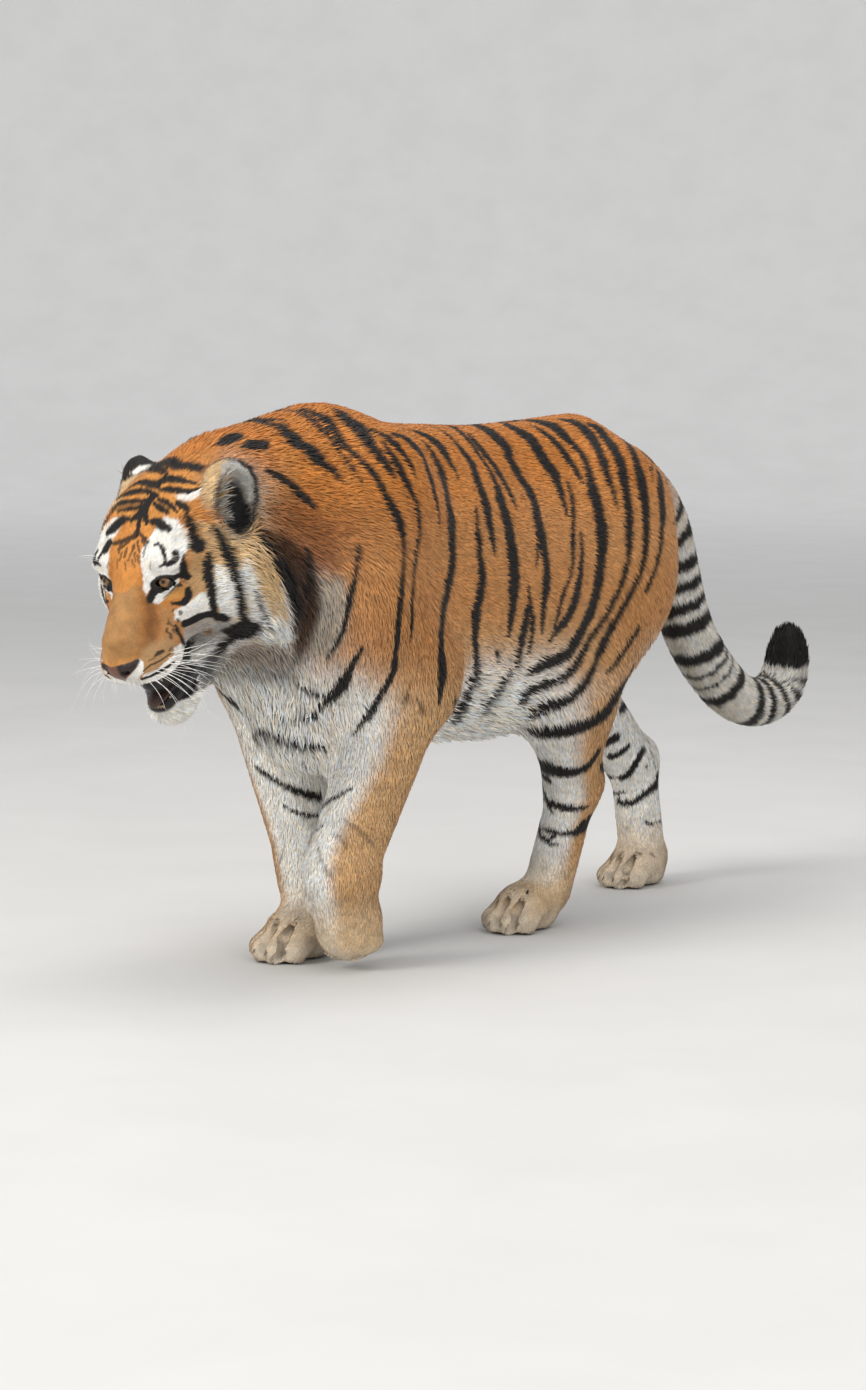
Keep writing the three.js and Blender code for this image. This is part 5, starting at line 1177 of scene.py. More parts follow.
def mirror_body(c, amount):
    """The same stroke on the right side, a little different in place, laid on the body again."""
    m = c * np.array([-1, 1, 1])
    m = m + np.array([0, amount, amount * .3])
    return project(m, n=4, f=field, cap=.05)


MARKS = []          # (kind, colour or strength, points, half widths, soft)


def add_marks():
    jit = np.random.default_rng(5)
    inked = strokes_to_body(BLACK_BODY)
    for st, (c, h) in zip(BLACK_BODY, inked):
        h = h * 1.16 + .0004
        MARKS.append(('black', 1., c, h))
        if st[1] == 'M':
            MARKS.append(('black', 1., mirror_body(c, jit.uniform(-.012, .022)), h * jit.uniform(.85, 1.15)))
    for st, (c, h) in zip(FAINT_BODY, strokes_to_body(FAINT_BODY)):
        MARKS.append(('black', st[3], c, h))
        if st[1] == 'M':
            MARKS.append(('black', st[3], mirror_body(c, .01), h))
    for st, (c, h) in zip(BLACK_HEAD, strokes_to_body(BLACK_HEAD)):
        power = st[3] if len(st) > 3 else 1.
        h = h * 1.22 + .0003
        MARKS.append(('head', power, c, h))
        if st[1] == 'M':
            q = to_head(c) * np.array([-1, 1, 1])
            MARKS.append(('head', power, HO + q @ HM.T, h))
    # bands of the legs that the view hides: the left hind leg's are carried over to the right one,
    # and the inner bands the other way
    names = [s[0] for s in BLACK_BODY]

    def carry(name, a, b, dz=0.):
        c, h = inked[names.index(name)]
        z = c[:, 2]
        off = c[:, :2] - leg_axis(a, z)
        xy = leg_axis(b, z + dz) + off * np.array([-1, 1])
        m = np.column_stack([xy, z + dz])
        MARKS.append(('black', 1., project(m, n=4, f=field, cap=.05), h * .95))
    for n in ('thigh_back', 'knee', 'shank_1', 'shank_2', 'shank_3'):
        carry(n, 'LH', 'RH', .006)
    for n in ('rh_in_1', 'rh_in_2', 'rh_in_3', 'rh_in_4'):
        carry(n, 'RH', 'LH', .004)
    for n in ('rf_in_1', 'rf_in_2', 'rf_in_3'):
        carry(n, 'RF', 'LF', -.01)
    # back of the haunches, hidden from the view
    for s in (1, -1):
        for k, (z0, w) in enumerate([(.80, .011), (.745, .012), (.69, .012), (.63, .012), (.57, .011), (.51, .010), (.45, .009)]):
            ax = 'LH' if s > 0 else 'RH'
            cy = leg_axis(ax, z0)[1]
            pts = []
            for t in np.linspace(0, 1, 6):
                ang = math.radians(8 + 70 * t)
                pts.append((s * (.045 + .135 * math.sin(ang)), cy + .16 * math.cos(ang) + .06, z0 - .05 * t + .01 * math.sin(3 * k + s)))
            m = project(np.array(pts), n=5, f=field, cap=.05)
            MARKS.append(('black', .9, m, w * .5 * np.array([.4, .9, 1, 1, .7, .25])))


add_marks()
say("strokes", len(MARKS))


def wobble(P, scale, seed=0.):
    """A cheap smooth noise from -1 to 1."""
    a = np.sin(P @ np.array([1.7, 2.3, 1.1]) * scale + seed) + np.sin(P @ np.array([-2.1, 1.3, 2.7]) * scale * 1.13 + seed * 1.7)
    b = np.sin(P @ np.array([3.9, -3.1, 4.3]) * scale * 1.07 + seed * 2.3) + np.sin(P @ np.array([-5.3, 4.1, 3.7]) * scale * .93 + seed * .6)
    return (a + b * .6) / 3.2


def stroke_cover(P, c, h, soft):
    """How far inside a stroke each point is: 1 in its core, 0 outside."""
    out = np.zeros(len(P))
    m = h.max() + soft * 2
    idx = np.nonzero(np.all((P > c.min(0) - m) & (P < c.max(0) + m), axis=1))[0]
    if not len(idx):
        return idx, out[:0]
    p = P[idx]
    best = np.full(len(idx), -9.)
    for i in range(len(c) - 1):
        a, ba = c[i], c[i + 1] - c[i]
        t = np.clip(((p - a) @ ba) / max(ba @ ba, 1e-12), 0, 1)
        r = np.linalg.norm(p - a - t[:, None] * ba, axis=1)
        best = np.maximum(best, (h[i] + (h[i + 1] - h[i]) * t) - r)
    return idx, smooth(-soft * .5, soft * .5, best)


def tail_black(P):
    s, d, off = tail_param(P)
    u = s + wobble(P, 60.) * .004 + off[:, 2] * .10
    b = np.zeros(len(P))
    e = .0035
    for c, h, slant in [(.383, .013, .0), (.434, .017, -.25), (.518, .017, -.45), (.558, .006, -.2), (.590, .005, 0.), (.640, .015, -.1),
                        (.738, .014, .1), (.786, .0110, .1), (.834, .0080, .1), (.872, .0075, .1), (.906, .0060, 0.)]:
        b = np.maximum(b, smooth(h + e, h - e, np.abs(u + slant * off[:, 2] - c)))
    for c, h, x in [(.155, .013, .012), (.215, .016, .008), (.285, .015, .010), (.335, .013, .006)]:       # side blots near the root
        b = np.maximum(b, smooth(h + e, h - e, np.abs(u - c)) * smooth(0, .012, np.abs(off[:, 0]) - x))
    b = np.maximum(b, smooth(.934, .942, u))
    return b, s, off, d


def base_colour(P, N, Wt):
    q = to_head(P)
    z, y = P[:, 2], P[:, 1]
    n = len(P)
    one = np.ones((n, 1))
    top = np.array([.485, .178, .034]) * one
    flank = np.array([.47, .215, .072]) * one
    lowf = np.array([.50, .285, .125]) * one
    white = np.array(WHITE) * one
    # trunk: orange over, tan along the flank, white under
    body = mix(flank, top, smooth(.74, .90, z + .02 * wobble(P, 14)))
    body = mix(body, lowf, smooth(.66, .54, z))
    body = mix(body, np.array([.56, .29, .115]) * one, smooth(.05, .35, y) * smooth(.86, .70, z) * .7)
    edge = np.interp(y, [-.60, -.45, -.30, -.10, .05, .20, .32], [.60, .50, .445, .455, .485, .500, .46]) + .012 * wobble(P, 22)
    side_in = smooth(.15, -.5, N[:, 2])
    pale = np.clip(smooth(edge + .03, edge - .03, z) * smooth(-.75, -.55, y) * 1. + side_in * smooth(.60, .50, z) * .9, 0, 1)
    body = mix(body, white, pale * smooth(.75, .70, y))
    chest = smooth(-.42, -.58, y) * smooth(.74, .62, z + .25 * np.abs(P[:, 0]))
    body = mix(body, white * .98, chest)
    # the neck under the head is dark reddish brown, and grey low on its sides: partly the fur's own colour, partly
    # painted shade from the head and the ruff
    neck = mix(np.array([.285, .098, .024]) * one, top, smooth(.76, .90, z))
    grey = np.array([.34, .315, .27]) * one
    neck = mix(neck, grey, smooth(.665, .615, z) * smooth(.05, .14, np.abs(P[:, 0])))
    neck = mix(neck, white, smooth(.60, .55, z + .2 * np.abs(P[:, 0])) )
    col = body * Wt[:, [0]] + neck * Wt[:, [1]]
    for g, s in (('LH', 1), ('RH', -1), ('LF', 1), ('RF', -1)):
        ax = leg_axis(g, z)
        ox, oy = (P[:, 0] - ax[:, 0]) * s, P[:, 1] - ax[:, 1]
        inner = smooth(.15, -.55, N[:, 0] * s)
        fore = g[1] == 'F'
        outer = np.array([.52, .315, .150]) * one if fore else np.array([.50, .285, .125]) * one
        upper = mix(outer, flank, smooth(.45, .62, z))
        if fore:
            wfront = smooth(.15, -.40, N[:, 1]) * smooth(.55 + .30 * smooth(.22, .40, z), .05 + .30 * smooth(.22, .40, z), N[:, 0] * s) * .95
            pal = np.clip(inner + wfront, 0, 1)
        else:
            pal = np.clip(inner + smooth(.05, -.60, N[:, 1] + .25 * N[:, 0] * s) * .95, 0, 1)
        leg = mix(upper, white, pal * smooth(.66, .52, z + .0 * y) if not fore else pal * smooth(.62, .50, z))
        leg = mix(leg, np.array([.61, .46, .29]) * one, smooth(.17, .07, z) * .75)
        leg = mix(leg, np.array([.68, .59, .47]) * one, smooth(.06, .02, z) * .75)
        col = col + leg * Wt[:, [GROUPS.index(g)]]
    s_, d, off = tail_param(P)
    tail = mix(np.array([.44, .235, .105]) * one, np.array([.50, .46, .39]) * one, smooth(.05, .26, s_))
    tail = mix(tail, white * .92, smooth(.005, -.03, off[:, 1] * -1 + 0 * s_) * 0 + smooth(.02, .16, s_) * smooth(.0, .025, np.abs(off[:, 0])) * .55)
    col = col + tail * Wt[:, [GROUPS.index('tail')]]
    # head: orange above, cream cheeks, white below
    x, hy, hz = np.abs(q[:, 0]), q[:, 1], q[:, 2]
    hd = np.array([.50, .195, .042]) * one
    hd = mix(hd, np.array([.50, .23, .065]) * one, smooth(.10, .16, hy) * smooth(.04, .0, x))
    hd = mix(hd, np.array(CREAM) * one, smooth(.075, .11, x) * smooth(.075, .03, hz) * smooth(.14, .08, hy))
    hd = mix(hd, white, smooth(-.050, -.062, hz) * smooth(.06, .12, hy))
    hd = mix(hd, np.array([.50, .46, .40]) * one, smooth(-.055, -.085, hz) * smooth(.12, .06, hy) * .8)
    col = col + hd * Wt[:, [GROUPS.index('head')]]
    rf = mix(np.array(CREAM) * one, white * .97, smooth(-.02, -.08, hz))
    col = col + rf * Wt[:, [GROUPS.index('ruff')]]
    jawc = mix(white, np.array([.44, .42, .38]) * one, smooth(.10, .02, hy) * .5)
    col = col + jawc * Wt[:, [GROUPS.index('jaw')]]
    # ear: black back with a white spot, pale hollow with a dark heart
    earc = np.zeros((n, 3))
    for sgn in (1, -1):
        base, R = ear_frame(sgn)
        v = (P - base) @ R
        m = (np.tanh(P[:, 0] * sgn / .02) * .5 + .5)[:, None]
        inner = smooth(-.1, .4, N @ R[:, 1])
        dark = np.array([.013, .011, .010]) * one
        spot = smooth(.023, .017, np.linalg.norm((v - np.array([0, -.03, .016])) / np.array([1.35, 3., .62]), axis=1))
        backc = mix(dark, white, spot * (1 - inner))
        fr = smooth(.010, -.022, v[:, 0] * (1 if sgn > 0 else -1) * 1.0)      # front rim
        hollow = mix(np.array([.36, .35, .33]) * one, np.array([.52, .27, .09]) * one, fr * .85)
        heart = smooth(.036, .024, np.linalg.norm((v - np.array([.004, .0, -.014])) / np.array([.85, 3., 1.35]), axis=1))
        hollow = mix(hollow, dark, heart * .9)
        earc = earc + mix(backc, hollow, inner) * m
    col = col + earc * Wt[:, [GROUPS.index('ear')]]
    return col


def marked(P, N, col, Wt, soft_scale=1.):
    """Colours with the markings laid over them. The edges waver a little as fur does."""
    wob = wobble(P, 150.)[:, None] * .0013 + wobble(P, 420., 2.)[:, None] * .0006
    Pw = P + wob
    face_w = Wt[:, GROUPS.index('head')] + Wt[:, GROUPS.index('jaw')] + Wt[:, GROUPS.index('ruff')]
    hi = np.nonzero((np.linalg.norm(to_head(P) - (0, .05, -.02), axis=1) < .27) & (face_w > .2))[0]
    ink = np.zeros(len(P))
    if len(hi):
        fw_ = smooth(.2, .6, face_w[hi])
        px, seen = left_view(Pw[hi], N[hi])
        px1, back1 = px_of(Pw[hi])
        seen1 = smooth(-.02, .16, (N[hi] * back1).sum(1))
        for (c_, strength, soft, shape), x_, v_ in [(p, px, seen) for p in PATCHES] + [(p, px1, seen1) for p in PATCHES_ONE]:
            w = smooth(-soft * .5, soft * .5, in_shape(x_, shape)) * v_ * strength * fw_
            col[hi] = mix(col[hi], np.array(c_), w)
        for pts, strength in INK_FACE:
            w = smooth(-.7 * soft_scale, .7 * soft_scale, in_line(px, pts)) * seen * strength * fw_
            ink[hi] = np.maximum(ink[hi], w)
        for shape in INK_FILL:
            w = smooth(-.7 * soft_scale, .7 * soft_scale, in_shape(px, shape)) * seen * fw_
            ink[hi] = np.maximum(ink[hi], w)
    body_w = Wt[:, 0] + Wt[:, 1] + Wt[:, GROUPS.index('LF')] + Wt[:, GROUPS.index('RF')] + Wt[:, GROUPS.index('ruff')]
    bi = np.nonzero((P[:, 1] < -.30) & (P[:, 2] > .45) & (body_w > .3))[0]
    if len(bi):
        mx = np.where(Pw[bi, :1] < 0, -1., 1.) * [1, 0, 0] + [0, 1, 1]
        bx, bb = px_of(Pw[bi] * mx)
        bs = smooth(-.02, .16, (N[bi] * mx * bb).sum(1)) * smooth(.3, .75, body_w[bi])
        # the neck's colours, with their painted shade behind the ruff and under the jaw
        for c_, strength, soft, shape in NECK_SHADES:
            w = smooth(-soft * .5, soft * .5, in_shape(bx, shape)) * bs * strength
            col[bi] = mix(col[bi], np.array(c_), w)
    ear_w = Wt[:, GROUPS.index('ear')] + Wt[:, GROUPS.index('head')]
    ei = np.nonzero((np.linalg.norm(to_head(P) - (0, -.06, .08), axis=1) < .24) & (ear_w > .25))[0]
    if len(ei):
        ew_ = smooth(.25, .6, ear_w[ei])
        only = smooth(.05, .35, Wt[ei, GROUPS.index('ear')])
        px, seen = left_view(Pw[ei], N[ei])
        px1, back1 = px_of(Pw[ei])
        seen1 = smooth(-.02, .16, (N[ei] * back1).sum(1))
        for c_, strength, soft, shape in EAR_FACE:
            w = smooth(-soft * .5, soft * .5, in_shape(px, shape)) * smooth(-.25, .05, (N[ei] @ ear_out(1)) * (P[ei, 0] > 0) + (N[ei] @ ear_out(-1)) * (P[ei, 0] <= 0)) * strength * only
            col[ei] = mix(col[ei], np.array(c_), w)
            ink[ei] = ink[ei] * (1 - w)
        for power, soft, shape in EAR_BACK:
            w = smooth(-soft * .5, soft * .5, in_shape(px1, shape)) * seen1 * ew_ * (P[ei, 0] < 0)
            if power > 0:
                ink[ei] = np.maximum(ink[ei], w)
            else:
                ink[ei] = ink[ei] * (1 - w)
                col[ei] = mix(col[ei], np.array(WHITE), w)
    not_ear = 1 - smooth(.35, .6, Wt[:, GROUPS.index('ear')])
    headish = Wt[:, GROUPS.index('head')] + Wt[:, GROUPS.index('jaw')] + Wt[:, GROUPS.index('ear')]
    for kind, strength, c, h in MARKS:
        soft = np.clip(h.mean() * .34, .0010, .0036) * soft_scale
        idx, w = stroke_cover(Pw, c, h, soft)
        if len(idx):
            w = w * strength * not_ear[idx]
            if kind != 'head':
                w = w * smooth(.75, .45, headish[idx])
            ink[idx] = np.maximum(ink[idx], w)
    tw = smooth(.35, .65, Wt[:, GROUPS.index('tail')])
    t = np.nonzero(tw > 0)[0]
    if len(t):
        ink[t] = np.maximum(ink[t], tail_black(P[t])[0] * tw[t])
    low = np.nonzero(P[:, 2] < .10)[0]
    if len(low):                                       # clefts between the toes are painted darker: painted shade in the creases
        dk = np.full(len(low), 1.)
        for g in TOE_GROOVES:
            dk = np.minimum(dk, cleft(P[low], g))
        ink[low] = np.maximum(ink[low], .50 * smooth(.0015, -.0025, dk))
    return col, ink


COL = base_colour(V, N, Wt)
BASE = COL.copy()
COL, INK = marked(V, N, COL, Wt, 1.2)
say("markings on the skin")
BLACK = np.array([.0125, .0108, .0100])
SKIN_COL = COL * .86
SKIN_COL = mix(SKIN_COL, BLACK, INK)
# dark rims of the eyes with the streak running down from the inner corner
for s_ in (1, -1):
    a_, g_, u_ = eye_axes(s_)
    v_ = QH - EYE_AT * np.array([s_, 1, 1])
    x_, z_ = v_ @ a_, v_ @ u_


def eye_rim(q):
    """Dark fur and skin round the eyes."""
    out = np.zeros(len(q))
    for s in (1, -1):
        a, g, u = eye_axes(s)
        v = q - EYE_AT * np.array([s, 1, 1])
        x, y, z = v @ a, v @ g, v @ u
        zz = z - SLANT * x
        r = np.linalg.norm(v, axis=1)
        t = np.clip(1 - (x / (OPEN_W * 1.12)) ** 2, 0, 1)
        ring = np.maximum(zz - (OPEN_UP * t + .0036), -(OPEN_DOWN * t + .0030) - zz)
        ring = np.where(np.abs(x) > OPEN_W * 1.12, np.maximum(ring, np.abs(x) - OPEN_W * 1.12 - .0005), ring)
        near = (r < .042) & (y > -.004)
        out = np.maximum(out, smooth(.0010, -.0008, ring) * near)
        # inner corner, down beside the nose
        p = np.stack([x, z], 1)
        line = [(-.0150, -.0005), (-.0190, -.0045), (-.0200, -.0080), (-.0200, -.0100)]
        wid = [.0050, .0048, .0036, .0018]
        for i in range(3):
            A, B = np.array(line[i]), np.array(line[i + 1])
            ba = B - A
            tt = np.clip(((p - A) @ ba) / (ba @ ba), 0, 1)
            rr = np.linalg.norm(p - A - tt[:, None] * ba, axis=1) - (wid[i] + (wid[i + 1] - wid[i]) * tt)
            out = np.maximum(out, smooth(.0012, -.0012, rr) * near)
        # outer corner
        A, B = np.array([.0150, .0025]), np.array([.0225, .0060])
        ba = B - A
        tt = np.clip(((p - A) @ ba) / (ba @ ba), 0, 1)
        rr = np.linalg.norm(p - A - tt[:, None] * ba, axis=1) - (.0034 - .0018 * tt)
        out = np.maximum(out, smooth(.0012, -.0012, rr) * near)
    return out


def lip_dark(P, q):
    """Depth inside the body without its cuts, and which points lie near the mouth."""
    d = -field(P, cuts=False)
    near = np.linalg.norm((q - (0, .17, -.10)) / (1.3, 1.4, 1), axis=1) < .085
    return d, near


RIM = eye_rim(QH)
SKIN_COL = mix(SKIN_COL, BLACK * .8, RIM)
SKIN_COL = mix(SKIN_COL, np.array([.012, .010, .010]), LIDS)
pad_col = mix(np.array([.150, .062, .043]), np.array([.016, .011, .010]), smooth(.0065, .0135, np.abs(QH[:, 0])) * .95)
pad_col = mix(pad_col, np.array([.010, .007, .007]), smooth(.0085, .0045, np.minimum(
    np.linalg.norm((QH - (.0190, .2525, -.0360)) / (1, 1.6, .8), axis=1), np.linalg.norm((QH - (-.0190, .2525, -.0360)) / (1, 1.6, .8), axis=1))))
SKIN_COL = SKIN_COL * (1 - PAD[:, None]) + pad_col * PAD[:, None]
# black lips, and painted shade on the block inside the mouth
SKIN_COL = mix(SKIN_COL, np.array([.011, .0085, .0085]), MOUTH)
SKIN_COL = mix(SKIN_COL, np.array([.045, .032, .030]), SOLE)

# ------------------------------------------------------------------ laying the skin in under the coat
DEPTH = LEN * np.sin(np.radians(LIFT)) * .92 + .0004
DEPTH = DEPTH * (1 - np.clip(PAD + LIDS + MOUTH, 0, 1)) + .0002
for s_ in (1, -1):
    r_ = np.linalg.norm(QH - EYE_AT * np.array([s_, 1, 1]), axis=1)
    DEPTH = DEPTH * smooth(.017, .034, r_) + .0003
DEPTH *= smooth(.0, .02, V[:, 2]) * .8 + .2
EARW = Wt[:, GROUPS.index('ear')]
DEPTH = DEPTH * (1 - .75 * EARW)
VS = V - N * np.minimum(DEPTH, .024)[:, None]
VS[:, 2] = np.maximum(VS[:, 2], .0004)
say("depth", DEPTH.max())


# ------------------------------------------------------------------ materials
def material(name):
    m = bpy.data.materials.new(name)
    m.use_nodes = True
    nt = m.node_tree
    nt.nodes.clear()
    out = nt.nodes.new("ShaderNodeOutputMaterial")
    b = nt.nodes.new("ShaderNodeBsdfPrincipled")
    nt.links.new(b.outputs[0], out.inputs[0])
    return m, nt, b


def node(nt, kind, **kw):
    n = nt.nodes.new(kind)
    for k, v in kw.items():
        setattr(n, k, v)
    return n


def noise(nt, scale, detail=3., rough=.55, stretch=None, use="Object"):
    tc = node(nt, "ShaderNodeTexCoord")
    n = node(nt, "ShaderNodeTexNoise")
    n.inputs["Scale"].default_value = scale
    n.inputs["Detail"].default_value = detail
    n.inputs["Roughness"].default_value = rough
    if stretch:
        mp = node(nt, "ShaderNodeMapping")
        mp.inputs["Scale"].default_value = stretch
        nt.links.new(tc.outputs[use], mp.inputs["Vector"])
        nt.links.new(mp.outputs[0], n.inputs["Vector"])
    else:
        nt.links.new(tc.outputs[use], n.inputs["Vector"])
    return n


def ramp(nt, src, stops):
    r = node(nt, "ShaderNodeValToRGB")
    el = r.color_ramp.elements
    while len(el) < len(stops):
        el.new(.5)
    for e, (p, c) in zip(el, stops):
        e.position = p
        e.color = (*c, 1.) if len(c) == 3 else c
    nt.links.new(src, r.inputs[0])
    return r


def mul(nt, a, b, fac=1.):
    m = node(nt, "ShaderNodeMix", data_type='RGBA', blend_type='MULTIPLY')
    m.inputs[0].default_value = fac
    nt.links.new(a, m.inputs[6])
    nt.links.new(b, m.inputs[7])
    return m.outputs[2]


def bump(nt, height, strength, dist):
    b = node(nt, "ShaderNodeBump")
    b.inputs["Strength"].default_value = strength
    b.inputs["Distance"].default_value = dist
    nt.links.new(height, b.inputs["Height"])
    return b.outputs[0]


def coat_material():
    m, nt, b = material("coat")
    at = node(nt, "ShaderNodeAttribute", attribute_name="coat")
    n = noise(nt, 55., 3.)
    r = ramp(nt, n.outputs["Fac"], [(.30, (.82, .80, .78)), (.52, (1., 1., 1.)), (.75, (1.12, 1.10, 1.06))])
    nt.links.new(mul(nt, at.outputs["Color"], r.outputs[0]), b.inputs["Base Color"])
    n2 = noise(nt, 320., 2.)
    r2 = ramp(nt, n2.outputs["Fac"], [(.3, (.50, .50, .50)), (.7, (.68, .68, .68))])
    nt.links.new(r2.outputs[0], b.inputs["Roughness"])
    b.inputs["Specular IOR Level"].default_value = .20
    b.inputs["Sheen Weight"].default_value = .08
    b.inputs["Sheen Roughness"].default_value = .45
    b.inputs["Sheen Tint"].default_value = (1., .93, .84, 1.)
    return m


def skin_material():
    m, nt, b = material("skin")
    at = node(nt, "ShaderNodeAttribute", attribute_name="coat")
    wet = node(nt, "ShaderNodeAttribute", attribute_name="bare")
    n = noise(nt, 70., 4.)
    r = ramp(nt, n.outputs["Fac"], [(.30, (.80, .78, .76)), (.55, (1., 1., 1.)), (.78, (1.10, 1.08, 1.05))])
    nt.links.new(mul(nt, at.outputs["Color"], r.outputs[0]), b.inputs["Base Color"])
    rr = ramp(nt, wet.outputs["Fac"], [(.0, (.72, .72, .72)), (1., (.36, .36, .36))])
    nt.links.new(rr.outputs[0], b.inputs["Roughness"])
    v = node(nt, "ShaderNodeTexVoronoi")
    v.inputs["Scale"].default_value = 620.
    tc = node(nt, "ShaderNodeTexCoord")
    nt.links.new(tc.outputs["Object"], v.inputs["Vector"])
    f = noise(nt, 900., 2., stretch=(1., .35, 1.))
    mx = node(nt, "ShaderNodeMix", data_type='FLOAT')
    nt.links.new(wet.outputs["Fac"], mx.inputs[0])
    nt.links.new(f.outputs["Fac"], mx.inputs[2])
    nt.links.new(v.outputs["Distance"], mx.inputs[3])
    nt.links.new(bump(nt, mx.outputs[0], .45, .0006), b.inputs["Normal"])
    b.inputs["Specular IOR Level"].default_value = .35
    return m


def eye_material():
    """Radial pattern round the gaze, from the attribute 'iris' (0 at the pupil's middle, 1 at the iris's edge)."""
    m, nt, b = material("eye")
    at = node(nt, "ShaderNodeAttribute", attribute_name="iris")
    ang = node(nt, "ShaderNodeAttribute", attribute_name="spoke")
    n = node(nt, "ShaderNodeTexNoise")
    n.noise_dimensions = '2D'
    n.inputs["Scale"].default_value = 5.
    n.inputs["Detail"].default_value = 4.
    nt.links.new(ang.outputs["Color"], n.inputs["Vector"])
    r = ramp(nt, at.outputs["Fac"], [(.0, (.004, .004, .004)), (.25, (.004, .004, .004)), (.30, (.085, .042, .015)), (.45, (.205, .112, .042)),
                                     (.74, (.185, .098, .036)), (.90, (.065, .032, .012)), (.97, (.008, .006, .005))])
    r2 = ramp(nt, n.outputs["Fac"], [(.3, (.62, .58, .52)), (.7, (1.25, 1.2, 1.1))])
    nt.links.new(mul(nt, r.outputs[0], r2.outputs[0], .8), b.inputs["Base Color"])
    b.inputs["Roughness"].default_value = .16
    b.inputs["Specular IOR Level"].default_value = .30
    b.inputs["Coat Weight"].default_value = .35
    b.inputs["Coat Roughness"].default_value = .03
    b.inputs["Coat IOR"].default_value = 1.38
    return m


def horn_material(name, a, c, rough):
    m, nt, b = material(name)
    n = noise(nt, 180., 3., stretch=(1., 1., .25))
    r = ramp(nt, n.outputs["Fac"], [(.3, a), (.7, c)])
    nt.links.new(r.outputs[0], b.inputs["Base Color"])
    b.inputs["Roughness"].default_value = rough
    b.inputs["Coat Weight"].default_value = .3
    b.inputs["Coat Roughness"].default_value = .15
    nt.links.new(bump(nt, n.outputs["Fac"], .2, .0004), b.inputs["Normal"])
    return m


def tongue_material():
    m, nt, b = material("tongue")
    v = node(nt, "ShaderNodeTexVoronoi")
    v.inputs["Scale"].default_value = 520.
    tc = node(nt, "ShaderNodeTexCoord")
    nt.links.new(tc.outputs["Object"], v.inputs["Vector"])
    r = ramp(nt, v.outputs["Distance"], [(.0, (.070, .026, .020)), (.7, (.036, .014, .011))])
    nt.links.new(r.outputs[0], b.inputs["Base Color"])
    nt.links.new(bump(nt, v.outputs["Distance"], .6, .0008), b.inputs["Normal"])
    b.inputs["Roughness"].default_value = .38
    return m


MAT_COAT, MAT_SKIN, MAT_EYE = coat_material(), skin_material(), eye_material()
MAT_CLAW = horn_material("claw_horn", (.085, .066, .050), (.26, .21, .16), .35)
MAT_TOOTH = horn_material("tooth", (.27, .19, .100), (.40, .30, .18), .34)
MAT_TONGUE = tongue_material()


def whisker_material():
    m, nt, b = material("whisker")
    n = noise(nt, 60., 2.)
    r = ramp(nt, n.outputs["Fac"], [(.3, (.72, .70, .66)), (.7, (.90, .89, .86))])
    nt.links.new(r.outputs[0], b.inputs["Base Color"])
    b.inputs["Roughness"].default_value = .42
    return m


MAT_WHISKER = whisker_material()


# ------------------------------------------------------------------ making meshes
def new_mesh(name, V, F, mat, attrs=(), smooth_=True, corner_normals=None, uv=None):
    me = bpy.data.meshes.new(name)
    V = np.ascontiguousarray(V + SHIFT, np.float32)
    F = np.ascontiguousarray(F, np.int32)
    me.vertices.add(len(V))
    me.vertices.foreach_set("co", V.ravel())
    me.loops.add(F.size)
    me.loops.foreach_set("vertex_index", F.ravel())
    me.polygons.add(len(F))
    me.polygons.foreach_set("loop_start", np.arange(0, F.size, F.shape[1], dtype=np.int32))
    me.update(calc_edges=True)
    me.polygons.foreach_set("use_smooth", np.full(len(F), smooth_))
    for key, kind, data in attrs:
        a = me.attributes.new(key, kind, 'POINT')
        data = np.ascontiguousarray(data, np.float32)
        a.data.foreach_set({'FLOAT': 'value', 'FLOAT_COLOR': 'color', 'FLOAT_VECTOR': 'vector'}[kind], data.ravel())
    if uv is not None:
        layer = me.uv_layers.new(name="OFBake")
        layer.uv.foreach_set("vector", np.ascontiguousarray(uv, np.float32).ravel())
    if corner_normals is not None:
        me.normals_split_custom_set(corner_normals.reshape(-1, 3))
    me.materials.append(mat)
    ob = bpy.data.objects.new(name, me)
    bpy.context.scene.collection.objects.link(ob)
    return ob


def rgba(c):
    return np.column_stack([c, np.ones(len(c))])


BARE = np.clip(PAD + LIDS + MOUTH, 0, 1)
skin = new_mesh("skin", VS, F, MAT_SKIN, attrs=[("coat", 'FLOAT_COLOR', rgba(np.clip(SKIN_COL, 0, 1))), ("bare", 'FLOAT', BARE)])
FLESH = [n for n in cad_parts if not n.startswith(("claw", "eye", "tongue"))]
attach(skin, "root")
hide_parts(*FLESH)
say("skin piece")

# ------------------------------------------------------------------ the coat
A3, B3, C3 = VS[F[:, 0]], VS[F[:, 1]], VS[F[:, 2]]
AREA = np.linalg.norm(np.cross(B3 - A3, C3 - A3), axis=1) / 2
fmean = lambda x: (x[F[:, 0]] + x[F[:, 1]] + x[F[:, 2]]) / 3
fl, fwid = fmean(LEN), fmean(WID)
hidden = fmean(np.clip(PAD + LIDS + MOUTH + SOLE, 0, 1))
HEADW = Wt[:, GROUPS.index('head')] + Wt[:, GROUPS.index('ruff')] + Wt[:, GROUPS.index('jaw')] + Wt[:, GROUPS.index('ear')]
fhead = fmean(HEADW)
cover = 1.9 + .9 * fhead
rho = cover / (fl * fwid * .5)
earw = fmean(EARW)
rho = rho * (1 - .3 * earw)
want = AREA * rho * (hidden < .35)
BUDGET = 352000
scale = BUDGET / want.sum()
say("tufts wanted", int(want.sum()), "scale", round(scale, 3))
want *= min(scale, 1.25)
cum = np.concatenate([[0], np.cumsum(want)])
k = np.arange(int(cum[-1])) + rng.random(int(cum[-1]))
face_i = np.clip(np.searchsorted(cum, k, side='right') - 1, 0, len(F) - 1)
g2 = 1.32471795724
u1 = (np.arange(len(k)) / g2 + rng.random() + rng.random(len(k)) * .15) % 1
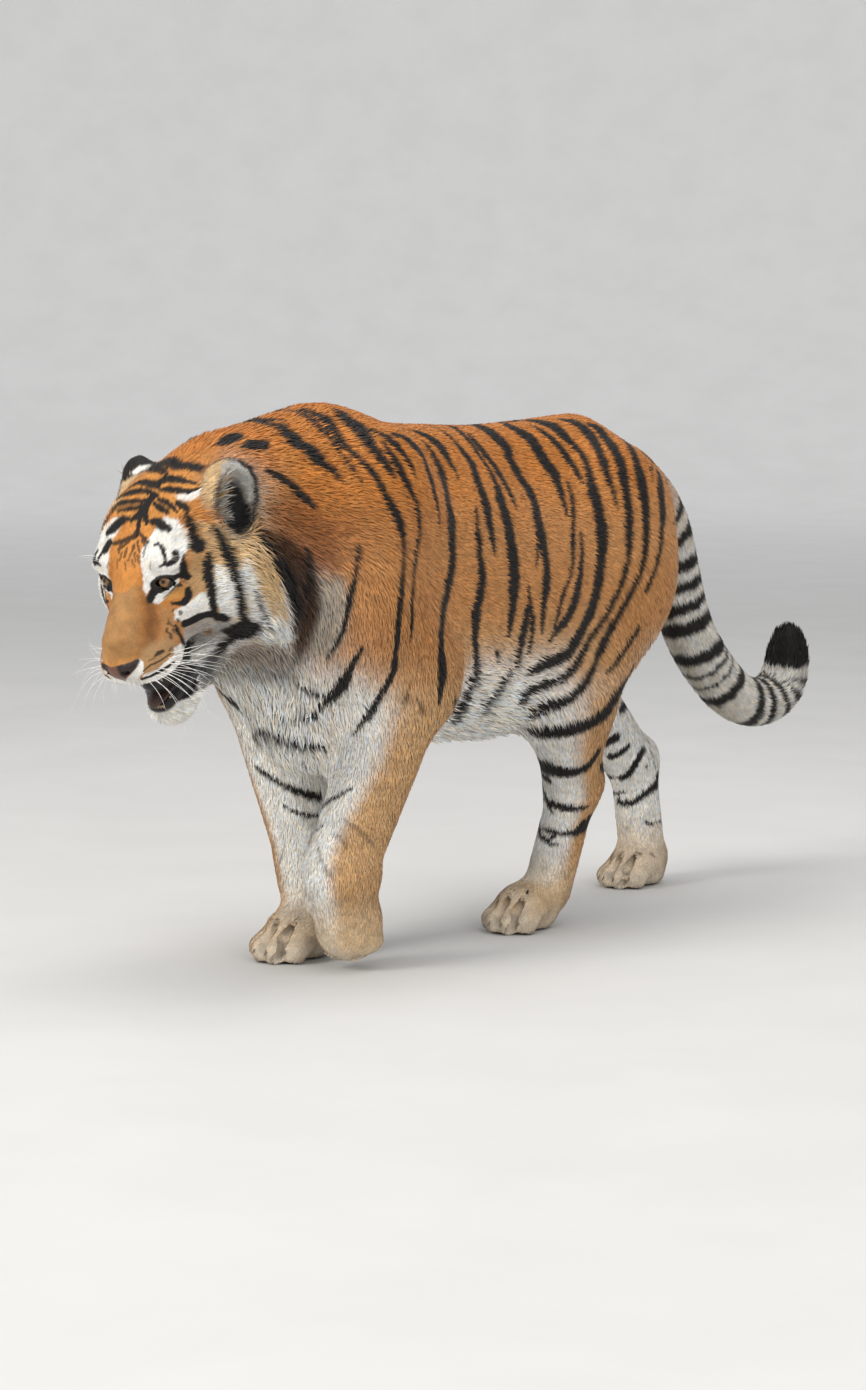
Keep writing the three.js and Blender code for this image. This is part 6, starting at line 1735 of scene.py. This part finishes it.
u2 = (np.arange(len(k)) / g2 ** 2 + rng.random() + rng.random(len(k)) * .15) % 1
flip = u1 + u2 > 1
u1[flip], u2[flip] = 1 - u1[flip], 1 - u2[flip]
bc = np.stack([1 - u1 - u2, u1, u2], 1)


def at_root(x):
    a = x[F[face_i]]
    return (a * (bc[:, :, None] if x.ndim == 2 else bc)).sum(1)


RP, RN, RD = at_root(VS), unit(at_root(N)), at_root(FLOW)
RV = at_root(V)
RL, RW, RLIFT = at_root(LEN), at_root(WID), at_root(LIFT)
RWt = at_root(Wt)
RBASE = at_root(BASE)
del A3, B3, C3
n = len(RP)
say("roots", n)
# every tuft a little different
stir = .12 + .10 * wobble(RP, 30.) ** 2
ang = rng.normal(0, 1, n) * stir + .22 * wobble(RP, 24., 3.) * smooth(.012, .03, RL)
side = unit(np.cross(RN, RD))
RD = unit(RD - RN * (RD * RN).sum(1, keepdims=True))
RD = RD * np.cos(ang)[:, None] + side * np.sin(ang)[:, None]
side = unit(np.cross(RN, RD))
RL = RL * rng.uniform(.70, 1.15, n)
RW = RW * rng.uniform(.75, 1.25, n)
RLIFT = RLIFT * rng.uniform(.75, 1.25, n)
for s_ in (1, -1):       # very short and flat beside the eyes
    r_ = np.linalg.norm(to_head(RV) - EYE_AT * np.array([s_, 1, 1]), axis=1)
    RLIFT = RLIFT * (.55 + .45 * smooth(.018, .036, r_))
# colour is read where the tuft is widest and again near its tip, so that stripes keep their edges
tone = 1 + rng.normal(0, .105, n) + .09 * wobble(RP, 45., 5.)
warm = rng.normal(0, .055, n)
TINT = tone[:, None] * np.stack([1 + warm, np.ones(n), 1 - warm * 1.5], 1)


def tuft_colour(along):
    P = RV + RD * (RL * along)[:, None]
    col, ink = marked(P, RN, RBASE.copy(), RWt, .8)
    ink = np.maximum(ink, eye_rim(to_head(P)))
    ink = np.clip(ink + rng.normal(0, .05, n) * (ink > .1) * (ink < .9), 0, 1)
    return np.clip(mix(col * TINT, BLACK * 1.1 * tone[:, None], ink), .003, .92)


COL_MID, COL_TIP = tuft_colour(.36), tuft_colour(.86)
say("markings on the coat")
HEADR = RWt[:, 7] + RWt[:, 8] + RWt[:, 9] + RWt[:, 10]


FLOOR = -SHIFT[2] + .0003


def slivers(P, Nn, D, S, L, Wd, lift, curl, c_mid, c_tip, root_painted_shade=.72, tip_painted_light=1.12):
    """Closed four-sided slivers: a buried root, the two ends of a ridge, and a tip that lies down."""
    m = len(P)
    a = np.radians(lift)
    H, fwd = L * np.sin(a), L * np.cos(a)

    def at(t):
        return P + D * (fwd * t)[:, None] + Nn * (H * (1 - (1 - t) ** 2))[:, None]
    mid = at(.40)
    root = P - Nn * (.0005 + H * .04)[:, None]
    left, right = mid + S * (Wd * .5)[:, None], mid - S * (Wd * .5)[:, None]
    tip = at(1.) + S * (L * curl)[:, None]
    X = np.stack([root, left, right, tip], 1).reshape(-1, 3)
    X[:, 2] = np.maximum(X[:, 2], FLOOR)
    o = (np.arange(m) * 4)[:, None]
    base = np.array([[0, 2, 1], [1, 2, 3], [0, 1, 3], [0, 3, 2]])
    Ft = (o[:, None] + base[None]).reshape(-1, 3)
    fn = np.cross(X[Ft[:, 1]] - X[Ft[:, 0]], X[Ft[:, 2]] - X[Ft[:, 0]]).reshape(m, 4, 3)
    cen = X.reshape(m, 4, 3).mean(1)
    fc = X[Ft].mean(1).reshape(m, 4, 3)
    wrong = ((fc - cen[:, None]) * fn).sum(-1).sum(-1) < 0
    Ft = Ft.reshape(m, 4, 3)
    Ft[wrong] = Ft[wrong][:, :, ::-1]
    fn[wrong] *= -1
    Ft, fn = Ft.reshape(-1, 3), unit(fn)
    nn = fn.copy()
    nn[:, :2] = unit(Nn[:, None] * .75 + fn[:, :2] * .40)
    bad = (nn * fn).sum(-1) < .06
    nn[bad] = fn[bad]
    cn = np.repeat(nn.reshape(-1, 1, 3), 3, 1).reshape(-1, 3)
    # the root is painted darker, painted shade down in the coat, and the tip lighter, painted light on the hair's end
    col = np.stack([c_mid * root_painted_shade, c_mid, c_mid, c_tip * tip_painted_light], 1)
    return X, Ft, cn, np.clip(col, .002, .95).reshape(-1, 3)


def tufts(sel):
    curl = rng.normal(0, .06, len(sel))
    pale = smooth(.30, .55, COL_MID[sel][:, 2])[:, None]
    # pale hair gets less painted shade at the root and less painted light at the tip
    return slivers(RP[sel], RN[sel], RD[sel], side[sel], RL[sel], RW[sel], RLIFT[sel], curl, COL_MID[sel], COL_TIP[sel], .68 + .22 * pale, 1.12 - .04 * pale)


def charts(P, Nn):
    """Places of the roots on an unwrap: six flat views of this stretch of skin, side by side."""
    ax = np.argmax(np.abs(Nn), 1)
    key = ax * 2 + (Nn[np.arange(len(P)), ax] > 0)
    rects, uvs = [], np.zeros((len(P), 2))
    for kk in range(6):
        m = key == kk
        if not m.any():
            continue
        a = kk // 2
        w = P[m][:, [(a + 1) % 3, (a + 2) % 3]]
        lo = w.min(0)
        size = w.max(0) - lo + .006
        uvs[m] = w - lo + .003
        rects.append([kk, size[0], size[1]])
    rects.sort(key=lambda r: -r[2])
    best = None
    for width in np.linspace(max(r[1] for r in rects), sum(r[1] for r in rects) + 1e-6, 14):
        x = y = row = 0.
        spots = {}
        for kk, w, h in rects:
            if x + w > width + 1e-9:
                x, y, row = 0., y + row, 0.
            spots[kk] = (x, y)
            x, row = x + w, max(row, h)
        sz = max(width, y + row)
        if best is None or sz < best[0]:
            best = (sz, spots)
    sz, spots = best
    for kk, (x, y) in spots.items():
        m = key == kk
        uvs[m] = (uvs[m] + (x, y))
    return uvs / sz


def region_of():
    g = np.argmax(RWt, 1)
    names = np.array(['trunk', 'neck', 'leg_hind_left', 'leg_hind_right', 'leg_fore_left', 'leg_fore_right', 'tail', 'head', 'ruff', 'jaw', 'ears'])[g].astype(object)
    y, x = RP[:, 1], RP[:, 0]
    t = g == 0
    names[t & (y < -.13)] = 'chest'
    names[t & (y >= -.13) & (y < .17)] = 'flank'
    names[t & (y >= .17)] = 'rump'
    for nm in ('chest', 'flank', 'rump', 'neck', 'ruff'):
        m = names == nm
        names[m & (x >= 0)] = nm + '_left'
        names[m & (x < 0)] = nm + '_right'
    return names


REG = region_of()
total = 0
for name in sorted(set(REG)):
    ids = np.nonzero(REG == name)[0]
    parts = max(1, int(np.ceil(len(ids) * 4 / 180000)))
    if parts > 1:
        order = np.argsort((to_head(RP[ids])[:, 1] if name == 'head' else RP[ids, 1]))
        groups = [ids[o] for o in np.array_split(order, parts)]
    else:
        groups = [ids]
    for j, sel in enumerate(groups):
        X, Ft, cn, col = tufts(sel)
        uv0 = charts(RV[sel], RN[sel])
        r = .0015
        spread = np.array([[0, -r], [-r, 0], [r, 0], [0, r]])
        uvv = (uv0[:, None, :] * (1 - 2 * r) + r + spread[None]).reshape(-1, 2)
        ob = new_mesh(f"coat_{name}" + (f"_{j + 1}" if parts > 1 else ""), X, Ft, MAT_COAT,
                      attrs=[("coat", 'FLOAT_COLOR', rgba(col))], corner_normals=cn, uv=uvv[Ft.ravel()])
        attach(ob, "root")
        total += len(Ft)
        assert len(Ft) < 200000
say("coat triangles", total)

# long pale hairs across the hollow of each ear, from its front and lower edge
er = np.random.default_rng(31)
for s_ in (1, -1):
    base, R = ear_frame(s_)
    m_ = 460
    t_ = er.uniform(0, 1, m_)
    deep = er.uniform(0, 1, m_)
    # a run down the front edge and along the bottom of the hollow
    fx = -s_ * np.interp(t_, [0, .45, .75, 1.], [.022, .030, .024, .004]) * (1 - .30 * deep)
    fz = np.interp(t_, [0, .45, .75, 1.], [.038, .002, -.028, -.040]) * (1 - .15 * deep)
    r0 = base + fx[:, None] * R[:, 0] + fz[:, None] * R[:, 2] + .016 * R[:, 1]
    # let them down onto the skin along the ear's own outward direction
    for _ in range(14):
        r0 = r0 - R[:, 1] * np.clip(field(r0), -.004, .004)[:, None]
    p_ = r0
    n_ = unit(gradient(field, p_, 1e-3))
    out_ = R[:, 1]
    d_ = (s_ * (.30 + .50 * er.random(m_)))[:, None] * R[:, 0] + (1.0 - .80 * t_ + er.normal(0, .22, m_))[:, None] * R[:, 2] + (.34 + .20 * er.random(m_))[:, None] * out_
    d_ = unit(d_)
    s2 = unit(np.cross(d_, out_ + er.normal(0, .3, (m_, 3))))
    up_ = np.cross(s2, d_)
    up_ = up_ * np.sign(up_ @ out_)[:, None]
    L_ = np.interp(t_, [0, .5, 1.], [.024, .031, .018]) * er.uniform(.30, 1.30, m_)
    gold = er.random(m_) < .45 * (1 - t_)
    c_ = np.where(gold[:, None], np.array([.50, .31, .13]), np.array([.60, .57, .50])) * er.uniform(.35, 1.1, m_)[:, None]
    X, Ft, cn, col = slivers(p_, up_, d_, s2, L_, er.uniform(.0004, .0009, m_), np.full(m_, -6.), er.normal(0, .12, m_), c_, c_)
    uv0 = charts(p_, n_)
    uvv = (uv0[:, None, :] * .997 + .0015 + np.array([[0, -.0015], [-.0015, 0], [.0015, 0], [0, .0015]])[None]).reshape(-1, 2)
    ob = new_mesh("coat_ear_hairs_" + ("left" if s_ > 0 else "right"), X, Ft, MAT_COAT, attrs=[("coat", 'FLOAT_COLOR', rgba(col))], corner_normals=cn, uv=uvv[Ft.ravel()])
    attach(ob, "root")


# ------------------------------------------------------------------ eyes
def eyeball(s):
    c = W(EYE_AT * np.array([s, 1, 1]))
    a, g, u = (HM @ v for v in eye_axes(s))
    # the eyes look a little towards the front
    rings, seg = 40, 64
    th = np.concatenate([np.linspace(0, .62, 26), np.linspace(.66, math.pi, 15)[1:]])
    iris_half = .67                                    # the iris's edge, radians from the gaze
    Vv, rad, spoke = [], [], []
    for i, t in enumerate(th):
        bulge = .0013 * max(0., 1 - (t / .74) ** 2)     # cornea
        for j in range(seg if 0 < t < math.pi - 1e-6 else 1):
            p = 2 * math.pi * j / seg
            d = g * math.cos(t) + (a * math.cos(p) + u * math.sin(p)) * math.sin(t)
            Vv.append(c + d * (EYE_R - .0002 + bulge))
            rad.append(min(t / iris_half, 1.0))
            spoke.append((math.cos(p) * 1.5, math.sin(p) * 1.5, t * .4, 1.))
    Fv, start = [], []
    o = 0
    for t in th:
        start.append(o)
        o += seg if 0 < t < math.pi - 1e-6 else 1
    for i in range(len(th) - 1):
        n0 = start[i + 1] - start[i]
        n1 = (start[i + 2] if i + 2 < len(start) else o) - start[i + 1]
        for j in range(seg):
            k2 = (j + 1) % seg
            if n0 == 1:
                Fv.append((start[i], start[i + 1] + j, start[i + 1] + k2))
            elif n1 == 1:
                Fv.append((start[i] + j, start[i + 1], start[i] + k2))
            else:
                Fv.append((start[i] + j, start[i + 1] + j, start[i + 1] + k2))
                Fv.append((start[i] + j, start[i + 1] + k2, start[i] + k2))
    Vv, Fv = np.array(Vv), np.array(Fv)
    fn = np.cross(Vv[Fv[:, 1]] - Vv[Fv[:, 0]], Vv[Fv[:, 2]] - Vv[Fv[:, 0]])
    if ((Vv[Fv].mean(1) - c) * fn).sum() < 0:
        Fv = Fv[:, ::-1]
    name = "eye_left" if s > 0 else "eye_right"
    ob = new_mesh("eyeball_" + name[4:], Vv, Fv, MAT_EYE, attrs=[("iris", 'FLOAT', np.array(rad)), ("spoke", 'FLOAT_COLOR', np.array(spoke))])
    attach(ob, "root")
    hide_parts(name)


for s_ in (1, -1):
    eyeball(s_)


# ------------------------------------------------------------------ tubes: claws, teeth, whiskers
def tube(path, radii, sides, flat=1., up=None):
    path, radii = np.asarray(path, float), np.asarray(radii, float)
    d = unit(np.gradient(path, axis=0))
    ref = np.array([0, 0, 1.]) if up is None else np.asarray(up, float)
    s = unit(np.cross(d, ref) + 1e-9)
    t = np.cross(s, d)
    ang = np.arange(sides) * 2 * np.pi / sides
    ring = path[:, None] + radii[:, None, None] * (s[:, None] * (np.cos(ang) * flat)[None, :, None] + t[:, None] * np.sin(ang)[None, :, None])
    n = len(path)
    X = np.concatenate([ring.reshape(-1, 3), path[:1] - d[:1] * radii[0] * .3, path[-1:] + d[-1:] * radii[-1]])
    Fq = []
    for i in range(n - 1):
        for j in range(sides):
            a, b = i * sides + j, i * sides + (j + 1) % sides
            Fq += [(a, b, b + sides), (a, b + sides, a + sides)]
    for j in range(sides):
        Fq.append((n * sides, (j + 1) % sides, j))
        Fq.append((n * sides + 1, (n - 1) * sides + j, (n - 1) * sides + (j + 1) % sides))
    Fq = np.array(Fq)
    fn = np.cross(X[Fq[:, 1]] - X[Fq[:, 0]], X[Fq[:, 2]] - X[Fq[:, 0]])
    vol = (X[Fq[:, 0]] * fn).sum()
    return X, (Fq if vol > 0 else Fq[:, ::-1])


def join(pieces):
    X, Fj, o = [], [], 0
    for x, f in pieces:
        X.append(x)
        Fj.append(f + o)
        o += len(x)
    return np.concatenate(X), np.concatenate(Fj)


# claws: a curved horn over each CAD claw's own place
for nm, ob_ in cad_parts.items():
    if not nm.startswith("claw"):
        continue
    co = np.array([v.co[:] for v in ob_.data.vertices]) - SHIFT
    m = co.mean(0)
    w, vec = np.linalg.eigh(np.cov((co - m).T))
    ax = vec[:, 2]
    if ax[2] > 0:
        ax = -ax                                       # towards the tip, which points down
    t = (co - m) @ ax
    a, b = m + ax * t.min(), m + ax * t.max()
    tipv = co[np.argmax(t)]
    mid = (a + b) / 2
    path = [a * (1 - s) ** 2 + 2 * s * (1 - s) * (mid + (mid - (a + tipv) / 2) * 1.2) + tipv * s * s for s in np.linspace(0, 1, 9)]
    thick = .0052
    if "fore_left" in nm:                              # the lifted paw keeps its claws in the fur
        back = unit(path[0] - path[-1]) * .006
        path, thick = [p + back for p in path], .0040
    X, Fc = tube(path, thick * (1 - np.linspace(0, .93, 9) ** 1.4), 12, .62)
    X[:, 2] = np.maximum(X[:, 2], FLOOR)
    oc = new_mesh("horn_" + nm, X, Fc, MAT_CLAW)
    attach(oc, "root")
    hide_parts(nm)

# upper canines, just showing under the lip
teeth = []
for s in (1, -1):
    base, tip = np.array([s * .0365, .199, -.074]), np.array([s * .0355, .203, -.097])
    path = [W(base + (tip - base) * t + np.array([0, .003, 0]) * math.sin(math.pi * t)) for t in np.linspace(0, 1, 8)]
    teeth.append(tube(path, .0052 * (1 - np.linspace(0, .90, 8) ** 1.6), 12, .85))
    lb, lt = jw(np.array([s * .022, .206, -.102])), jw(np.array([s * .0225, .209, -.0885]))
    path = [W(lb + (lt - lb) * t) for t in np.linspace(0, 1, 7)]
    teeth.append(tube(path, .0040 * (1 - np.linspace(0, .90, 7) ** 1.6), 12, .85))
for x in np.linspace(-.014, .014, 6):
    b0, b1 = jw(np.array([x, .226 - abs(x) * .12, -.100])), jw(np.array([x, .229 - abs(x) * .12, -.0905]))
    teeth.append(tube([W(b0), W((b0 + b1) / 2), W(b1)], [.0022, .0022, .0012], 8, .8))
X, Fj = join(teeth)
ob = new_mesh("teeth", X, Fj, MAT_TOOTH)
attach(ob, "root")

# tongue: a fuller shape over the CAD tongue
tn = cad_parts["tongue"]
co = np.array([v.co[:] for v in tn.data.vertices]) - SHIFT
c = co.mean(0)
jm = HM @ np.stack([np.array([1, 0, 0]), jw((0, 1, 0)) - jw((0, 0, 0)), jw((0, 0, 1)) - jw((0, 0, 0))], 1)
nu, nv = 28, 48
Vt, Ft = [], []
for i in range(nu + 1):
    th = math.pi * i / nu
    for j in range(nv):
        ph = 2 * math.pi * j / nv
        x, y, z = math.sin(th) * math.cos(ph), math.cos(th), math.sin(th) * math.sin(ph)
        p = np.array([.0235 * x * (1 - .15 * max(0, -y)), .049 * y, .0047 * z - .0018 * max(0, 1 - (x / .35) ** 2) * (z > 0)])
        Vt.append(c + jm @ p)
for i in range(nu):
    for j in range(nv):
        a, b = i * nv + j, i * nv + (j + 1) % nv
        Ft += [(a, b, b + nv), (a, b + nv, a + nv)]
Vt, Ft = np.array(Vt), np.array(Ft)
ln = np.linalg.norm(np.cross(Vt[Ft[:, 1]] - Vt[Ft[:, 0]], Vt[Ft[:, 2]] - Vt[Ft[:, 0]]), axis=1)
Ft = Ft[ln > 1e-12]
fn = np.cross(Vt[Ft[:, 1]] - Vt[Ft[:, 0]], Vt[Ft[:, 2]] - Vt[Ft[:, 0]])
if ((Vt[Ft].mean(1) - c) * fn).sum() < 0:
    Ft = Ft[:, ::-1]
ob = new_mesh("tongue_soft", Vt, Ft, MAT_TONGUE)
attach(ob, "root")
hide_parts("tongue")

# whiskers: root, a place on the way and the end, in the camera's frame, out towards the tiger's left
wr = np.random.default_rng(23)
WHISKERS = [(172, 652.5, 198, 646, 228, 641), (176, 652, 200, 654, 226, 658), (178, 657, 206, 655, 236, 661), (179, 660.5, 203, 661, 226, 665),
            (180, 663.5, 205, 667, 228, 674), (177, 667.5, 200, 671, 219, 680), (172, 664, 196, 660, 222, 650), (166, 671, 190, 681, 212, 697),
            (168, 673.5, 190, 688, 208, 707), (162, 674, 184, 690, 202, 712), (157, 675, 180, 688, 223, 724), (160, 668, 188, 676, 216, 690),
            (164, 663, 190, 668, 213, 684), (152, 679, 168, 690, 181, 706), (156, 680, 172, 696, 182, 716), (169, 658, 194, 650, 218, 636),
            (148, 681, 159, 694, 166, 711), (163, 669, 186, 671, 210, 676), (173, 661, 199, 664, 230, 668), (155, 671, 180, 680, 205, 700)]
hairs = []


def pixel_ray(px):
    return unit(CAM_FWD + ((px[0] - 433) / FPX) * CAM_RIGHT - ((px[1] - 695) / FPX) * CAM_UP)


def mirrored(P):
    return HO + (to_head(P) * np.array([-1, 1, 1])) @ HM.T


for w_ in WHISKERS:
    r0 = onto_body([w_[:2]])[0]
    dist = np.linalg.norm(r0 - CAM_POS)
    run = math.hypot(w_[4] - w_[0], w_[5] - w_[1]) * dist / FPX
    p1 = CAM_POS + pixel_ray(w_[2:4]) * (dist - .30 * run * .5)
    p2 = CAM_POS + pixel_ray(w_[4:6]) * (dist - .22 * run)
    c1 = 2 * p1 - (r0 + p2) / 2
    path = np.array([r0 * (1 - u) ** 2 + 2 * u * (1 - u) * c1 + p2 * u * u for u in np.linspace(0, 1, 12)])
    path[0] = r0 - (path[1] - path[0]) * .12
    rad = .00056 * (1 - np.linspace(0, .84, 12))
    hairs.append(tube(path, rad, 5))
    other = mirrored(path)
    other = other[0] + (other - other[0]) * wr.uniform(.80, 1.05) + np.linspace(0, 1, 12)[:, None] * wr.normal(0, .006, 3)
    hairs.append(tube(other, rad * .9, 5))
for s in (1, -1):
    for kx in range(4):                                 # brow
        q = np.array([s * (.052 + .007 * kx), .098 - .004 * kx, .070 + .002 * kx])
        p = project((W(q))[None], n=4, f=field, cap=.02)[0]
        d = HM @ unit(np.array([s * (.60 + .14 * kx), .20, .65 - .10 * kx + .1 * wr.normal()]))
        length = wr.uniform(.040, .065)
        path = [p + d * (length * u) + np.array([0, .35, -.25]) * (length * u * u) for u in np.linspace(-.02, 1, 10)]
        hairs.append(tube(path, .00034 * (1 - np.linspace(0, .86, 10)), 5))
    for kx in range(16):                                # chin
        j = np.array([s * wr.uniform(.002, .044), wr.uniform(.165, .232), -.150])
        p = project((W(jw(j)))[None], n=5, f=field, cap=.02)[0]
        d = HM @ unit(np.array([s * (.10 + 5 * abs(j[0])), .10 + .2 * wr.normal(), -.9]))
        length = wr.uniform(.014, .034)
        path = [p + d * (length * u) + np.array([0, .0, -.25]) * (length * u * u) for u in np.linspace(-.04, 1, 7)]
        hairs.append(tube(path, .00032 * (1 - np.linspace(0, .86, 7)), 5))
    for kx in range(14):                                # front of the upper lip
        q = np.array([s * wr.uniform(.003, .036), .246, wr.uniform(-.080, -.052)])
        p = project((W(q))[None], n=4, f=field, cap=.02)[0]
        d = HM @ unit(np.array([s * (.35 + .3 * wr.normal()), .45, -.75 + .2 * wr.normal()]))
        length = wr.uniform(.008, .020)
        path = [p + d * (length * u) + np.array([0, .0, -.3]) * (length * u * u) for u in np.linspace(-.04, 1, 6)]
        hairs.append(tube(path, .00030 * (1 - np.linspace(0, .86, 6)), 5))
X, Fj = join(hairs)
ob = new_mesh("whiskers", X, Fj, MAT_WHISKER)
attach(ob, "root")
say("small pieces")

# ------------------------------------------------------------------ floor and light
fm, nt, b = material("studio_floor")
n1 = noise(nt, 3., 3.)
r1 = ramp(nt, n1.outputs["Fac"], [(.3, (.565, .559, .546)), (.7, (.592, .586, .573))])
# the floor and its far wall are painted brighter with distance, up to 1.6 times at 20 m: painted light that makes up
# for the little lamp light reaching the far wall
tc = node(nt, "ShaderNodeTexCoord")
far = node(nt, "ShaderNodeVectorMath", operation='LENGTH')
nt.links.new(tc.outputs["Object"], far.inputs[0])
span = node(nt, "ShaderNodeMapRange")
span.inputs["From Min"].default_value = 4.
span.inputs["From Max"].default_value = 20.
nt.links.new(far.outputs["Value"], span.inputs["Value"])
r2 = ramp(nt, span.outputs[0], [(.0, (1., 1., 1.)), (.25, (1.06, 1.06, 1.06)), (.8, (1.60, 1.60, 1.60))])
nt.links.new(mul(nt, r1.outputs[0], r2.outputs[0]), b.inputs["Base Color"])
b.inputs["Roughness"].default_value = .75
me = bpy.data.meshes.new("studio_floor")
prof = [(.001, 0), (6, 0), (12, 0), (16, 0)] + [(16 + 6 * math.sin(a), 6 - 6 * math.cos(a)) for a in np.linspace(.1, 1.5, 12)] + [(22.2, 11)]
nseg = 72
fv = [(r * math.cos(2 * math.pi * j / nseg), r * math.sin(2 * math.pi * j / nseg), z) for r, z in prof for j in range(nseg)]
ff = [(i * nseg + j, i * nseg + (j + 1) % nseg, (i + 1) * nseg + (j + 1) % nseg, (i + 1) * nseg + j) for i in range(len(prof) - 1) for j in range(nseg)]
me.from_pydata(fv, [], ff)
me.polygons.foreach_set("use_smooth", [True] * len(ff))
me.materials.append(fm)
floor = bpy.data.objects.new("studio_floor", me)
bpy.context.scene.collection.objects.link(floor)

world = bpy.data.worlds.new("studio")
bpy.context.scene.world = world
world.use_nodes = True
bg = world.node_tree.nodes["Background"]
bg.inputs[0].default_value = (.94, .96, 1.0, 1)
bg.inputs[1].default_value = .62


def light(name, at, aim, size, power, colour):
    d = bpy.data.lights.new(name, 'AREA')
    d.shape = 'RECTANGLE'
    d.size, d.size_y = size
    d.energy = power
    d.color = colour
    o = bpy.data.objects.new(name, d)
    o.location = at
    o.rotation_euler = (Vector(aim) - Vector(at)).to_track_quat('-Z', 'Y').to_euler()
    o.visible_camera = False
    bpy.context.scene.collection.objects.link(o)


light("top", (.3, -.5, 6.6), (0, 0, .6), (5.4, 5.4), 260, (1., .985, .95))
light("key", (-2.0, -8.2, 4.9), (0, -.3, .5), (3.8, 3.8), 520, (1., .965, .91))
light("fill", (7.4, -3.9, 3.0), (0, 0, .5), (4.8, 4.8), 235, (.97, .985, 1.))
sc = bpy.context.scene
sc.view_settings.view_transform = 'Standard'
sc.view_settings.look = 'None'
sc.view_settings.exposure = 0.0

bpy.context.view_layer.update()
say("done")
